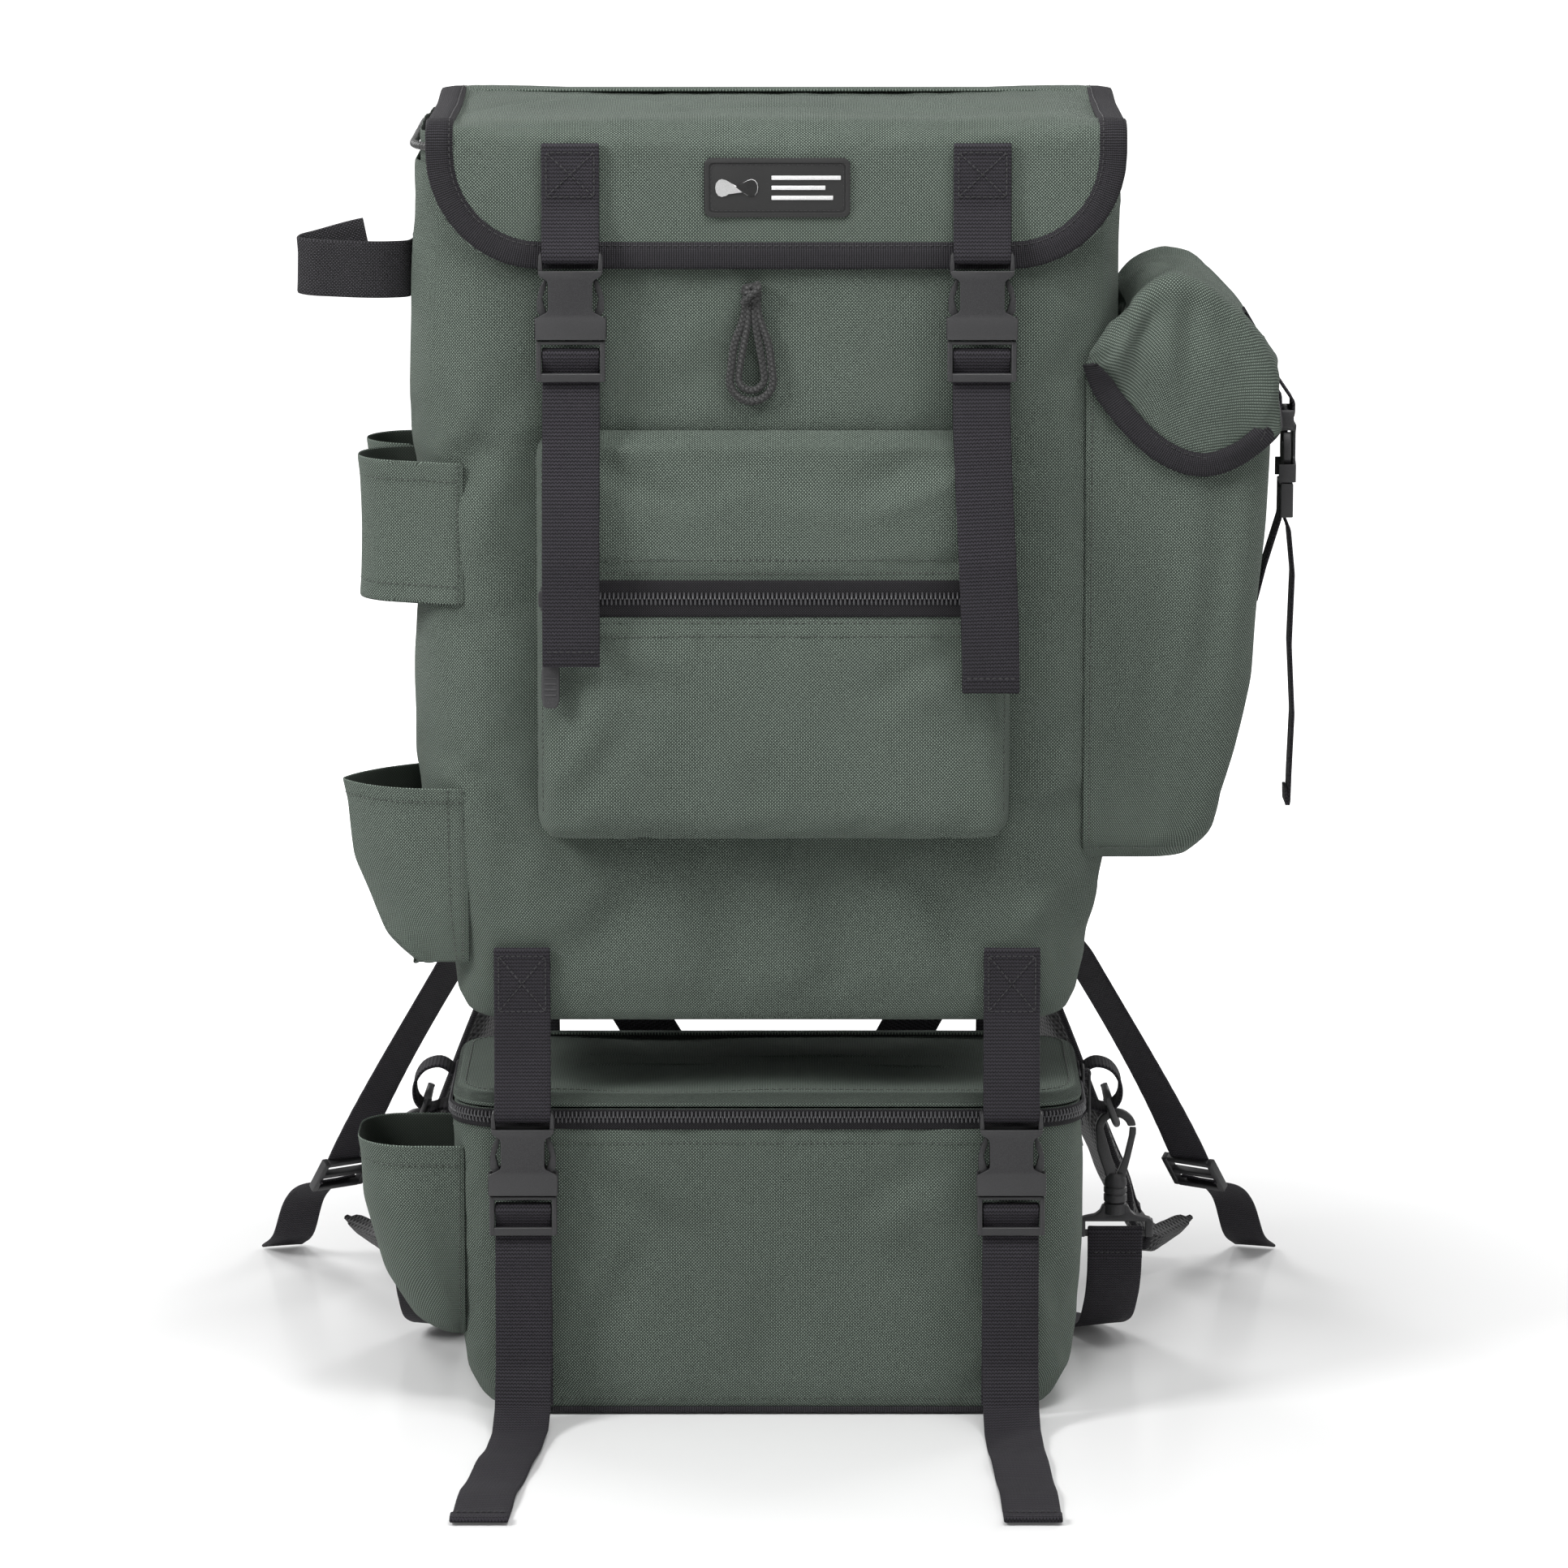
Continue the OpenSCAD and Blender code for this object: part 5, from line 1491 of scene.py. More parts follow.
def front_pocket():
    xs, rise_x = border_steps(POCKET_LOW[0], POCKET_HIGH[0], 9.0, 6.0)
    zs, rise_z = border_steps(POCKET_LOW[2], POCKET_HIGH[2], 8.0, 5.0)
    base_y = SHELL_LOW[1] - 0.4
    rows, uv = [], []
    around_x = lengths(np.column_stack([xs, rise_x * 20]))
    around_z = lengths(np.column_stack([zs, rise_z * 20]))
    corner = 13.0
    for i, z in enumerate(zs):
        line = []
        for j, x in enumerate(xs):
            cx = min(max(x, POCKET_LOW[0] + corner), POCKET_HIGH[0] - corner)
            cz = min(max(z, POCKET_LOW[2] + corner), POCKET_HIGH[2] - corner)
            a, b = x - cx, z - cz
            far = math.hypot(a, b)
            pull = max(abs(a), abs(b)) / far if far > 1e-6 else 1.0
            depth = (face_y(z) - base_y) * rise_x[j] * rise_z[i]
            line.append((cx + a * pull, base_y + depth, cz + b * pull))
        rows.append(line)
        uv.append([(u, around_z[i]) for u in around_x])
    faces = Piece()
    faces.grid(rows, uv)
    p = np.array(faces.points)
    rise = np.outer(rise_z, rise_x).ravel()
    x, z = p[:, 0], p[:, 2]
    slot = within(z, ZIP_Z - 11, ZIP_Z + 11, 5)
    held = np.maximum(1 - ease(rise, 0.0, 0.75), slot)
    held = np.maximum(held, within(x, -122, -104) * within(z, 385, 460))
    out = np.tile([0.0, -1.0, 0.0], (len(p), 1))
    moved = settle(faces, held, out, frames=16, pressure=4.0, grow=0.014, cap=4.0, cap_out=2.6)
    free = rise**3 * (1 - slot)
    low_hang = ease(POCKET_HIGH[2] - z, 120, 200)
    moved[:, 1] -= ripple(x, z * 0.8, 51, 95.0) * (1.1 + 1.0 * low_hang) * free
    moved[:, 1] -= creased(x, z, POCKET_FOLDS) * free
    top_dip = np.exp(-(((z - (POCKET_HIGH[2] - 12)) / 9) ** 2)) * free
    moved[:, 1] += top_dip * 1.2 * (0.6 + ripple(x, z * 0, 52, 60.0))
    lips = np.exp(-(((np.abs(z - ZIP_Z) - 11.5) / 1.6) ** 2)) * ease(rise, 0.8, 1)
    moved[:, 1] -= lips * 0.7
    sunk = (1 - ease(np.abs(z - ZIP_Z), 8.8, 10.4)) * ease(rise, 0.8, 1)
    moved[:, 1] += sunk * 0.5
    for low, high in ((462, 470), (430, 437.5)):
        ridge = within(z, low, high, 1.5) * free
        moved[:, 1] -= ridge * 0.35
    faces.points = moved.tolist()
    tree = faces.tree()
    left, right = POCKET_LOW[0], POCKET_HIGH[0]
    materials = [CLOTH, CLOTH_INSIDE]
    place_piece(
        faces, "front_pocket_cloth", "rucksack", materials, ["front_pocket"], wall=1.4,
        rounded=1
    )
    seams = Piece()
    for z in (ZIP_Z + 13.4, ZIP_Z + 20.5, ZIP_Z - 12.6, ZIP_Z - 19.6):
        line = [(left + 9, POCKET_HIGH[1], z), (right - 9, POCKET_HIGH[1], z)]
        sew(seams, tree, line, (0, 1, 0), length=2.4, gap=1.0, radius=0.27)
    edge = [
        (left + 3.5, POCKET_HIGH[1], POCKET_HIGH[2] - 16),
        (left + 3.5, POCKET_HIGH[1], POCKET_LOW[2] + 16)
    ]
    for line in (edge, [(right + left - x, y, z) for x, y, z in edge]):
        sew(seams, tree, line, (0, 1, 0), length=2.4, gap=1.0, radius=0.24)
    place_piece(seams, "front_pocket_stitching", "rucksack", [OLIVE_THREAD])


def pocket_place(x, z):
    return matrix(x, face_y(z), z, about_x=-FACE_TILT)


def zip_teeth(faces, path, normal, across, half_gap=0.9, slot=1, pitch=2.3, size=1.0):
    """Two rows of coil loops along a path."""
    line = walk(path, pitch / 2)
    normal = np.broadcast_to(np.asarray(normal, float), line.shape)
    across = np.broadcast_to(np.asarray(across, float), line.shape)
    for i, p in enumerate(line):
        s = 1 if i % 2 else -1
        n = normal[min(i, len(normal) - 1)]
        a = across[min(i, len(across) - 1)]
        start = p + a * s * 3.1 * size - n * 0.3
        middle = p + a * s * 1.7 * size + n * 0.55
        end = p - a * s * half_gap * size * 0.2 + n * 0.35
        bend = np.array([start, middle, end])
        side = np.cross(unit(end - start), n)
        faces.tube(bend, side, circle_outline(0.62 * size, 6), slot, scale=[0.8, 1.0, 0.75])


def front_zip():
    left, right = POCKET_LOW[0] + 6.5, POCKET_HIGH[0] - 6.5
    place = pocket_place(0, ZIP_Z)
    faces = Piece()
    grid, uv = [], []
    for z in np.linspace(-9.6, 9.6, 13):
        bulge = -0.75 - 0.25 * math.cos(z / 9.6 * math.pi / 2) + 0.3 * (abs(z) < 1.0)
        grid.append([tuple(place @ Vector((x, bulge, z))) for x in np.linspace(left, right, 60)])
        uv.append([(x - left, z + 10) for x in np.linspace(left, right, 60)])
    faces.grid(grid, uv)
    path = [tuple(place @ Vector((x, -1.35, 0.0))) for x in (left + 1, right - 1)]
    normal = np.array(place.to_3x3() @ Vector((0, -1, 0)))
    across = np.array(place.to_3x3() @ Vector((0, 0, 1)))
    teeth = Piece()
    zip_teeth(teeth, path, normal, across, slot=0)
    place_piece(faces, "front_zip_tape", "rucksack", [TAPE], wall=0.5)
    place_piece(teeth, "front_zip_coil", "rucksack", [COIL], ["front_pocket_zip"])


def pocket_slider():
    low, high = box_mm("pocket_slider")
    x = (low[0] + high[0]) / 2
    place = pocket_place(x, ZIP_Z)
    faces = Piece()
    half = [(3.2, -6.4), (4.4, -5.6), (4.6, -1.0), (5.3, 2.4), (5.3, 5.4), (4.0, 6.4)]
    turned = place @ Matrix.Rotation(math.radians(90), 4, "Y")
    faces.solid(solid_plate(both_sides(half), -4.6, -3.2, 0.5, steps=3), turned)
    for s in (-1, 1):
        low_z, high_z = sorted((s * 4.8, s * 6.2))
        faces.solid(solid_block((-5.2, -3.4, low_z), (5.2, -1.4, high_z), 0.4), place)
    bar(faces, place, (0, -4.4, 0), (0, -8.3, 0), 1.4, 12)
    bar(faces, place, (0, -8.2, 0), (0, -9.1, 0), 2.5, 14)
    hoop = [(0, -4.4, 3.2), (0, -6.2, 3.4), (0, -6.9, 2.6)]
    faces.tube([tuple(place @ Vector(q)) for q in hoop], (1, 0, 0), circle_outline(0.9, 8))
    place_piece(
        faces, "front_zip_slider", "pocket_slider", [PULL], ["pocket_slider"],
        sharp=40
    )


def pocket_pull():
    x = sum(box_mm("pocket_slider")[k][0] for k in (0, 1)) / 2
    place = pocket_place(x, ZIP_Z)
    faces = Piece()

    def cord(points, radius, slot):
        path = smooth([tuple(place @ Vector(q)) for q in points], 0.9)
        braid(faces, path, radius, (1, 0, 0), slot=slot)

    turn = np.radians(np.linspace(-60, 240, 13))
    eye = [(2.7 * math.cos(a), -6.9, 2.7 * math.sin(a)) for a in turn]
    loop = [(2.2, -6.9, -30), (2.5, -6.9, -14)] + eye + [(-2.5, -6.9, -14), (-2.2, -6.9, -30)]
    cord(loop, 0.95, 0)
    for z in (-18.0, -20.0, -22.0):
        ring = [(2.9 * math.cos(a), -6.9 + 1.5 * math.sin(a), z) for a in np.radians(range(0, 360, 24))]
        faces.tube(
            [tuple(place @ Vector(q)) for q in ring], (0, 0, 1), circle_outline(0.8, 8), 0, closed=True
        )
    half = [(2.6, -57), (4.0, -55.6), (4.7, -52), (4.7, -38), (4.2, -33.5), (3.0, -31.2)]
    faces.solid(solid_plate(both_sides(half), -9.0, -4.9, 1.1, steps=3), place, 1)
    for z in (-50, -47, -44, -41):
        faces.solid(solid_block((-3.2, -9.45, z - 0.6), (3.2, -8.8, z + 0.6), 0.3), place, 1)
    place_piece(
        faces, "front_zip_pull", "pocket_pull", [CORD, PULL], ["pocket_pull"], sharp=50
    )


# ------------------------------------------------------------------ side pocket and its hood
SIDE_Y0, SIDE_Y1 = SIDE_LOW[1], SIDE_HIGH[1]
SIDE_TAPER = [(304, 42), (318, 26), (400, 10), (480, 2), (520, 0), (700, 0)]


SIDE_FOLDS = [
    ((30, 330), (24, 500), 8, 2.4),
    ((56, 350), (62, 540), 8, 2.6),
    ((100, 320), (124, 430), 9, 2.2),
    ((190, 330), (168, 440), 9, 2.2),
    ((230, 340), (224, 520), 8, 2.2),
]


def side_pocket():
    columns = []
    for z in [304.0, 304.6] + list(np.linspace(310, SIDE_HIGH[2], 42)):
        out = SIDE_HIGH[0] - np.interp(z, [p[0] for p in SIDE_TAPER], [p[1] for p in SIDE_TAPER])
        squeeze = 9.0 * (1 - float(ease(z, 304, 312)))
        y0, y1 = SIDE_Y0 + squeeze, SIDE_Y1 - squeeze
        radius = 22.0
        line = [(167.0, y0 + 0.6), (168.2, y0)]
        line += [(x, y0) for x in np.linspace(174, out - radius, 10)]
        line += arc((out - radius, y0 + radius), radius, -90, 0, 7)[1:]
        line += [(out, y) for y in np.linspace(y0 + radius, y1 - radius, 15)[1:]]
        line += arc((out - radius, y1 - radius), radius, 0, 90, 7)[1:]
        line += [(x, y1) for x in np.linspace(out - radius, 187.4, 8)[1:]]
        columns.append([(x, y, z) for x, y in line])
    rows = np.array(columns)
    bottom = rows[0].copy()
    closed = []
    middle_y = (SIDE_Y0 + SIDE_Y1) / 2
    for share in (0.02, 0.35, 0.7):
        ring = bottom.copy()
        ring[:, 1] = middle_y + (ring[:, 1] - middle_y) * share
        closed.append(ring)
    rows = np.concatenate([np.array(closed), rows])
    us = lengths(rows[30])
    vs = lengths(rows[:, 8])
    uv = [[(u, v) for u in us] for v in vs]
    faces = Piece()
    faces.grid(rows, uv)
    p = np.array(faces.points)
    x, y, z = p.T
    ahead = np.gradient(rows, axis=1)
    outward = unit(np.stack([ahead[..., 1], -ahead[..., 0], np.zeros(ahead.shape[:2])], -1)).reshape(-1, 3)
    column = np.tile(np.arange(rows.shape[1]), rows.shape[0])
    ends = np.minimum(column, rows.shape[1] - 1 - column)
    held = np.maximum(1 - ease(ends, 0.5, 3.5), ease(z, SIDE_HIGH[2] - 30, SIDE_HIGH[2] - 12))
    held = np.maximum(held, 1 - ease(z, 304.5, 314))
    moved = settle(
        faces, held, outward, frames=18, pressure=2.0, grow=0.02, cap=6.0, cap_out=2.5, gravity=0.2
    )
    along = us[column]
    pleats = ripple(along * 1.5, z * 0.22, 61, 70.0) * 2.2 - 1.2
    pleats += creased(along, z, SIDE_FOLDS)
    moved += outward * (pleats * (1 - held))[:, None]
    faces.points = moved.tolist()
    tree = faces.tree()
    materials = [CLOTH, CLOTH_INSIDE]
    place_piece(
        faces, "side_pocket_cloth", "rucksack", materials, ["side_pocket"], wall=1.5,
        rounded=1
    )
    seams = Piece()
    front = SIDE_LOW[1]
    sew(seams, tree, [(170.5, front, 566), (170.5, front, 309)], (0, 1, 0), radius=0.25)
    sew(seams, tree, [(172, front, 310.5), (222, front, 310.5)], (0, 1, 0), radius=0.25)
    place_piece(seams, "side_pocket_stitching", "rucksack", [OLIVE_THREAD])


HOOD_LOW, HOOD_HIGH = box_mm("side_flap")
HOOD_FRONT, HOOD_BACK = HOOD_LOW[1] + 1, HOOD_HIGH[1] - 1


def hood_arch():
    """The hood's ridge line in x and z from the bag's corner over its peak to its outer hem."""
    corner = [(168, 574), (173, 582), (180, 590), (188.5, 598)]
    over = [(196, 609), (204, 614.5), (214, 617), (224, 616), (236, 609), (248, 598)]
    outer = [(258, 584), (265, 566), (268.5, 550), (269.5, 537)]
    return smooth(corner + over + outer, 4.2)


def hood_hem(share):
    """Lower edge of the hood's end panels, from the bag's corner round to the outer hem."""
    line = smooth(
        [(167, 569), (170, 558), (182, 541), (199, 523), (214, 514), (229, 510.5), (247, 516), (264, 529)],
        3
    )
    walked = lengths(line) / lengths(line)[-1]
    return np.array([np.interp(share, walked, line[:, k]) for k in (0, 1)])


def bag_side_x(y):
    """How far out the rucksack's side is at y, round its front corner."""
    corner = SHELL_LOW[1] + RUCK_CORNER
    if y > corner:
        return SHELL_HIGH[0]
    return SHELL_HIGH[0] - RUCK_CORNER + math.sqrt(max(float(RUCK_CORNER) ** 2 - (corner - y) ** 2, 0.0))


HOOD_FOLDS = [
    ((200, 606), (184, 560), 4.5, 2.4),
    ((216, 608), (214, 548), 5.0, 2.2),
    ((228, 604), (246, 552), 5.0, 2.2),
]
HOOD_TOP_FOLDS = [
    ((-80, 214), (-20, 236), 6.0, 2.2),
    ((-60, 200), (10, 214), 6.0, 2.0),
    ((20, 238), (60, 212), 6.0, 2.0),
]
HOOD_SIDE_FOLDS = [
    ((-78, 590), (-40, 548), 6.0, 1.8),
    ((52, 590), (20, 548), 6.0, 1.8),
]


def hood_grid():
    ridge = hood_arch()
    share = lengths(ridge) / lengths(ridge)[-1]
    radius = 11.0
    rows, uv = [], []
    for (x, z), t in zip(ridge, share):
        hx, hz = hood_hem(float(t))
        size = min(radius, 0.45 * max(z - hz, 2.0))
        line = []
        for y_end, sign in ((HOOD_BACK, 1), (HOOD_FRONT, -1)):
            half = []
            for f in np.linspace(0, 1, 9):
                puff = 2.2 * math.sin(math.pi * f) * sign
                half.append((hx + (x - hx) * f, y_end + puff * 0.6 - sign * 0.6, hz + (z - size - hz) * f))
            for a in np.radians((22, 45, 68)):
                drop = size * (1 - math.sin(a))
                half.append((x, y_end - sign * size * (1 - math.cos(a)), z - drop))
            line.append(half)
        back, front = line
        middle = [(x, y, z) for y in np.linspace(HOOD_BACK - size, HOOD_FRONT + size, 15)]
        full = back + middle + front[::-1]
        row = []
        for px, py, pz in full:
            limit = bag_side_x(py) + 2.2
            row.append((max(px, limit) if py > HOOD_FRONT + 1.5 else max(px, 166.5), py, pz))
        rows.append(row)
    rows = np.array(rows)
    vs = lengths(rows[:, rows.shape[1] // 2])
    for i, row in enumerate(rows):
        us = lengths(row)
        us = us - us[len(us) // 2] + 200
        uv.append([(u, vs[i]) for u in us])
    return rows, uv


def eased_corners(points, times):
    """The same chain of points with its corners rounded off."""
    eased = np.array(points, float)
    for _ in range(times):
        eased[1:-1] = (eased[:-2] + 2 * eased[1:-1] + eased[2:]) / 4
    return eased


def side_hood():
    rows, uv = hood_grid()
    faces = Piece()
    faces.grid(rows, uv)
    n, m = rows.shape[:2]
    row = np.repeat(np.arange(n), m)
    column = np.tile(np.arange(m), n)
    side = np.minimum(column, m - 1 - column)
    held = np.maximum(1 - ease(side, 0.5, 4.5), 1 - ease(row, 1.0, 7.0))
    held = np.maximum(held, ease(row, n - 8, n - 3))
    ahead, down = np.gradient(rows, axis=1), np.gradient(rows, axis=0)
    outward = unit(np.cross(down, ahead)).reshape(-1, 3)
    if outward[len(outward) // 2] @ (0.2, 0, 1) < 0:
        outward = -outward
    moved = settle(
        faces, held, outward, frames=16, pressure=1.5, grow=0.03, cap=6.5, cap_out=3.0, gravity=0.2
    )
    x, y, z = np.array(faces.points).T
    free = 1 - held
    top = ease(z, 586, 604)
    folds = (
        ripple(y * 1.1 + x, x * 1.6, 71, 46.0) * 1.8 * top
        + ripple(x * 0.9, z, 72, 60.0) * 0.8 * (1 - top)
    )
    front_folds = creased(x, z, HOOD_FOLDS) * ease(-y, 60, 84) + creased(x, z, HOOD_FOLDS) * ease(y, 40, 60)
    over_folds = creased(y, x, HOOD_TOP_FOLDS) * top + creased(y, z, HOOD_SIDE_FOLDS) * ease(x, 246, 262)
    moved += outward * ((folds - 1.0 + front_folds + over_folds) * free)[:, None]
    faces.points = moved.tolist()
    tree = faces.tree()
    materials = [CLOTH, CLOTH_INSIDE]
    place_piece(
        faces, "side_hood_cloth", "side_flap", materials, ["side_flap"], wall=1.4,
        rounded=1
    )

    edge = np.concatenate(
        [moved.reshape(n, m, 3)[:, 0], moved.reshape(n, m, 3)[-1], moved.reshape(n, m, 3)[::-1, -1]]
    )
    inner = np.concatenate(
        [moved.reshape(n, m, 3)[:, 2], moved.reshape(n, m, 3)[-3], moved.reshape(n, m, 3)[::-1, -3]]
    )
    keep = [0]
    for i in range(1, len(edge)):
        if np.linalg.norm(edge[i] - edge[keep[-1]]) > 2.0:
            keep.append(i)
    rounded = eased_corners(edge[keep], 9)
    line = walk(rounded, 3.0)
    toward = eased_corners(unit(inner[keep] - edge[keep]), 14)
    walked, wanted = lengths(edge[keep]), lengths(line)
    wanted = wanted * walked[-1] / wanted[-1]
    toward = unit(np.column_stack([np.interp(wanted, walked, toward[:, k]) for k in range(3)]))
    faces = Piece()
    faces.tube(line, toward, binding_outline(11.0, 3.8))
    ahead = unit(np.gradient(line, axis=0))
    normal = np.cross(ahead, toward)
    if normal[len(line) // 2] @ (1, 0, 0) < 0:
        normal = -normal
    stitches(faces, line + toward * 9.4 + normal * 1.6, normal, 2.3, 1.2, 0.24, slot=1)
    place_piece(faces, "side_hood_binding", "side_flap", [BINDING, BLACK_THREAD])
    return tree


def side_buckle_parts(hood):
    low, high = box_mm("side_female")
    x, y, z = (low[0] + high[0]) / 2, (low[1] + high[1]) / 2, low[2]
    size = (high[1] - low[1]) / 37.5
    place = matrix(x, y, z, about_z=90, size=size)
    faces = Piece()
    buckle_body(faces, place, open_back=True)
    place_piece(faces, "side_buckle", "side_flap", [PLASTIC], ["side_female"], sharp=40)
    faces = Piece()
    buckle_prongs(faces, place)
    place_piece(faces, "side_prongs", "rucksack", [PLASTIC], ["side_male"], sharp=40)

    def put(a, b):
        return (x - a * size, y, z + b * size)

    materials = [WEBBING, BLACK_THREAD]
    turn = [put(a, b) for a, b in arc((0, 43), 3.9, 0, -180, 10)]

    def on_hood(z, lift):
        landed, _ = land(hood, [(HOOD_HIGH[0], y, z)], (-1, 0, 0))
        return (landed[0][0] + lift, y, z)

    under = [on_hood(560, 1.5), on_hood(552, 1.7), (HOOD_HIGH[0] + 1.6, y, 545)]
    over = [(x + 3.4, y, 541), on_hood(557, 3.9), on_hood(568, 2.4), on_hood(579, 1.5), on_hood(589, 1.2)]
    path = under + turn + over
    faces = Piece()
    faces.tube(walk(path, 2.0), (0, 1, 0), strap_outline(25, 1.6), 0)
    place_piece(faces, "side_hood_strap", "side_flap", materials, ["side_flap_strap"])

    ladder = [put(a, b) for a, b in laddered(0, 0, [], [])]
    tail = [(279, y, 472), (281.4, y, 448), (280.2, y, 410), (282.2, y, 372), (281.0, y, 340)]
    tail += [(280.6, y, 324), (280.2, y, 322.4), (279.2, y, 322.6), (279.0, y, 331)]
    path = [(261.6, y, 434), (266, y, 452)] + ladder + tail
    faces = Piece()
    faces.tube(walk(path, 2.0), (0, 1, 0), strap_outline(25, 1.6), 0)
    place_piece(faces, "side_webbing_tail", "rucksack", materials, ["side_webbing"])


# ------------------------------------------------------------------ rod holders
def pouch(name, node, path_at, low, high, rows_count, seed=81, hem=8.0, shut=False):
    """Open pouch: path_at(z) gives its outline in x and y, from the front seam round to the back one."""
    rows = np.array([[(x, y, z) for x, y in path_at(z)] for z in np.linspace(low, high, rows_count)])
    if shut:
        floor = []
        for share in (0.14, 0.5, 0.8):
            ring = rows[0].copy()
            ring[:, 1] = ring[0, 1] + (ring[:, 1] - ring[0, 1]) * share
            ring[:, 2] -= 1.2 * (1 - share)
            floor.append(ring)
        rows = np.concatenate([np.array(floor), rows])
    us, vs = lengths(rows[-1]), lengths(rows[:, rows.shape[1] // 3])
    faces = Piece()
    faces.grid(rows, [[(u, v) for u in us] for v in vs])
    ahead = np.gradient(rows, axis=1)
    outward = unit(np.stack([ahead[..., 1], -ahead[..., 0], np.zeros(ahead.shape[:2])], -1)).reshape(-1, 3)
    if outward[len(outward) // 4] @ (-0.4, -1, 0) < 0:
        outward = -outward
        flip = True
    else:
        flip = False
    if flip:
        faces = Piece()
        faces.grid(rows, [[(u, v) for u in us] for v in vs], flip=True)
    p = np.array(faces.points)
    column = np.tile(np.arange(rows.shape[1]), rows.shape[0])
    ends = np.minimum(column, rows.shape[1] - 1 - column)
    z = p[:, 2]
    held = np.maximum(
        1 - ease(ends, 0.5, 3.0), np.maximum(ease(z, high - 6, high), 1 - ease(z, low, low + 8))
    )
    waves = ripple(us[column], z * 0.8, seed, 48.0) * 1.0
    band = ease(z, high - hem - 0.6, high - hem + 0.6) * 0.5
    p = p + outward * ((waves - 0.6) * (1 - held) * 0.9 + band)[:, None]
    faces.points = p.tolist()
    tree = faces.tree()
    place_piece(
        faces, name, path_at.body, [CLOTH, CLOTH_INSIDE], [node], wall=1.1, rounded=1
    )
    grid = p.reshape(rows.shape)
    return grid, outward.reshape(rows.shape), tree


ROD_POUCH = [(249, -187.0), (254, -194.0), (262, -204.0), (274, -211.0), (300, -221.0), (345, -227.0)]


def bag_half(z):
    """Half the rucksack's width at a height."""
    return (
        SHELL_HIGH[0]
        - float(np.interp(z - SHELL_LOW[2], [p[0] for p in RUCK_TAPER], [p[1] for p in RUCK_TAPER]))
    )


def evenly(points, count):
    """The curve through the points as a fixed number of positions."""
    line = smooth(points, 1.0)
    walked = lengths(line)
    at = np.linspace(0, walked[-1], count)
    return [tuple(np.interp(c, walked, line[:, k]) for k in (0, 1)) for c in at]


def rod_pocket():
    low, high = box_mm("rod_pocket")

    def outline(z):
        shut = 1 - float(ease(z, low[2], low[2] + 30))
        tip = float(np.interp(z, [p[0] for p in ROD_POUCH], [p[1] for p in ROD_POUCH]))
        y_tip = -52.0 - 24 * shut
        inner = -157.6
        rear_x = -bag_half(z) + 2.5
        rear_y = -4.5 - 52 * shut
        front = [
            (inner - 4, -85), (-174, -84.6), ((tip - 174) / 2, -79 - 3 * shut), (tip + 5, y_tip - 9),
            (tip, y_tip)
        ]
        rear = [
            (tip, y_tip), (tip + 4, y_tip + 9),
            ((tip + rear_x) / 2 - 2, y_tip + 0.62 * (rear_y - y_tip)), (rear_x, rear_y)
        ]
        return [(inner, -83.6)] + evenly(front, 22) + evenly(rear, 15)[1:]

    outline.body = "rucksack"
    grid, outward, _ = pouch(
        "rod_pocket_cloth", "rod_pocket", outline, low[2] + 1, high[2], 26, seed=82, shut=True
    )
    front = grid[:, :22]
    seams = Piece()
    hem = grid[-3, 1:] + outward[-3, 1:] * 0.5
    stitches(seams, walk(hem, 2.5), (-0.3, -0.9, 0), radius=0.25)
    for column in (1, 3):
        side = front[3:, column] + outward[3:, column] * 0.25
        stitches(seams, walk(side, 2.5), (0, -1, 0), radius=0.25)
    place_piece(seams, "rod_pocket_stitching", "rucksack", [OLIVE_THREAD])


def rod_sleeve():
    low, high = box_mm("rod_sleeve")
    z0, z1 = low[2], high[2]

    def tube_line(cx, cy, radius, start, end, count, seam_x=None):
        line = []
        if seam_x is not None:
            line.append((seam_x, cy - radius - 5.2))
            line.append((seam_x - 5, cy - radius - 4.0))
        return line + arc((cx, cy), radius, start, end, count)

    seams = Piece()
    for name, args in (
        ("rod_sleeve_front", (-187.0, -46.0, 29.6, -100, -282, 26)),
        ("rod_sleeve_rear", (-188.0, 18.0, 27.6, -92, -268, 22)),
    ):
        seam_x = -158.6 if name.endswith("front") else None

        def outline(z, args=args, seam_x=seam_x):
            cx, cy, radius, start, end, count = args
            if seam_x is None:
                return tube_line(cx, cy, radius, start, end, count)
            line = [(seam_x, -85.6), (seam_x - 6, -86.2), (-172, -84.0), (-182, -79.6)]
            return smooth(line, 4)[:8].tolist() + arc((cx, cy), radius, -112, -282, count)

        outline.body = "rucksack"
        node = "rod_sleeve"
        grid, outward, _ = pouch(name, node, outline, z0, z1, 16, seed=84 + len(name), hem=7.0)
        for row, off in ((-3, 0.5), (2, 0.25)):
            stitches(
                seams, walk(grid[row, 1:-1] + outward[row, 1:-1] * off, 2.5), (-0.3, -0.9, 0),
                radius=0.24
            )
        if seam_x is not None:
            stitches(seams, walk(grid[:, 1] + outward[:, 1] * 0.3, 2.5), (0, -1, 0), radius=0.25)
    place_piece(seams, "rod_sleeve_stitching", "rucksack", [OLIVE_THREAD])


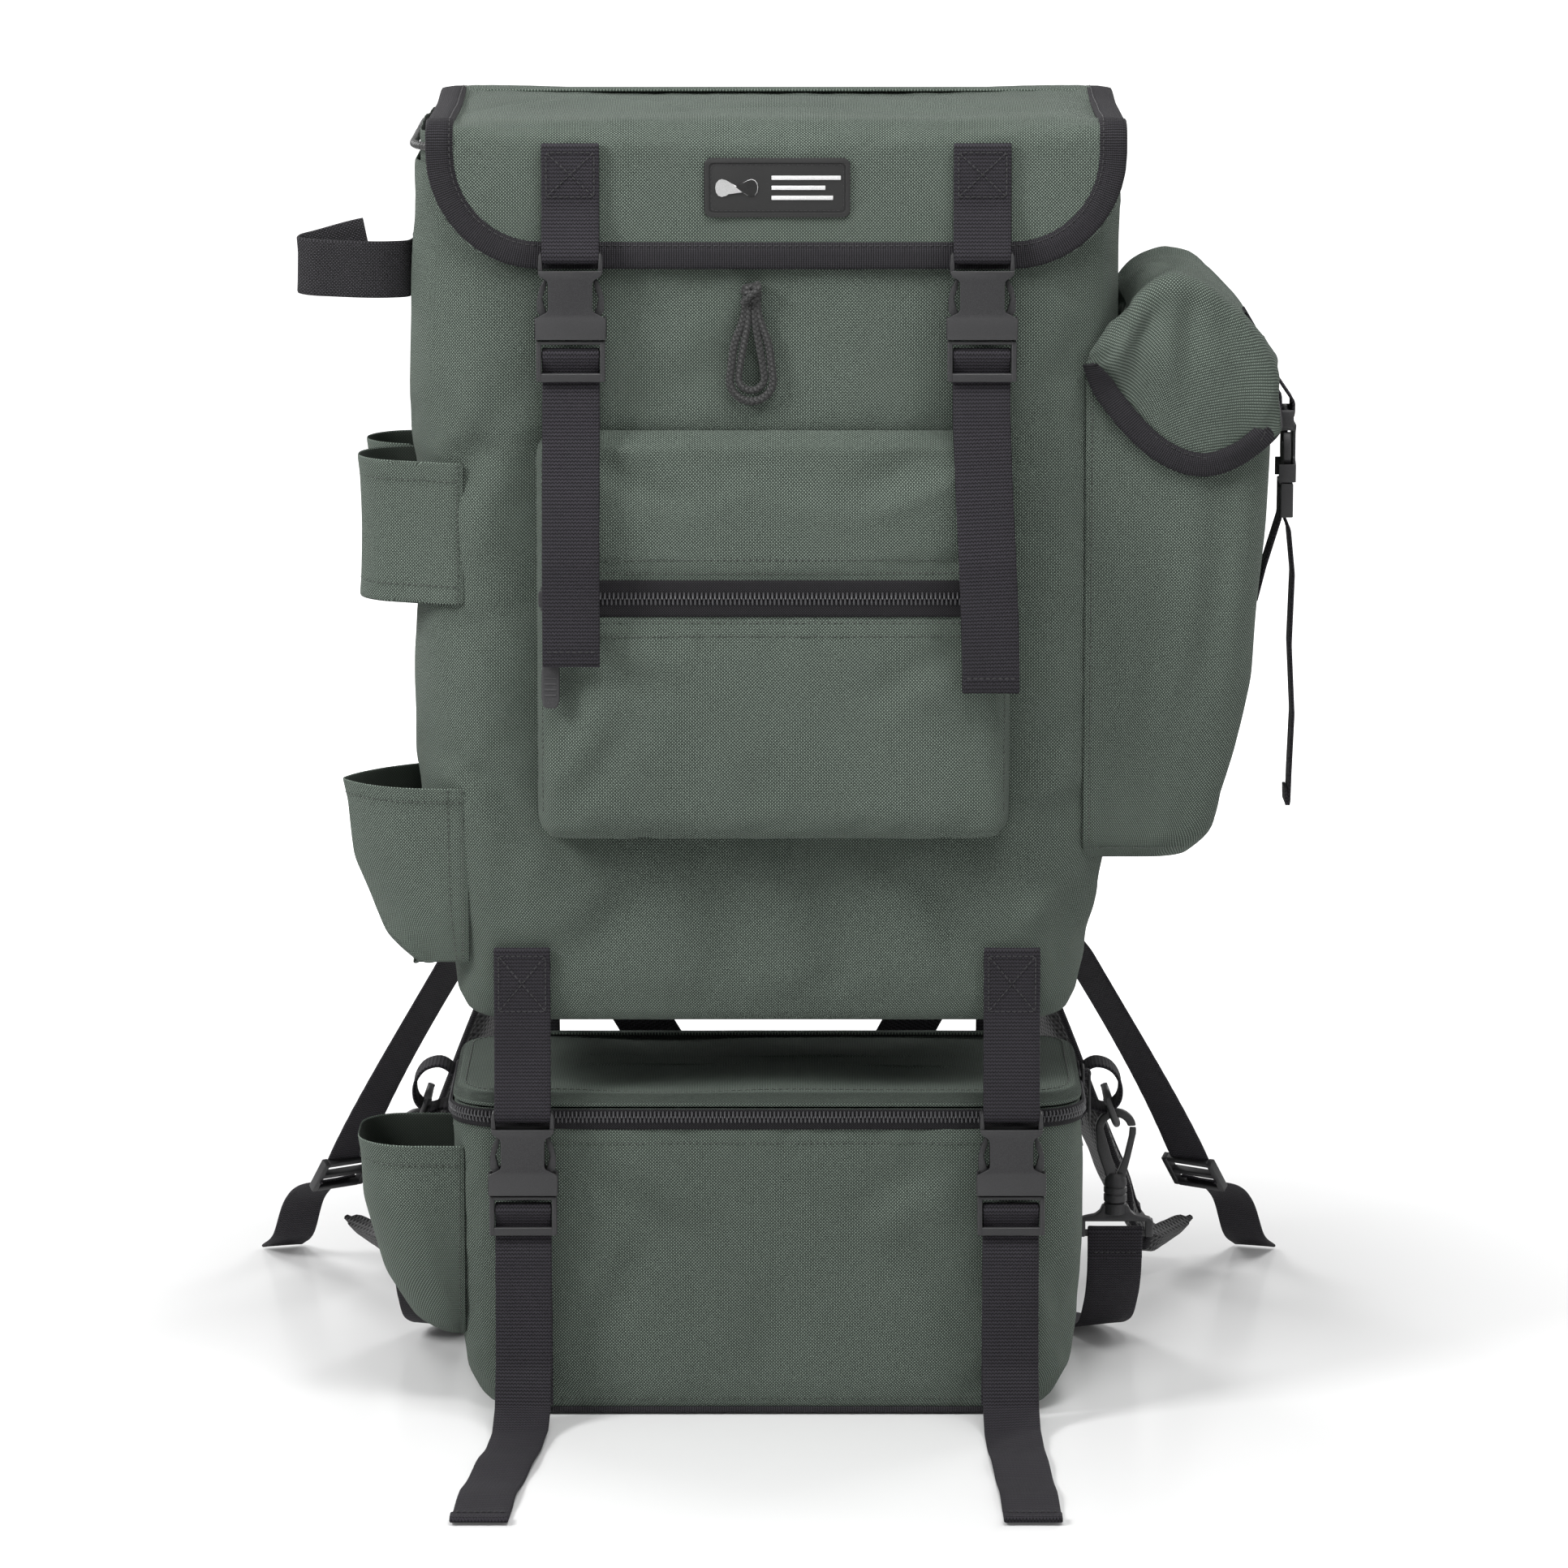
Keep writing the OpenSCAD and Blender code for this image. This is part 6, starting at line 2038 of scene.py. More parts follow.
def rod_strap():
    """Hook-and-loop strap that closes round the rods, lying folded back on itself."""
    low, high = box_mm("rod_strap")
    z = (low[2] + high[2]) / 2
    plan = [(-187.3, -14), (-187.3, -38), (-190, -46), (-198, -50.5), (-228, -53), (-241, -52.5)]
    plan += [(-246.5, -48), (-244, -43), (-236, -42), (-210, -43.5)]
    line = smooth(plan, 2.0)
    walked = lengths(line)
    rise = 11.0 * ease(walked, walked[-1] - 46, walked[-1] + 12)
    sag = -2.0 * np.sin(np.clip(walked / walked[-1], 0, 1) * math.pi) - 0.04 * (line[:, 0] + 187)
    path = np.column_stack([line, z + rise + sag - 2.0])
    faces = Piece()
    faces.tube(path, (0, 0, 1), strap_outline(30, 1.8), 0)
    place_piece(
        faces, "rod_strap_tape", "rucksack", [HOOK_TAPE, BLACK_THREAD], ["rod_strap"]
    )


# ------------------------------------------------------------------ lower bag's zip and side pocket
def lower_ring(grow, y_end):
    """The lower bag's outline from above along its zip: rear left, front, rear right."""
    half_w = LOWER_HIGH[0]
    ring = bag_ring(half_w + grow, LOWER_LOW[1] - grow, LOWER_HIGH[1] + grow, 28 + grow, 24 + grow)
    middle = int(np.argmin(ring[:, 1] + np.abs(ring[:, 0]) * 0.001))
    ring = np.roll(ring, len(ring) // 2 - middle, axis=0)
    return ring[ring[:, 1] <= y_end]


def lower_zip():
    low, high = box_mm("lower_zip")
    end = high[1]
    rings = []
    levels = np.linspace(low[2] - 1.5, high[2] - 0.2, 11)
    for z in levels:
        share = (z - levels[0]) / (levels[-1] - levels[0])
        bulge = 0.5 + 0.9 * math.sin(math.pi * share)
        ring = lower_ring(bulge, end)
        rise = 1.2 * ease(np.abs(ring[:, 0]), 90, 150) * (1 - share)
        rings.append(np.column_stack([ring, z + rise]))
    count = min(len(r) for r in rings)
    rings = np.array([r[:count] for r in rings])
    around = lengths(rings[5])
    faces = Piece()
    faces.grid(rings, [[(u, z) for u in around] for z in levels])
    place_piece(faces, "lower_zip_tape", "lower_bag", [TAPE], wall=0.5)
    ring = lower_ring(1.7, end - 1)
    line = walk(np.column_stack([ring, np.full(len(ring), (low[2] + high[2]) / 2 + 0.6)]), 1.1)
    ahead = unit(np.gradient(line, axis=0))
    outward = np.column_stack([ahead[:, 1], -ahead[:, 0], ahead[:, 0] * 0])
    teeth = Piece()
    for i in range(0, len(line) - 1):
        s = 1 if i % 2 else -1
        up = np.array([0, 0, s])
        bend = [
            line[i] + up * 2.9 - outward[i] * 0.5, line[i] + up * 1.6 + outward[i] * 0.3,
            line[i] - up * 0.3
        ]
        teeth.tube(bend, ahead[i], circle_outline(0.62, 6), scale=[0.8, 1.0, 0.75])
    place_piece(teeth, "lower_zip_coil", "lower_bag", [COIL], ["lower_zip"])


def lower_seams(bag):
    """Stitching under the zip and above the base, and the piping round the base."""
    tree = bag.tree()
    seams = Piece()
    for z, low_x in ((152.5, 160), (150.0, 0)):
        if low_x:
            for s in (-1, 1):
                sew(seams, tree, [(s * 168.5, 44, z), (s * 168.5, 8, z)], (-s, 0, 0), radius=0.25)
                sew(seams, tree, [(s * 168.5, 4, z), (s * 168.5, -50, z)], (-s, 0, 0), radius=0.25)
        else:
            sew(seams, tree, [(-140, -82, z), (140, -82, z)], (0, 1, 0), radius=0.25)
    sew(seams, tree, [(-112, -82, 9), (112, -82, 9)], (0, 1, 0), radius=0.25)
    sew(seams, tree, [(-112, 66, 9), (112, 66, 9)], (0, -1, 0), radius=0.25)
    place_piece(seams, "lower_bag_stitching", "lower_bag", [OLIVE_THREAD])
    ring = bag_ring(141.5, LOWER_LOW[1] + 1.0, LOWER_HIGH[1] - 1.0, 27, 23)
    line = walk(np.column_stack([ring, np.full(len(ring), 2.6)]), 2.5)
    inward = unit(np.column_stack([-line[:, 0], -line[:, 1], line[:, 0] * 0]))
    piping = Piece()
    piping.tube(line, inward, circle_outline(1.7, 10), closed=True)
    place_piece(piping, "lower_bag_piping", "lower_bag", [BINDING])


def lid_seams(lid):
    tree = lid.tree()
    seams = Piece()
    half_w = LID_HIGH[0] - 7
    ring = bag_ring(half_w, LID_LOW[1] + 7, LID_HIGH[1] - 7, 21, 17)
    line = np.column_stack([ring, np.full(len(ring), LID_HIGH[2])])
    sew(seams, tree, np.concatenate([line, line[:1]]), (0, 0, -1), radius=0.25)
    place_piece(seams, "lid_stitching", "lower_lid", [OLIVE_THREAD])


def lower_slider():
    low, high = box_mm("lower_zip_slider")
    x, y, z = low[0], (low[1] + high[1]) / 2, high[2] - 6.0
    place = matrix(x, y, z, about_z=90)
    faces = Piece()
    half = [(3.2, -5.8), (4.6, -5.2), (4.8, -1.0), (5.4, 2.4), (5.4, 5.0), (4.2, 5.8)]
    turned = place @ Matrix.Rotation(math.radians(90), 4, "Y")
    faces.solid(solid_plate(both_sides(half), -1.6, -0.2, 0.4, steps=3), turned)
    hoop = [
        (0, -1.4, 3.0), (0, -3.2, 3.2), (0, -4.4, 2.0), (0, -4.4, -0.6), (0, -3.2, -1.8),
        (0, -1.4, -1.8)
    ]
    faces.tube(
        [tuple(place @ Vector(q)) for q in smooth(hoop, 0.8)],
        tuple(place.to_3x3() @ Vector((1, 0, 0))), circle_outline(0.8, 8)
    )
    tab = [(1.8, -26), (2.6, -25), (2.9, -21), (2.9, -10), (2.2, -3), (1.6, 1.2)]
    hole = [(1.0, -3.2), (1.0, -0.4), (-1.0, -0.4), (-1.0, -3.2)]
    faces.solid(solid_plate(both_sides(tab), -5.2, -3.9, 0.4, holes=[hole]), place)
    place_piece(
        faces, "lower_zip_pull", "lower_zip_slider", [PULL], ["lower_zip_slider"],
        sharp=40
    )


LOWER_POUCH = [(40, -173.0), (46, -190.0), (70, -207.0), (112, -219.0), (146, -221.0)]


def lower_side_pocket():
    low, high = box_mm("lower_side_pocket")
    y0, y1 = low[1] + 0.6, high[1] - 0.6

    def outline(z):
        out = float(np.interp(z, [p[0] for p in LOWER_POUCH], [p[1] for p in LOWER_POUCH]))
        shut = 1 - float(ease(z, 40, 52))
        start, rear = -163.2, -169.8
        r0 = min(30.0, (start - out) * 0.75)
        r1 = min(24.0, (rear - out) * 0.75)
        front = y0 + 5 * shut
        line = [(start + 1.4, front + 0.2), (start - 2, front)]
        line += [(x, front) for x in np.linspace(start - 2, out + r0, 8)[1:]]
        line += arc((out + r0, front + r0), r0, 270, 180, 7)[1:]
        line += [(out, y) for y in np.linspace(front + r0, y1 - r1, 5)[1:]]
        line += arc((out + r1, y1 - r1), r1, 180, 90, 6)[1:]
        line += [(x, y1) for x in np.linspace(out + r1, rear, 5)[1:]]
        return line

    outline.body = "lower_bag"
    node = "lower_side_pocket"
    grid, outward, _ = pouch(
        "lower_side_pocket_cloth", node, outline, low[2] + 0.5, high[2], 20, seed=91, hem=9.0
    )
    seams = Piece()
    stitches(seams, walk(grid[-3, 1:-1] + outward[-3, 1:-1] * 0.55, 2.5), (-0.3, -0.9, 0), radius=0.25)
    stitches(seams, walk(grid[2:, 1] + outward[2:, 1] * 0.3, 2.5), (0, -1, 0), radius=0.25)
    place_piece(seams, "lower_side_pocket_stitching", "lower_bag", [OLIVE_THREAD])


# ------------------------------------------------------------------ carry strap with its hooks and rings
HOOK_LOW, HOOK_HIGH = box_mm("hook_right")
HOOK_X = (HOOK_LOW[0] + HOOK_HIGH[0]) / 2
HOOK_Y = (HOOK_LOW[1] + HOOK_HIGH[1]) / 2


def carry_loop_parts():
    path = [(170.8, 122), (171.4, 140), (176, 145.5), (186, 143.6), (192.2, 148), (193.6, 158)]
    path += [(188, 167.2), (179, 169.3), (172.0, 164), (171.4, 154)]
    loops, rings = Piece(), Piece()
    for s in (-1, 1):
        line = smooth([(s * x, HOOK_Y, z) for x, z in path], 2.0)
        loops.tube(line, (0, 1, 0), strap_outline(25, 1.8))
        for z in (124.5, 136.0):
            row = [(s * 172.8, HOOK_Y - 11, z), (s * 172.8, HOOK_Y + 11, z)]
            stitches(loops, walk(row, 2.0), (s, 0, 0), 2.1, 0.9, 0.3, slot=1)
        place = matrix(s * 186, HOOK_Y, 151, about_y=-20 * s)
        bar(rings, place, (0, -19, 0), (0, 19, 0), 2.0, 12)
        bow = [(0, 17.3 * math.cos(a), -17.3 * math.sin(a)) for a in np.radians(np.linspace(-6, 186, 25))]
        rings.tube(
            [tuple(place @ Vector(q)) for q in bow], tuple(place.to_3x3() @ Vector((1, 0, 0))),
            circle_outline(2.0, 12)
        )
    materials = [WEBBING, BLACK_THREAD]
    place_piece(loops, "carry_loop_straps", "lower_bag", materials, ["carry_loops"])
    place_piece(
        rings, "carry_loop_rings", "lower_bag", [PLASTIC], ["carry_rings"], sharp=50
    )


def hook(side, s):
    """Swivelling snap hook: grooved barrel, fixed leg with its crook, sprung gate."""
    place = matrix(s * HOOK_X, HOOK_Y, 0)
    faces = Piece()
    heights = [90.3, 91.0, 92.0, 94.6, 95.0, 95.6, 96.0, 98.6, 99.0, 99.6, 100.0, 103.0, 106.5]
    radii = [5.6, 6.3, 6.4, 6.4, 5.8, 5.8, 6.4, 6.4, 5.8, 5.8, 6.4, 6.2, 4.2]
    path = [(s * HOOK_X, HOOK_Y, z) for z in heights]
    faces.tube(path, (1, 0, 0), circle_outline(1.0, 24), scale=radii)
    crook = 131.5
    outer, inner = 11.3, 6.8
    leg = [(-4.6, 102), (1.4, 102), (0.4, 106.5), (-6.8, crook)]
    over = arc((0, crook), inner, 180, 14, 12) + arc((0, crook), outer, 10, 180, 14)
    outline = [(s * x, z) for x, z in leg[1:] + over + [(-10.4, 120), (-4.8, 103)]]
    faces.solid(solid_plate(outline, -2.4, 2.4, 0.9, steps=3), place)
    gate = [
        (1.2, 103.0), (5.0, 103.0), (8.0, 115), (11.1, 129.0), (11.2, 132.2), (7.6, 132.2),
        (7.2, 127.5), (4.6, 116), (1.2, 107.5)
    ]
    faces.solid(solid_plate([(s * x, z) for x, z in gate], -1.7, 1.7, 0.5, steps=3), place)
    name = "hook_" + side
    place_piece(faces, "snap_" + name, name, [PLASTIC], [name], sharp=40)


def hook_base_parts():
    faces = Piece()
    for s in (-1, 1):
        place = matrix(s * HOOK_X, HOOK_Y, 0)
        half = [
            (16.2, 79.6), (20.8, 78.6), (19.4, 81.2), (16.0, 82.2), (11.0, 83.2), (8.4, 85.4),
            (7.0, 88.6)
        ]
        top = [(-across, up) for across, up in half] + half[::-1]
        faces.solid(solid_plate(top, -3.4, 3.4, 0.8, steps=3), place)
        for t in (-1, 1):
            low, high = sorted((t * 16.4, t * 20.9))
            faces.solid(solid_block((low, -3.4, 70.8), (high, 3.4, 80.5), 0.9, 3), place)
        bar(faces, place, (-17, 0, 72.6), (17, 0, 72.6), 2.0, 12)
        neck = [(s * HOOK_X, HOOK_Y, z) for z in (84, 88.4, 89.6, 90.0)]
        faces.tube(neck, (1, 0, 0), circle_outline(1.0, 24), scale=[6.6, 6.6, 6.2, 5.4])
        pin = [(s * HOOK_X, HOOK_Y, z) for z in (89.8, 98.2, 98.4, 102.4)]
        faces.tube(pin, (1, 0, 0), circle_outline(1.0, 16), scale=[2.1, 2.1, 3.8, 3.8])
    place_piece(
        faces, "carry_hook_bases", "lower_bag", [PLASTIC], ["hook_bases"], sharp=40
    )


def level_side(line):
    """Direction across a strap that keeps its width level."""
    ahead = np.gradient(line, axis=0)
    return unit(np.column_stack([ahead[:, 1], -ahead[:, 0], ahead[:, 0] * 0]) + np.array([1e-6, 0, 0]))


def carry_strap():
    x = HOOK_X
    right = [(x, HOOK_Y, 60), (x, HOOK_Y + 7, 48), (x - 1, 54, 28), (187, 76, 10)]
    right += [(175, 101, 2.8), (152, 123, 1.3), (116, 140, 1.3), (62, 150, 1.3), (0, 153, 1.3)]
    path = right + [(-a, b, c) for a, b, c in reversed(right[:-1])]
    line = smooth(path, 3.0)
    walked = lengths(line)
    middle = 1 - within(walked, 130, walked[-1] - 130, 60)
    line[:, 2] += (1 - middle) * (1.4 + 1.2 * np.sin(walked / 31.0))
    faces = Piece()
    faces.tube(line, level_side(line), strap_outline(30, 1.8))
    for s in (-1, 1):
        turn = [(-1.1, 58.5), (-1.5, 66)] + arc((0, 72.5), 3.1, 180, 0, 10) + [(1.5, 66), (1.3, 58.5)]
        loop = [(s * x, HOOK_Y + a, b) for a, b in turn]
        faces.tube(walk(loop, 1.5), (1, 0, 0), strap_outline(30, 1.8))
        row = [(s * x - 12, HOOK_Y - 2.3, 62), (s * x + 12, HOOK_Y - 2.3, 62)]
        stitches(faces, walk(row, 2), (0, -1, 0), 2.1, 0.9, 0.3, slot=1)
    materials = [WEBBING, BLACK_THREAD]
    place_piece(faces, "carry_strap_webbing", "lower_bag", materials, ["carry_strap"])


# ------------------------------------------------------------------ back of the rucksack
QUILT_X = 42
QUILT_ROWS = (346, 431, 516)
QUILT_WIDTH = 5.0


def back_pad():
    xs, rise_x = border_steps(PAD_LOW[0], PAD_HIGH[0], 9.0, 6.0)
    zs, rise_z = border_steps(PAD_LOW[2], PAD_HIGH[2], 9.0, 6.0)
    radius = 30.0
    base = SHELL_HIGH[1] - 0.4
    depth = PAD_HIGH[1] - base
    rows = []
    for i, z in enumerate(zs):
        line = []
        for j, x in enumerate(xs):
            cx = min(max(x, PAD_LOW[0] + radius), PAD_HIGH[0] - radius)
            cz = min(max(z, PAD_LOW[2] + radius), PAD_HIGH[2] - radius)
            a, b = x - cx, z - cz
            far = math.hypot(a, b)
            pull = max(abs(a), abs(b)) / far if far > 1e-6 else 1.0
            channel = math.exp(-(((abs(x) - QUILT_X) / QUILT_WIDTH) ** 2)) * 0.62
            for level in QUILT_ROWS:
                channel = max(channel, math.exp(-(((z - level) / QUILT_WIDTH) ** 2)) * 0.5)
            rise = rise_x[j] * rise_z[i] * (1 - channel)
            line.append((cx + a * pull, base + depth * rise, cz + b * pull))
        rows.append(line)
    us, vs = lengths(np.column_stack([xs, rise_x * 10])), lengths(np.column_stack([zs, rise_z * 10]))
    faces = Piece()
    faces.grid(rows, [[(u, v) for u in us] for v in vs], flip=True)
    p = np.array(faces.points)
    rise = np.outer(rise_z, rise_x).ravel()
    held = np.maximum(1 - ease(rise, 0.0, 0.8), np.exp(-(((np.abs(p[:, 0]) - QUILT_X) / QUILT_WIDTH) ** 2)))
    for level in QUILT_ROWS:
        held = np.maximum(held, np.exp(-(((p[:, 2] - level) / QUILT_WIDTH) ** 2)))
    out = np.tile([0.0, 1.0, 0.0], (len(p), 1))
    moved = settle(faces, held, out, frames=14, pressure=3.0, grow=0.01, cap=2.5, cap_out=1.6)
    faces.points = moved.tolist()
    tree = faces.tree()
    place_piece(faces, "back_padding", "rucksack", [PADDING], ["back_pad"], wall=1.2, rounded=1)
    seams = Piece()
    for x in (-QUILT_X, QUILT_X):
        column = [(x, PAD_LOW[1], PAD_LOW[2] + 10), (x, PAD_LOW[1], PAD_HIGH[2] - 10)]
        sew(seams, tree, column, (0, -1, 0), radius=0.3)
    for z in QUILT_ROWS:
        row = [(PAD_LOW[0] + 8, PAD_LOW[1], z), (PAD_HIGH[0] - 8, PAD_LOW[1], z)]
        sew(seams, tree, row, (0, -1, 0), radius=0.3)
    place_piece(seams, "back_padding_stitching", "rucksack", [BLACK_THREAD])
    edge = []
    for centre, start in (((1, -1), -90), ((1, 1), 0), ((-1, 1), 90), ((-1, -1), 180)):
        cx = centre[0] * (PAD_HIGH[0] - radius)
        cz = (PAD_LOW[2] + PAD_HIGH[2]) / 2 + centre[1] * ((PAD_HIGH[2] - PAD_LOW[2]) / 2 - radius)
        edge += [(x, base + 1.3, z) for x, z in arc((cx, cz), radius + 0.6, start, start + 90, 10)]
    line = walk(edge + edge[:1], 3.0)[:-1]
    piping = Piece()
    piping.tube(line, (0, 1, 0), circle_outline(2.0, 10), closed=True)
    place_piece(piping, "back_padding_piping", "rucksack", [BINDING])


def grab_handle():
    low, high = box_mm("grab_handle")
    z = (low[2] + high[2]) / 2
    y = low[1] + 0.9
    half = [(0, y + 22), (22, y + 17), (40, y + 4), (52, y + 0.6), (74, y + 0.6)]
    path = [(-a, b, z) for a, b in reversed(half[1:])] + [(a, b, z) for a, b in half]
    line = smooth(path, 2.5)
    near = 1 - ease(np.abs(line[:, 0]), 14, 40)
    line[:, 2] -= near * 2.0
    faces = Piece()
    faces.tube(line, (0, 0, 1), strap_outline(25, 2.0))
    for s in (-1, 1):
        box_stitch(faces, y + 1.9, s * 63, z - 9, z + 9, 8, facing=(0, 1, 0))
    materials = [WEBBING, BLACK_THREAD]
    place_piece(faces, "grab_handle_webbing", "rucksack", materials, ["grab_handle"])


def padded_outline(width, thick):
    """Section of a padded strap with a flat bound edge at each side."""
    w, t = width / 2, thick / 2
    half = [(w, 0.0), (w - 0.8, 1.3), (w - 4.5, 1.7), (w - 6.5, 1.9), (w - 10, t * 0.8), (w - 16, t * 0.98)]
    top = half + [(w * 0.25, t), (0, t * 0.97)]
    right = top + [(-x, z) for x, z in reversed(top[:-1])]
    return right + [(x, -z) for x, z in reversed(right[1:-1])]


def shoulder_straps():
    left = [(-45, 110, 598), (-45.5, 116, 575), (-52, 138, 520), (-73, 163, 420), (-108, 188, 300)]
    left += [(-154, 210, 170), (-194, 224, 72), (-212, 227, 32), (-224, 226, 19), (-233, 221, 29)]
    for side, s in (("left", 1), ("right", -1)):
        name = "shoulder_strap_" + side
        line = smooth([(s * x, y, z) for x, y, z in left], 6.0)
        across = level_side(line)
        walked = lengths(line)
        scale = 1.0 - 0.14 * ease(walked, walked[-1] - 90, walked[-1]) - 0.1 * (1 - ease(walked, 0, 25))
        faces = Piece()
        faces.tube(line, across, padded_outline(60, 11), 0, scale=scale)
        ahead = unit(np.gradient(line, axis=0))
        normal = np.cross(ahead, across)
        for t in (-1, 1):
            edge = line + across * (t * 28.6 * scale)[:, None]
            faces.tube(
                edge, across * t, [(-6.0, 1.6), (0.6, 1.5), (1.6, 0.0), (0.6, -1.5), (-6.0, -1.6)], 1
            )
            for u in (-1, 1):
                sewn = line + across * (t * 23.8 * scale)[:, None] + normal * (u * 1.9)
                stitches(faces, sewn[2:-2], normal[2:-2] * u, 2.4, 1.3, 0.26, slot=2)
        web = line[6:-6] + normal[6:-6] * (-5.9 if normal[4][1] < 0 else 5.9)
        faces.tube(web, across[6:-6], strap_outline(25, 1.6), 3)
        materials = [PADDING, BINDING, BLACK_THREAD, WEBBING]
        place_piece(faces, name + "_padding", "rucksack", materials, [name])


LOCK_PLACE = (
    matrix(-245, 200, 66) @ Matrix.Rotation(math.radians(35), 4, "Z")
    @ Matrix.Rotation(math.radians(39.6), 4, "X")
)


def shoulder_adjusters():
    locks = Piece()
    for s in (1, -1):
        place = Matrix.Diagonal((s, 1, 1, 1)) @ LOCK_PLACE
        for t in (-1, 1):
            low, high = sorted((t * 13.2, t * 17.0))
            side = [(low, -12), (high, -12), (high, 12), (low, 12)]
            locks.solid(solid_plate(side, -2.6, 2.6, 0.8, steps=3), place)
        for z, half_t in ((-10.2, 2.8), (0.0, 2.2), (10.2, 2.2)):
            locks.solid(solid_block((-14, -half_t, z - 1.9), (14, half_t, z + 1.9), 1.0, 3), place)
    place_piece(
        locks, "ladder_lock_pair", "rucksack", [PLASTIC], ["ladder_locks"], sharp=40
    )
    base = SHELL_HIGH[1]
    upper = [
        (-160, base + 6, 262), (-160, base + 8, 250), (-160.5, base + 10, 236), (-172, 110, 215),
        (-235, 183, 92), (-243, 196, 73)
    ]
    lower = [(-247, 199, 62), (-256, 209, 66 - 8), (-268, 232, 44), (-278, 258, 14), (-286, 284, 1.8)]
    for side, s in (("left", 1), ("right", -1)):
        faces = Piece()
        for path in (upper, lower):
            line = smooth([(s * x, y, z) for x, y, z in path], 3.0)
            faces.tube(line, level_side(line), strap_outline(25, 1.8))
        name = "shoulder_webbing_" + side
        materials = [WEBBING, BLACK_THREAD]
        place_piece(faces, name + "_strap", "rucksack", materials, [name])


def hip_belt():
    low, high = box_mm("hip_webbing_left")
    y = (low[1] + high[1]) / 2
    left = [(-126, 272), (-43.6, 134.4)]
    right = [(-8, 75.4), (-5, 70.4)] + arc((8.7, 78.6), 16, 211, 331, 14) + [(130, 268)]
    for side, path in (("left", left), ("right", right)):
        line = walk([(a, y, b) for a, b in path], 3.0)
        walked = lengths(line)
        line[:, 1] += 0.5 * np.sin(walked / 24.0)
        ahead = unit(np.gradient(line, axis=0))
        across = np.column_stack([ahead[:, 2], ahead[:, 1] * 0, -ahead[:, 0]])
        faces = Piece()
        faces.tube(line, across, strap_outline(29.6, 1.8))
        top = path[0] if side == "left" else path[-1]
        towards = unit(np.subtract(path[1] if side == "left" else path[-2], top))
        for reach in (8.0, 26.0):
            centre = np.array(top) + towards * reach
            aside = np.array([towards[1], -towards[0]])
            row = [(centre[0] + aside[0] * t, y + 1.6, centre[1] + aside[1] * t) for t in (-12, 12)]
            stitches(faces, walk(row, 2), (0, 1, 0), 2.1, 0.9, 0.3, slot=1)
        materials = [WEBBING, BLACK_THREAD]
        name = "hip_webbing_" + side
        place_piece(faces, name + "_strap", "rucksack", materials, [name])
    faces = Piece()
    place = matrix(-19.8, y, 95, about_y=-31, flip_y=True)
    buckle_body(faces, place, open_back=False)
    buckle_prongs(faces, place)
    place_piece(faces, "hip_belt_buckle", "rucksack", [PLASTIC], ["hip_buckle"], sharp=40)


def drawcord_loop():
    low, high = box_mm("drawcord_loop")
    x, y = (low[0] + high[0]) / 2, (low[1] + high[1]) / 2
    faces = Piece()
    bottom = low[2] + 13.7
    outer = [(x - 2.5, y, 607), (x - 3.6, y, 596), (x - 9, y, 580)]
    outer += [(x + a, y, b) for a, b in arc((0, bottom), 11.4, 165, 375, 18)]
    outer += [(x + 9, y, 580), (x + 3.6, y, 596), (x + 2.5, y, 607)]
    braid(faces, smooth(outer, 1.2), 2.25, (0, 1, 0))
    inner = [(x - 1.2, y - 0.4, 606), (x - 2.0, y - 0.6, 592), (x - 4.4, y - 0.4, 578)]
    inner += [(x + a, y, b) for a, b in arc((0, bottom + 1.2), 6.8, 165, 375, 14)]
    inner += [(x + 4.4, y - 0.4, 578), (x + 2.0, y - 0.6, 592), (x + 1.2, y - 0.4, 606)]
    braid(faces, smooth(inner, 1.2), 2.0, (0, 1, 0))
    for z, radius, tip in ((604.2, 3.5, 10), (607.4, 3.9, -12), (610.4, 3.2, 8)):
        slope = math.tan(math.radians(tip))
        turn = np.radians(np.arange(0, 360, 18))
        ring = [
            (x + radius * math.cos(a), y + radius * 0.8 * math.sin(a), z + radius * math.cos(a) * slope)
            for a in turn
        ]
        braid(faces, ring, 2.0, (0, 0, 1), closed=True)
    cross = [
        (x - 4.5, y - 3.6, 602.0), (x - 1, y - 5.0, 606.0), (x + 3.8, y - 4.2, 610.5),
        (x + 3.0, y - 1, 612.2)
    ]
    braid(faces, smooth(cross, 1.2), 1.9, (0, 1, 0))
    place_piece(faces, "drawcord_pull_loop", "drawcord_loop", [CORD], ["drawcord_loop"])


main_bag()
collar()
drawcord()
top_flap()
flap_binding()
flap_hinge_strip()
badge()
strap_buckle_parts()
hanger_parts()
lower_webbing_parts()
lower_seams(lower_bag())
lid_seams(lower_lid())
lid_hinge_strip()
front_pocket()
front_zip()
pocket_slider()
pocket_pull()
side_pocket()
side_buckle_parts(side_hood())
rod_pocket()
rod_sleeve()
rod_strap()
lower_zip()
lower_slider()
lower_side_pocket()
carry_loop_parts()
hook("left", -1)
hook("right", 1)
hook_base_parts()
carry_strap()
back_pad()
grab_handle()
shoulder_straps()
shoulder_adjusters()
hip_belt()
drawcord_loop()


# ------------------------------------------------------------------ studio
FLOOR_HALF = 40.0
WORLD_LIGHT = 0.33


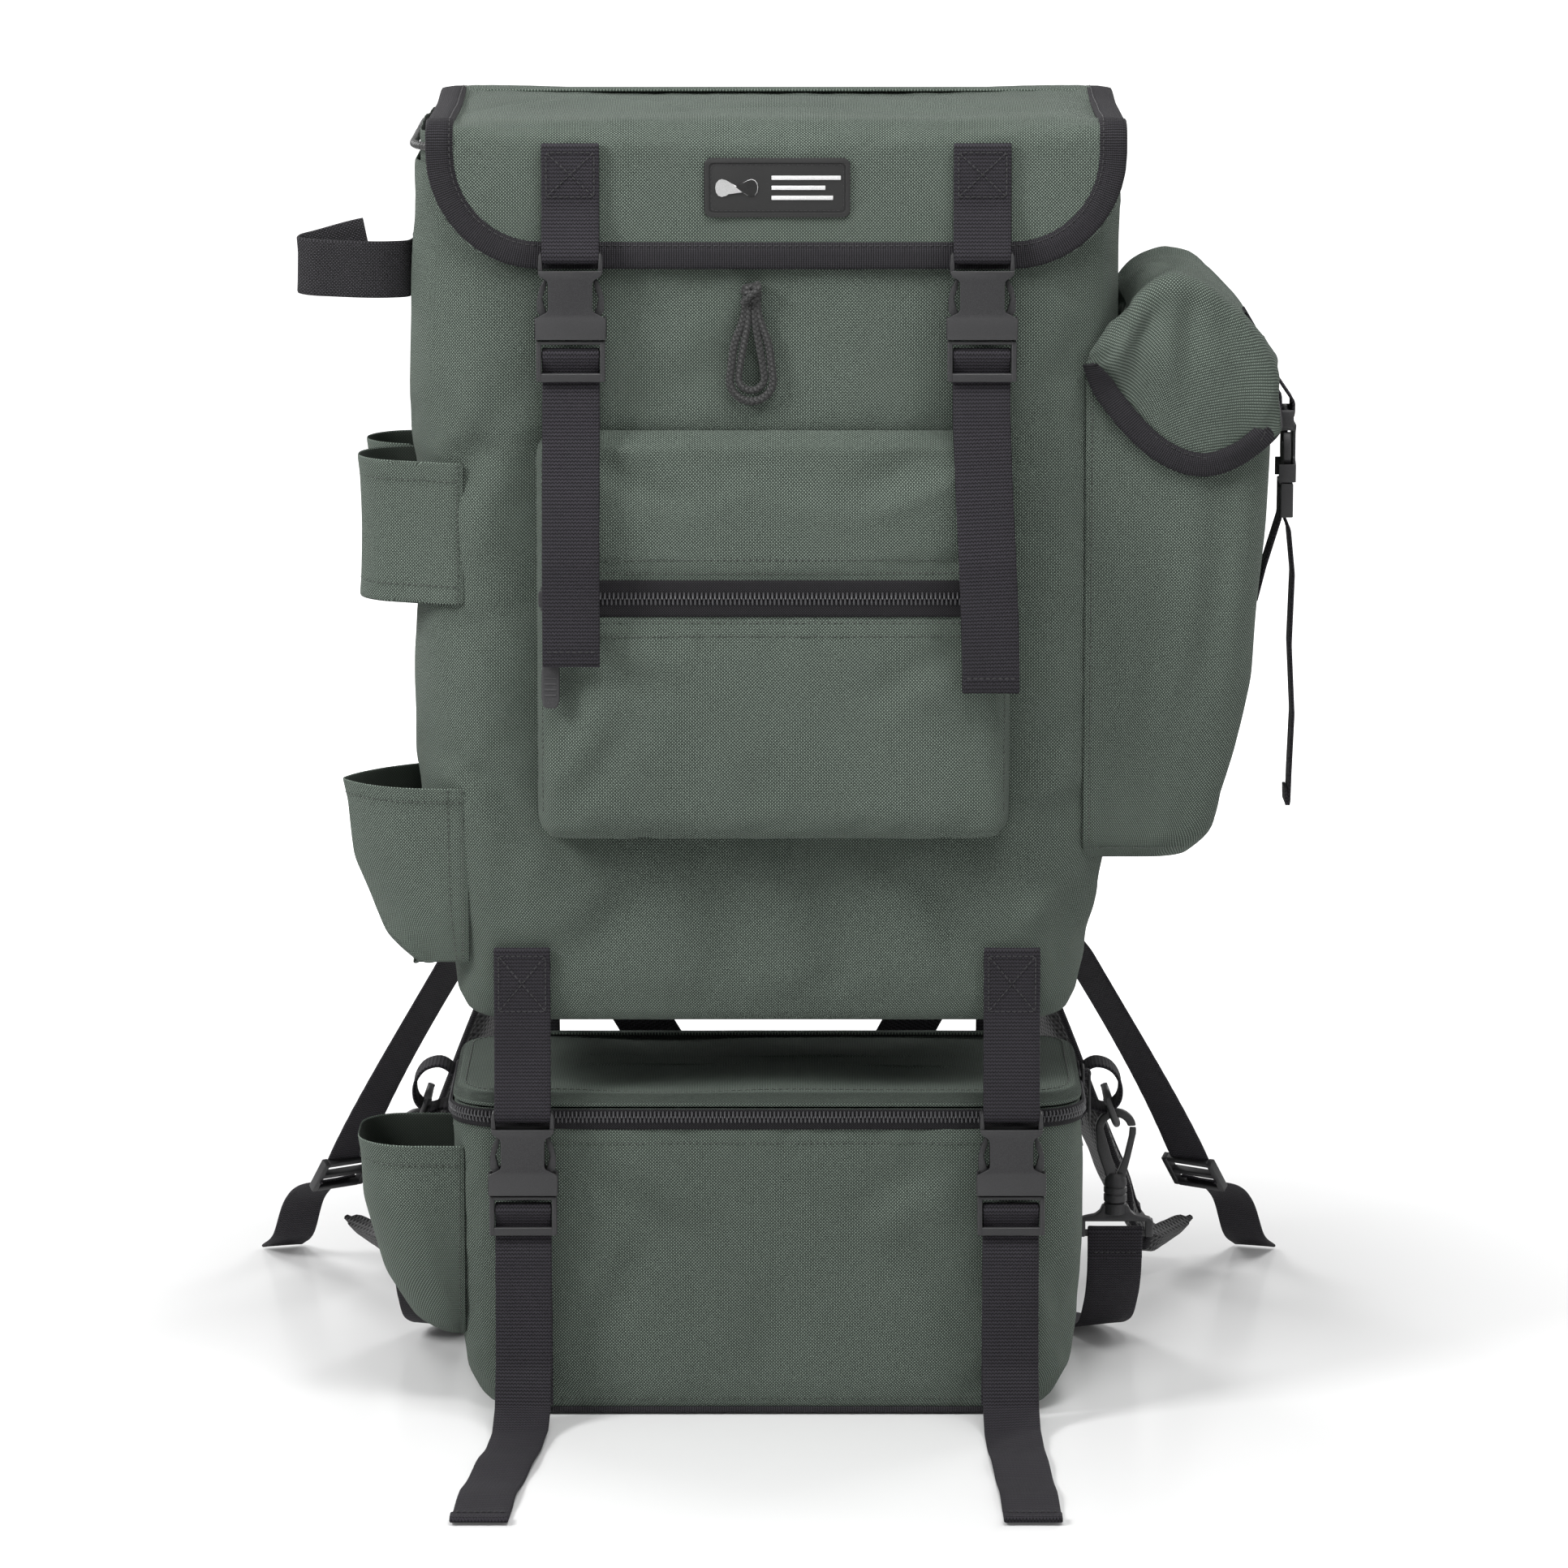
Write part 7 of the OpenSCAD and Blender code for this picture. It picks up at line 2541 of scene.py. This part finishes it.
# Name, place, point it is aimed at, width and height in metres, and power in watts.
LAMPS = [
    ("key_left", (-1.5, -0.95, 1.5), (0, -0.05, 0.55), 0.6, 0.7, 30),
    ("fill_right", (1.9, -1.6, 0.9), (0, 0, 0.4), 0.8, 1.2, 6),
    ("top_soft", (0.25, -0.7, 1.7), (0, -0.1, 0.55), 1.0, 0.6, 17),
    ("rear_left", (-1.6, 1.9, 1.6), (0, 0.1, 0.35), 1.2, 1.2, 30),
    ("rear_right", (1.7, 2.0, 1.3), (0, 0.1, 0.35), 1.0, 1.2, 22),
]
LENS_MM = 164.0
CAMERA_PITCH_DEG = 10.5
CAMERA_DISTANCE = 3.78
AIM_X, AIM_Z = 0.009, 0.345


def studio():
    """Pale floor, soft lamps and the camera, in metres."""
    half = FLOOR_HALF
    mesh = bpy.data.meshes.new("studio_floor")
    mesh.from_pydata(
        [(-half, -half, 0), (half, -half, 0), (half, half, 0), (-half, half, 0)], [], [(0, 1, 2, 3)]
    )
    mesh.materials.append(floor_material())
    floor = bpy.data.objects.new("studio_floor", mesh)
    bpy.context.scene.collection.objects.link(floor)

    def lamp(name, place, aim, width, height, power):
        light = bpy.data.lights.new(name, "AREA")
        light.shape = "RECTANGLE"
        light.size = width
        light.size_y = height
        light.energy = power
        made = bpy.data.objects.new(name, light)
        made.location = place
        made.rotation_euler = (Vector(aim) - Vector(place)).to_track_quat("-Z", "Y").to_euler()
        bpy.context.scene.collection.objects.link(made)

    for name, place, aim, width, height, power in LAMPS:
        lamp(name, place, aim, width, height, power)
    world = bpy.data.worlds.new("studio")
    world.use_nodes = True
    tree = world.node_tree
    background = tree.nodes["Background"]
    background.inputs[0].default_value = (1, 1, 1, 1)
    seen = tree.nodes.new("ShaderNodeLightPath").outputs["Is Camera Ray"]
    level = tree.nodes.new("ShaderNodeMapRange")
    tree.links.new(seen, level.inputs[0])
    level.inputs[3].default_value = WORLD_LIGHT
    level.inputs[4].default_value = 1.0
    tree.links.new(level.outputs[0], background.inputs[1])
    bpy.context.scene.world = world
    bpy.context.scene.view_settings.view_transform = "Standard"

    camera = bpy.data.objects.new("camera", bpy.data.cameras.new("camera"))
    camera.data.lens = LENS_MM
    front = box_mm("lower_shell")[0][1] * MM
    aim = Vector((AIM_X, front, AIM_Z))
    pitch = math.radians(CAMERA_PITCH_DEG)
    back_off = Vector((0, -CAMERA_DISTANCE * math.cos(pitch), CAMERA_DISTANCE * math.sin(pitch)))
    place = aim + back_off
    camera.location = place
    camera.rotation_euler = (aim - place).to_track_quat("-Z", "Y").to_euler()
    bpy.context.scene.collection.objects.link(camera)
    bpy.context.scene.camera = camera


studio()
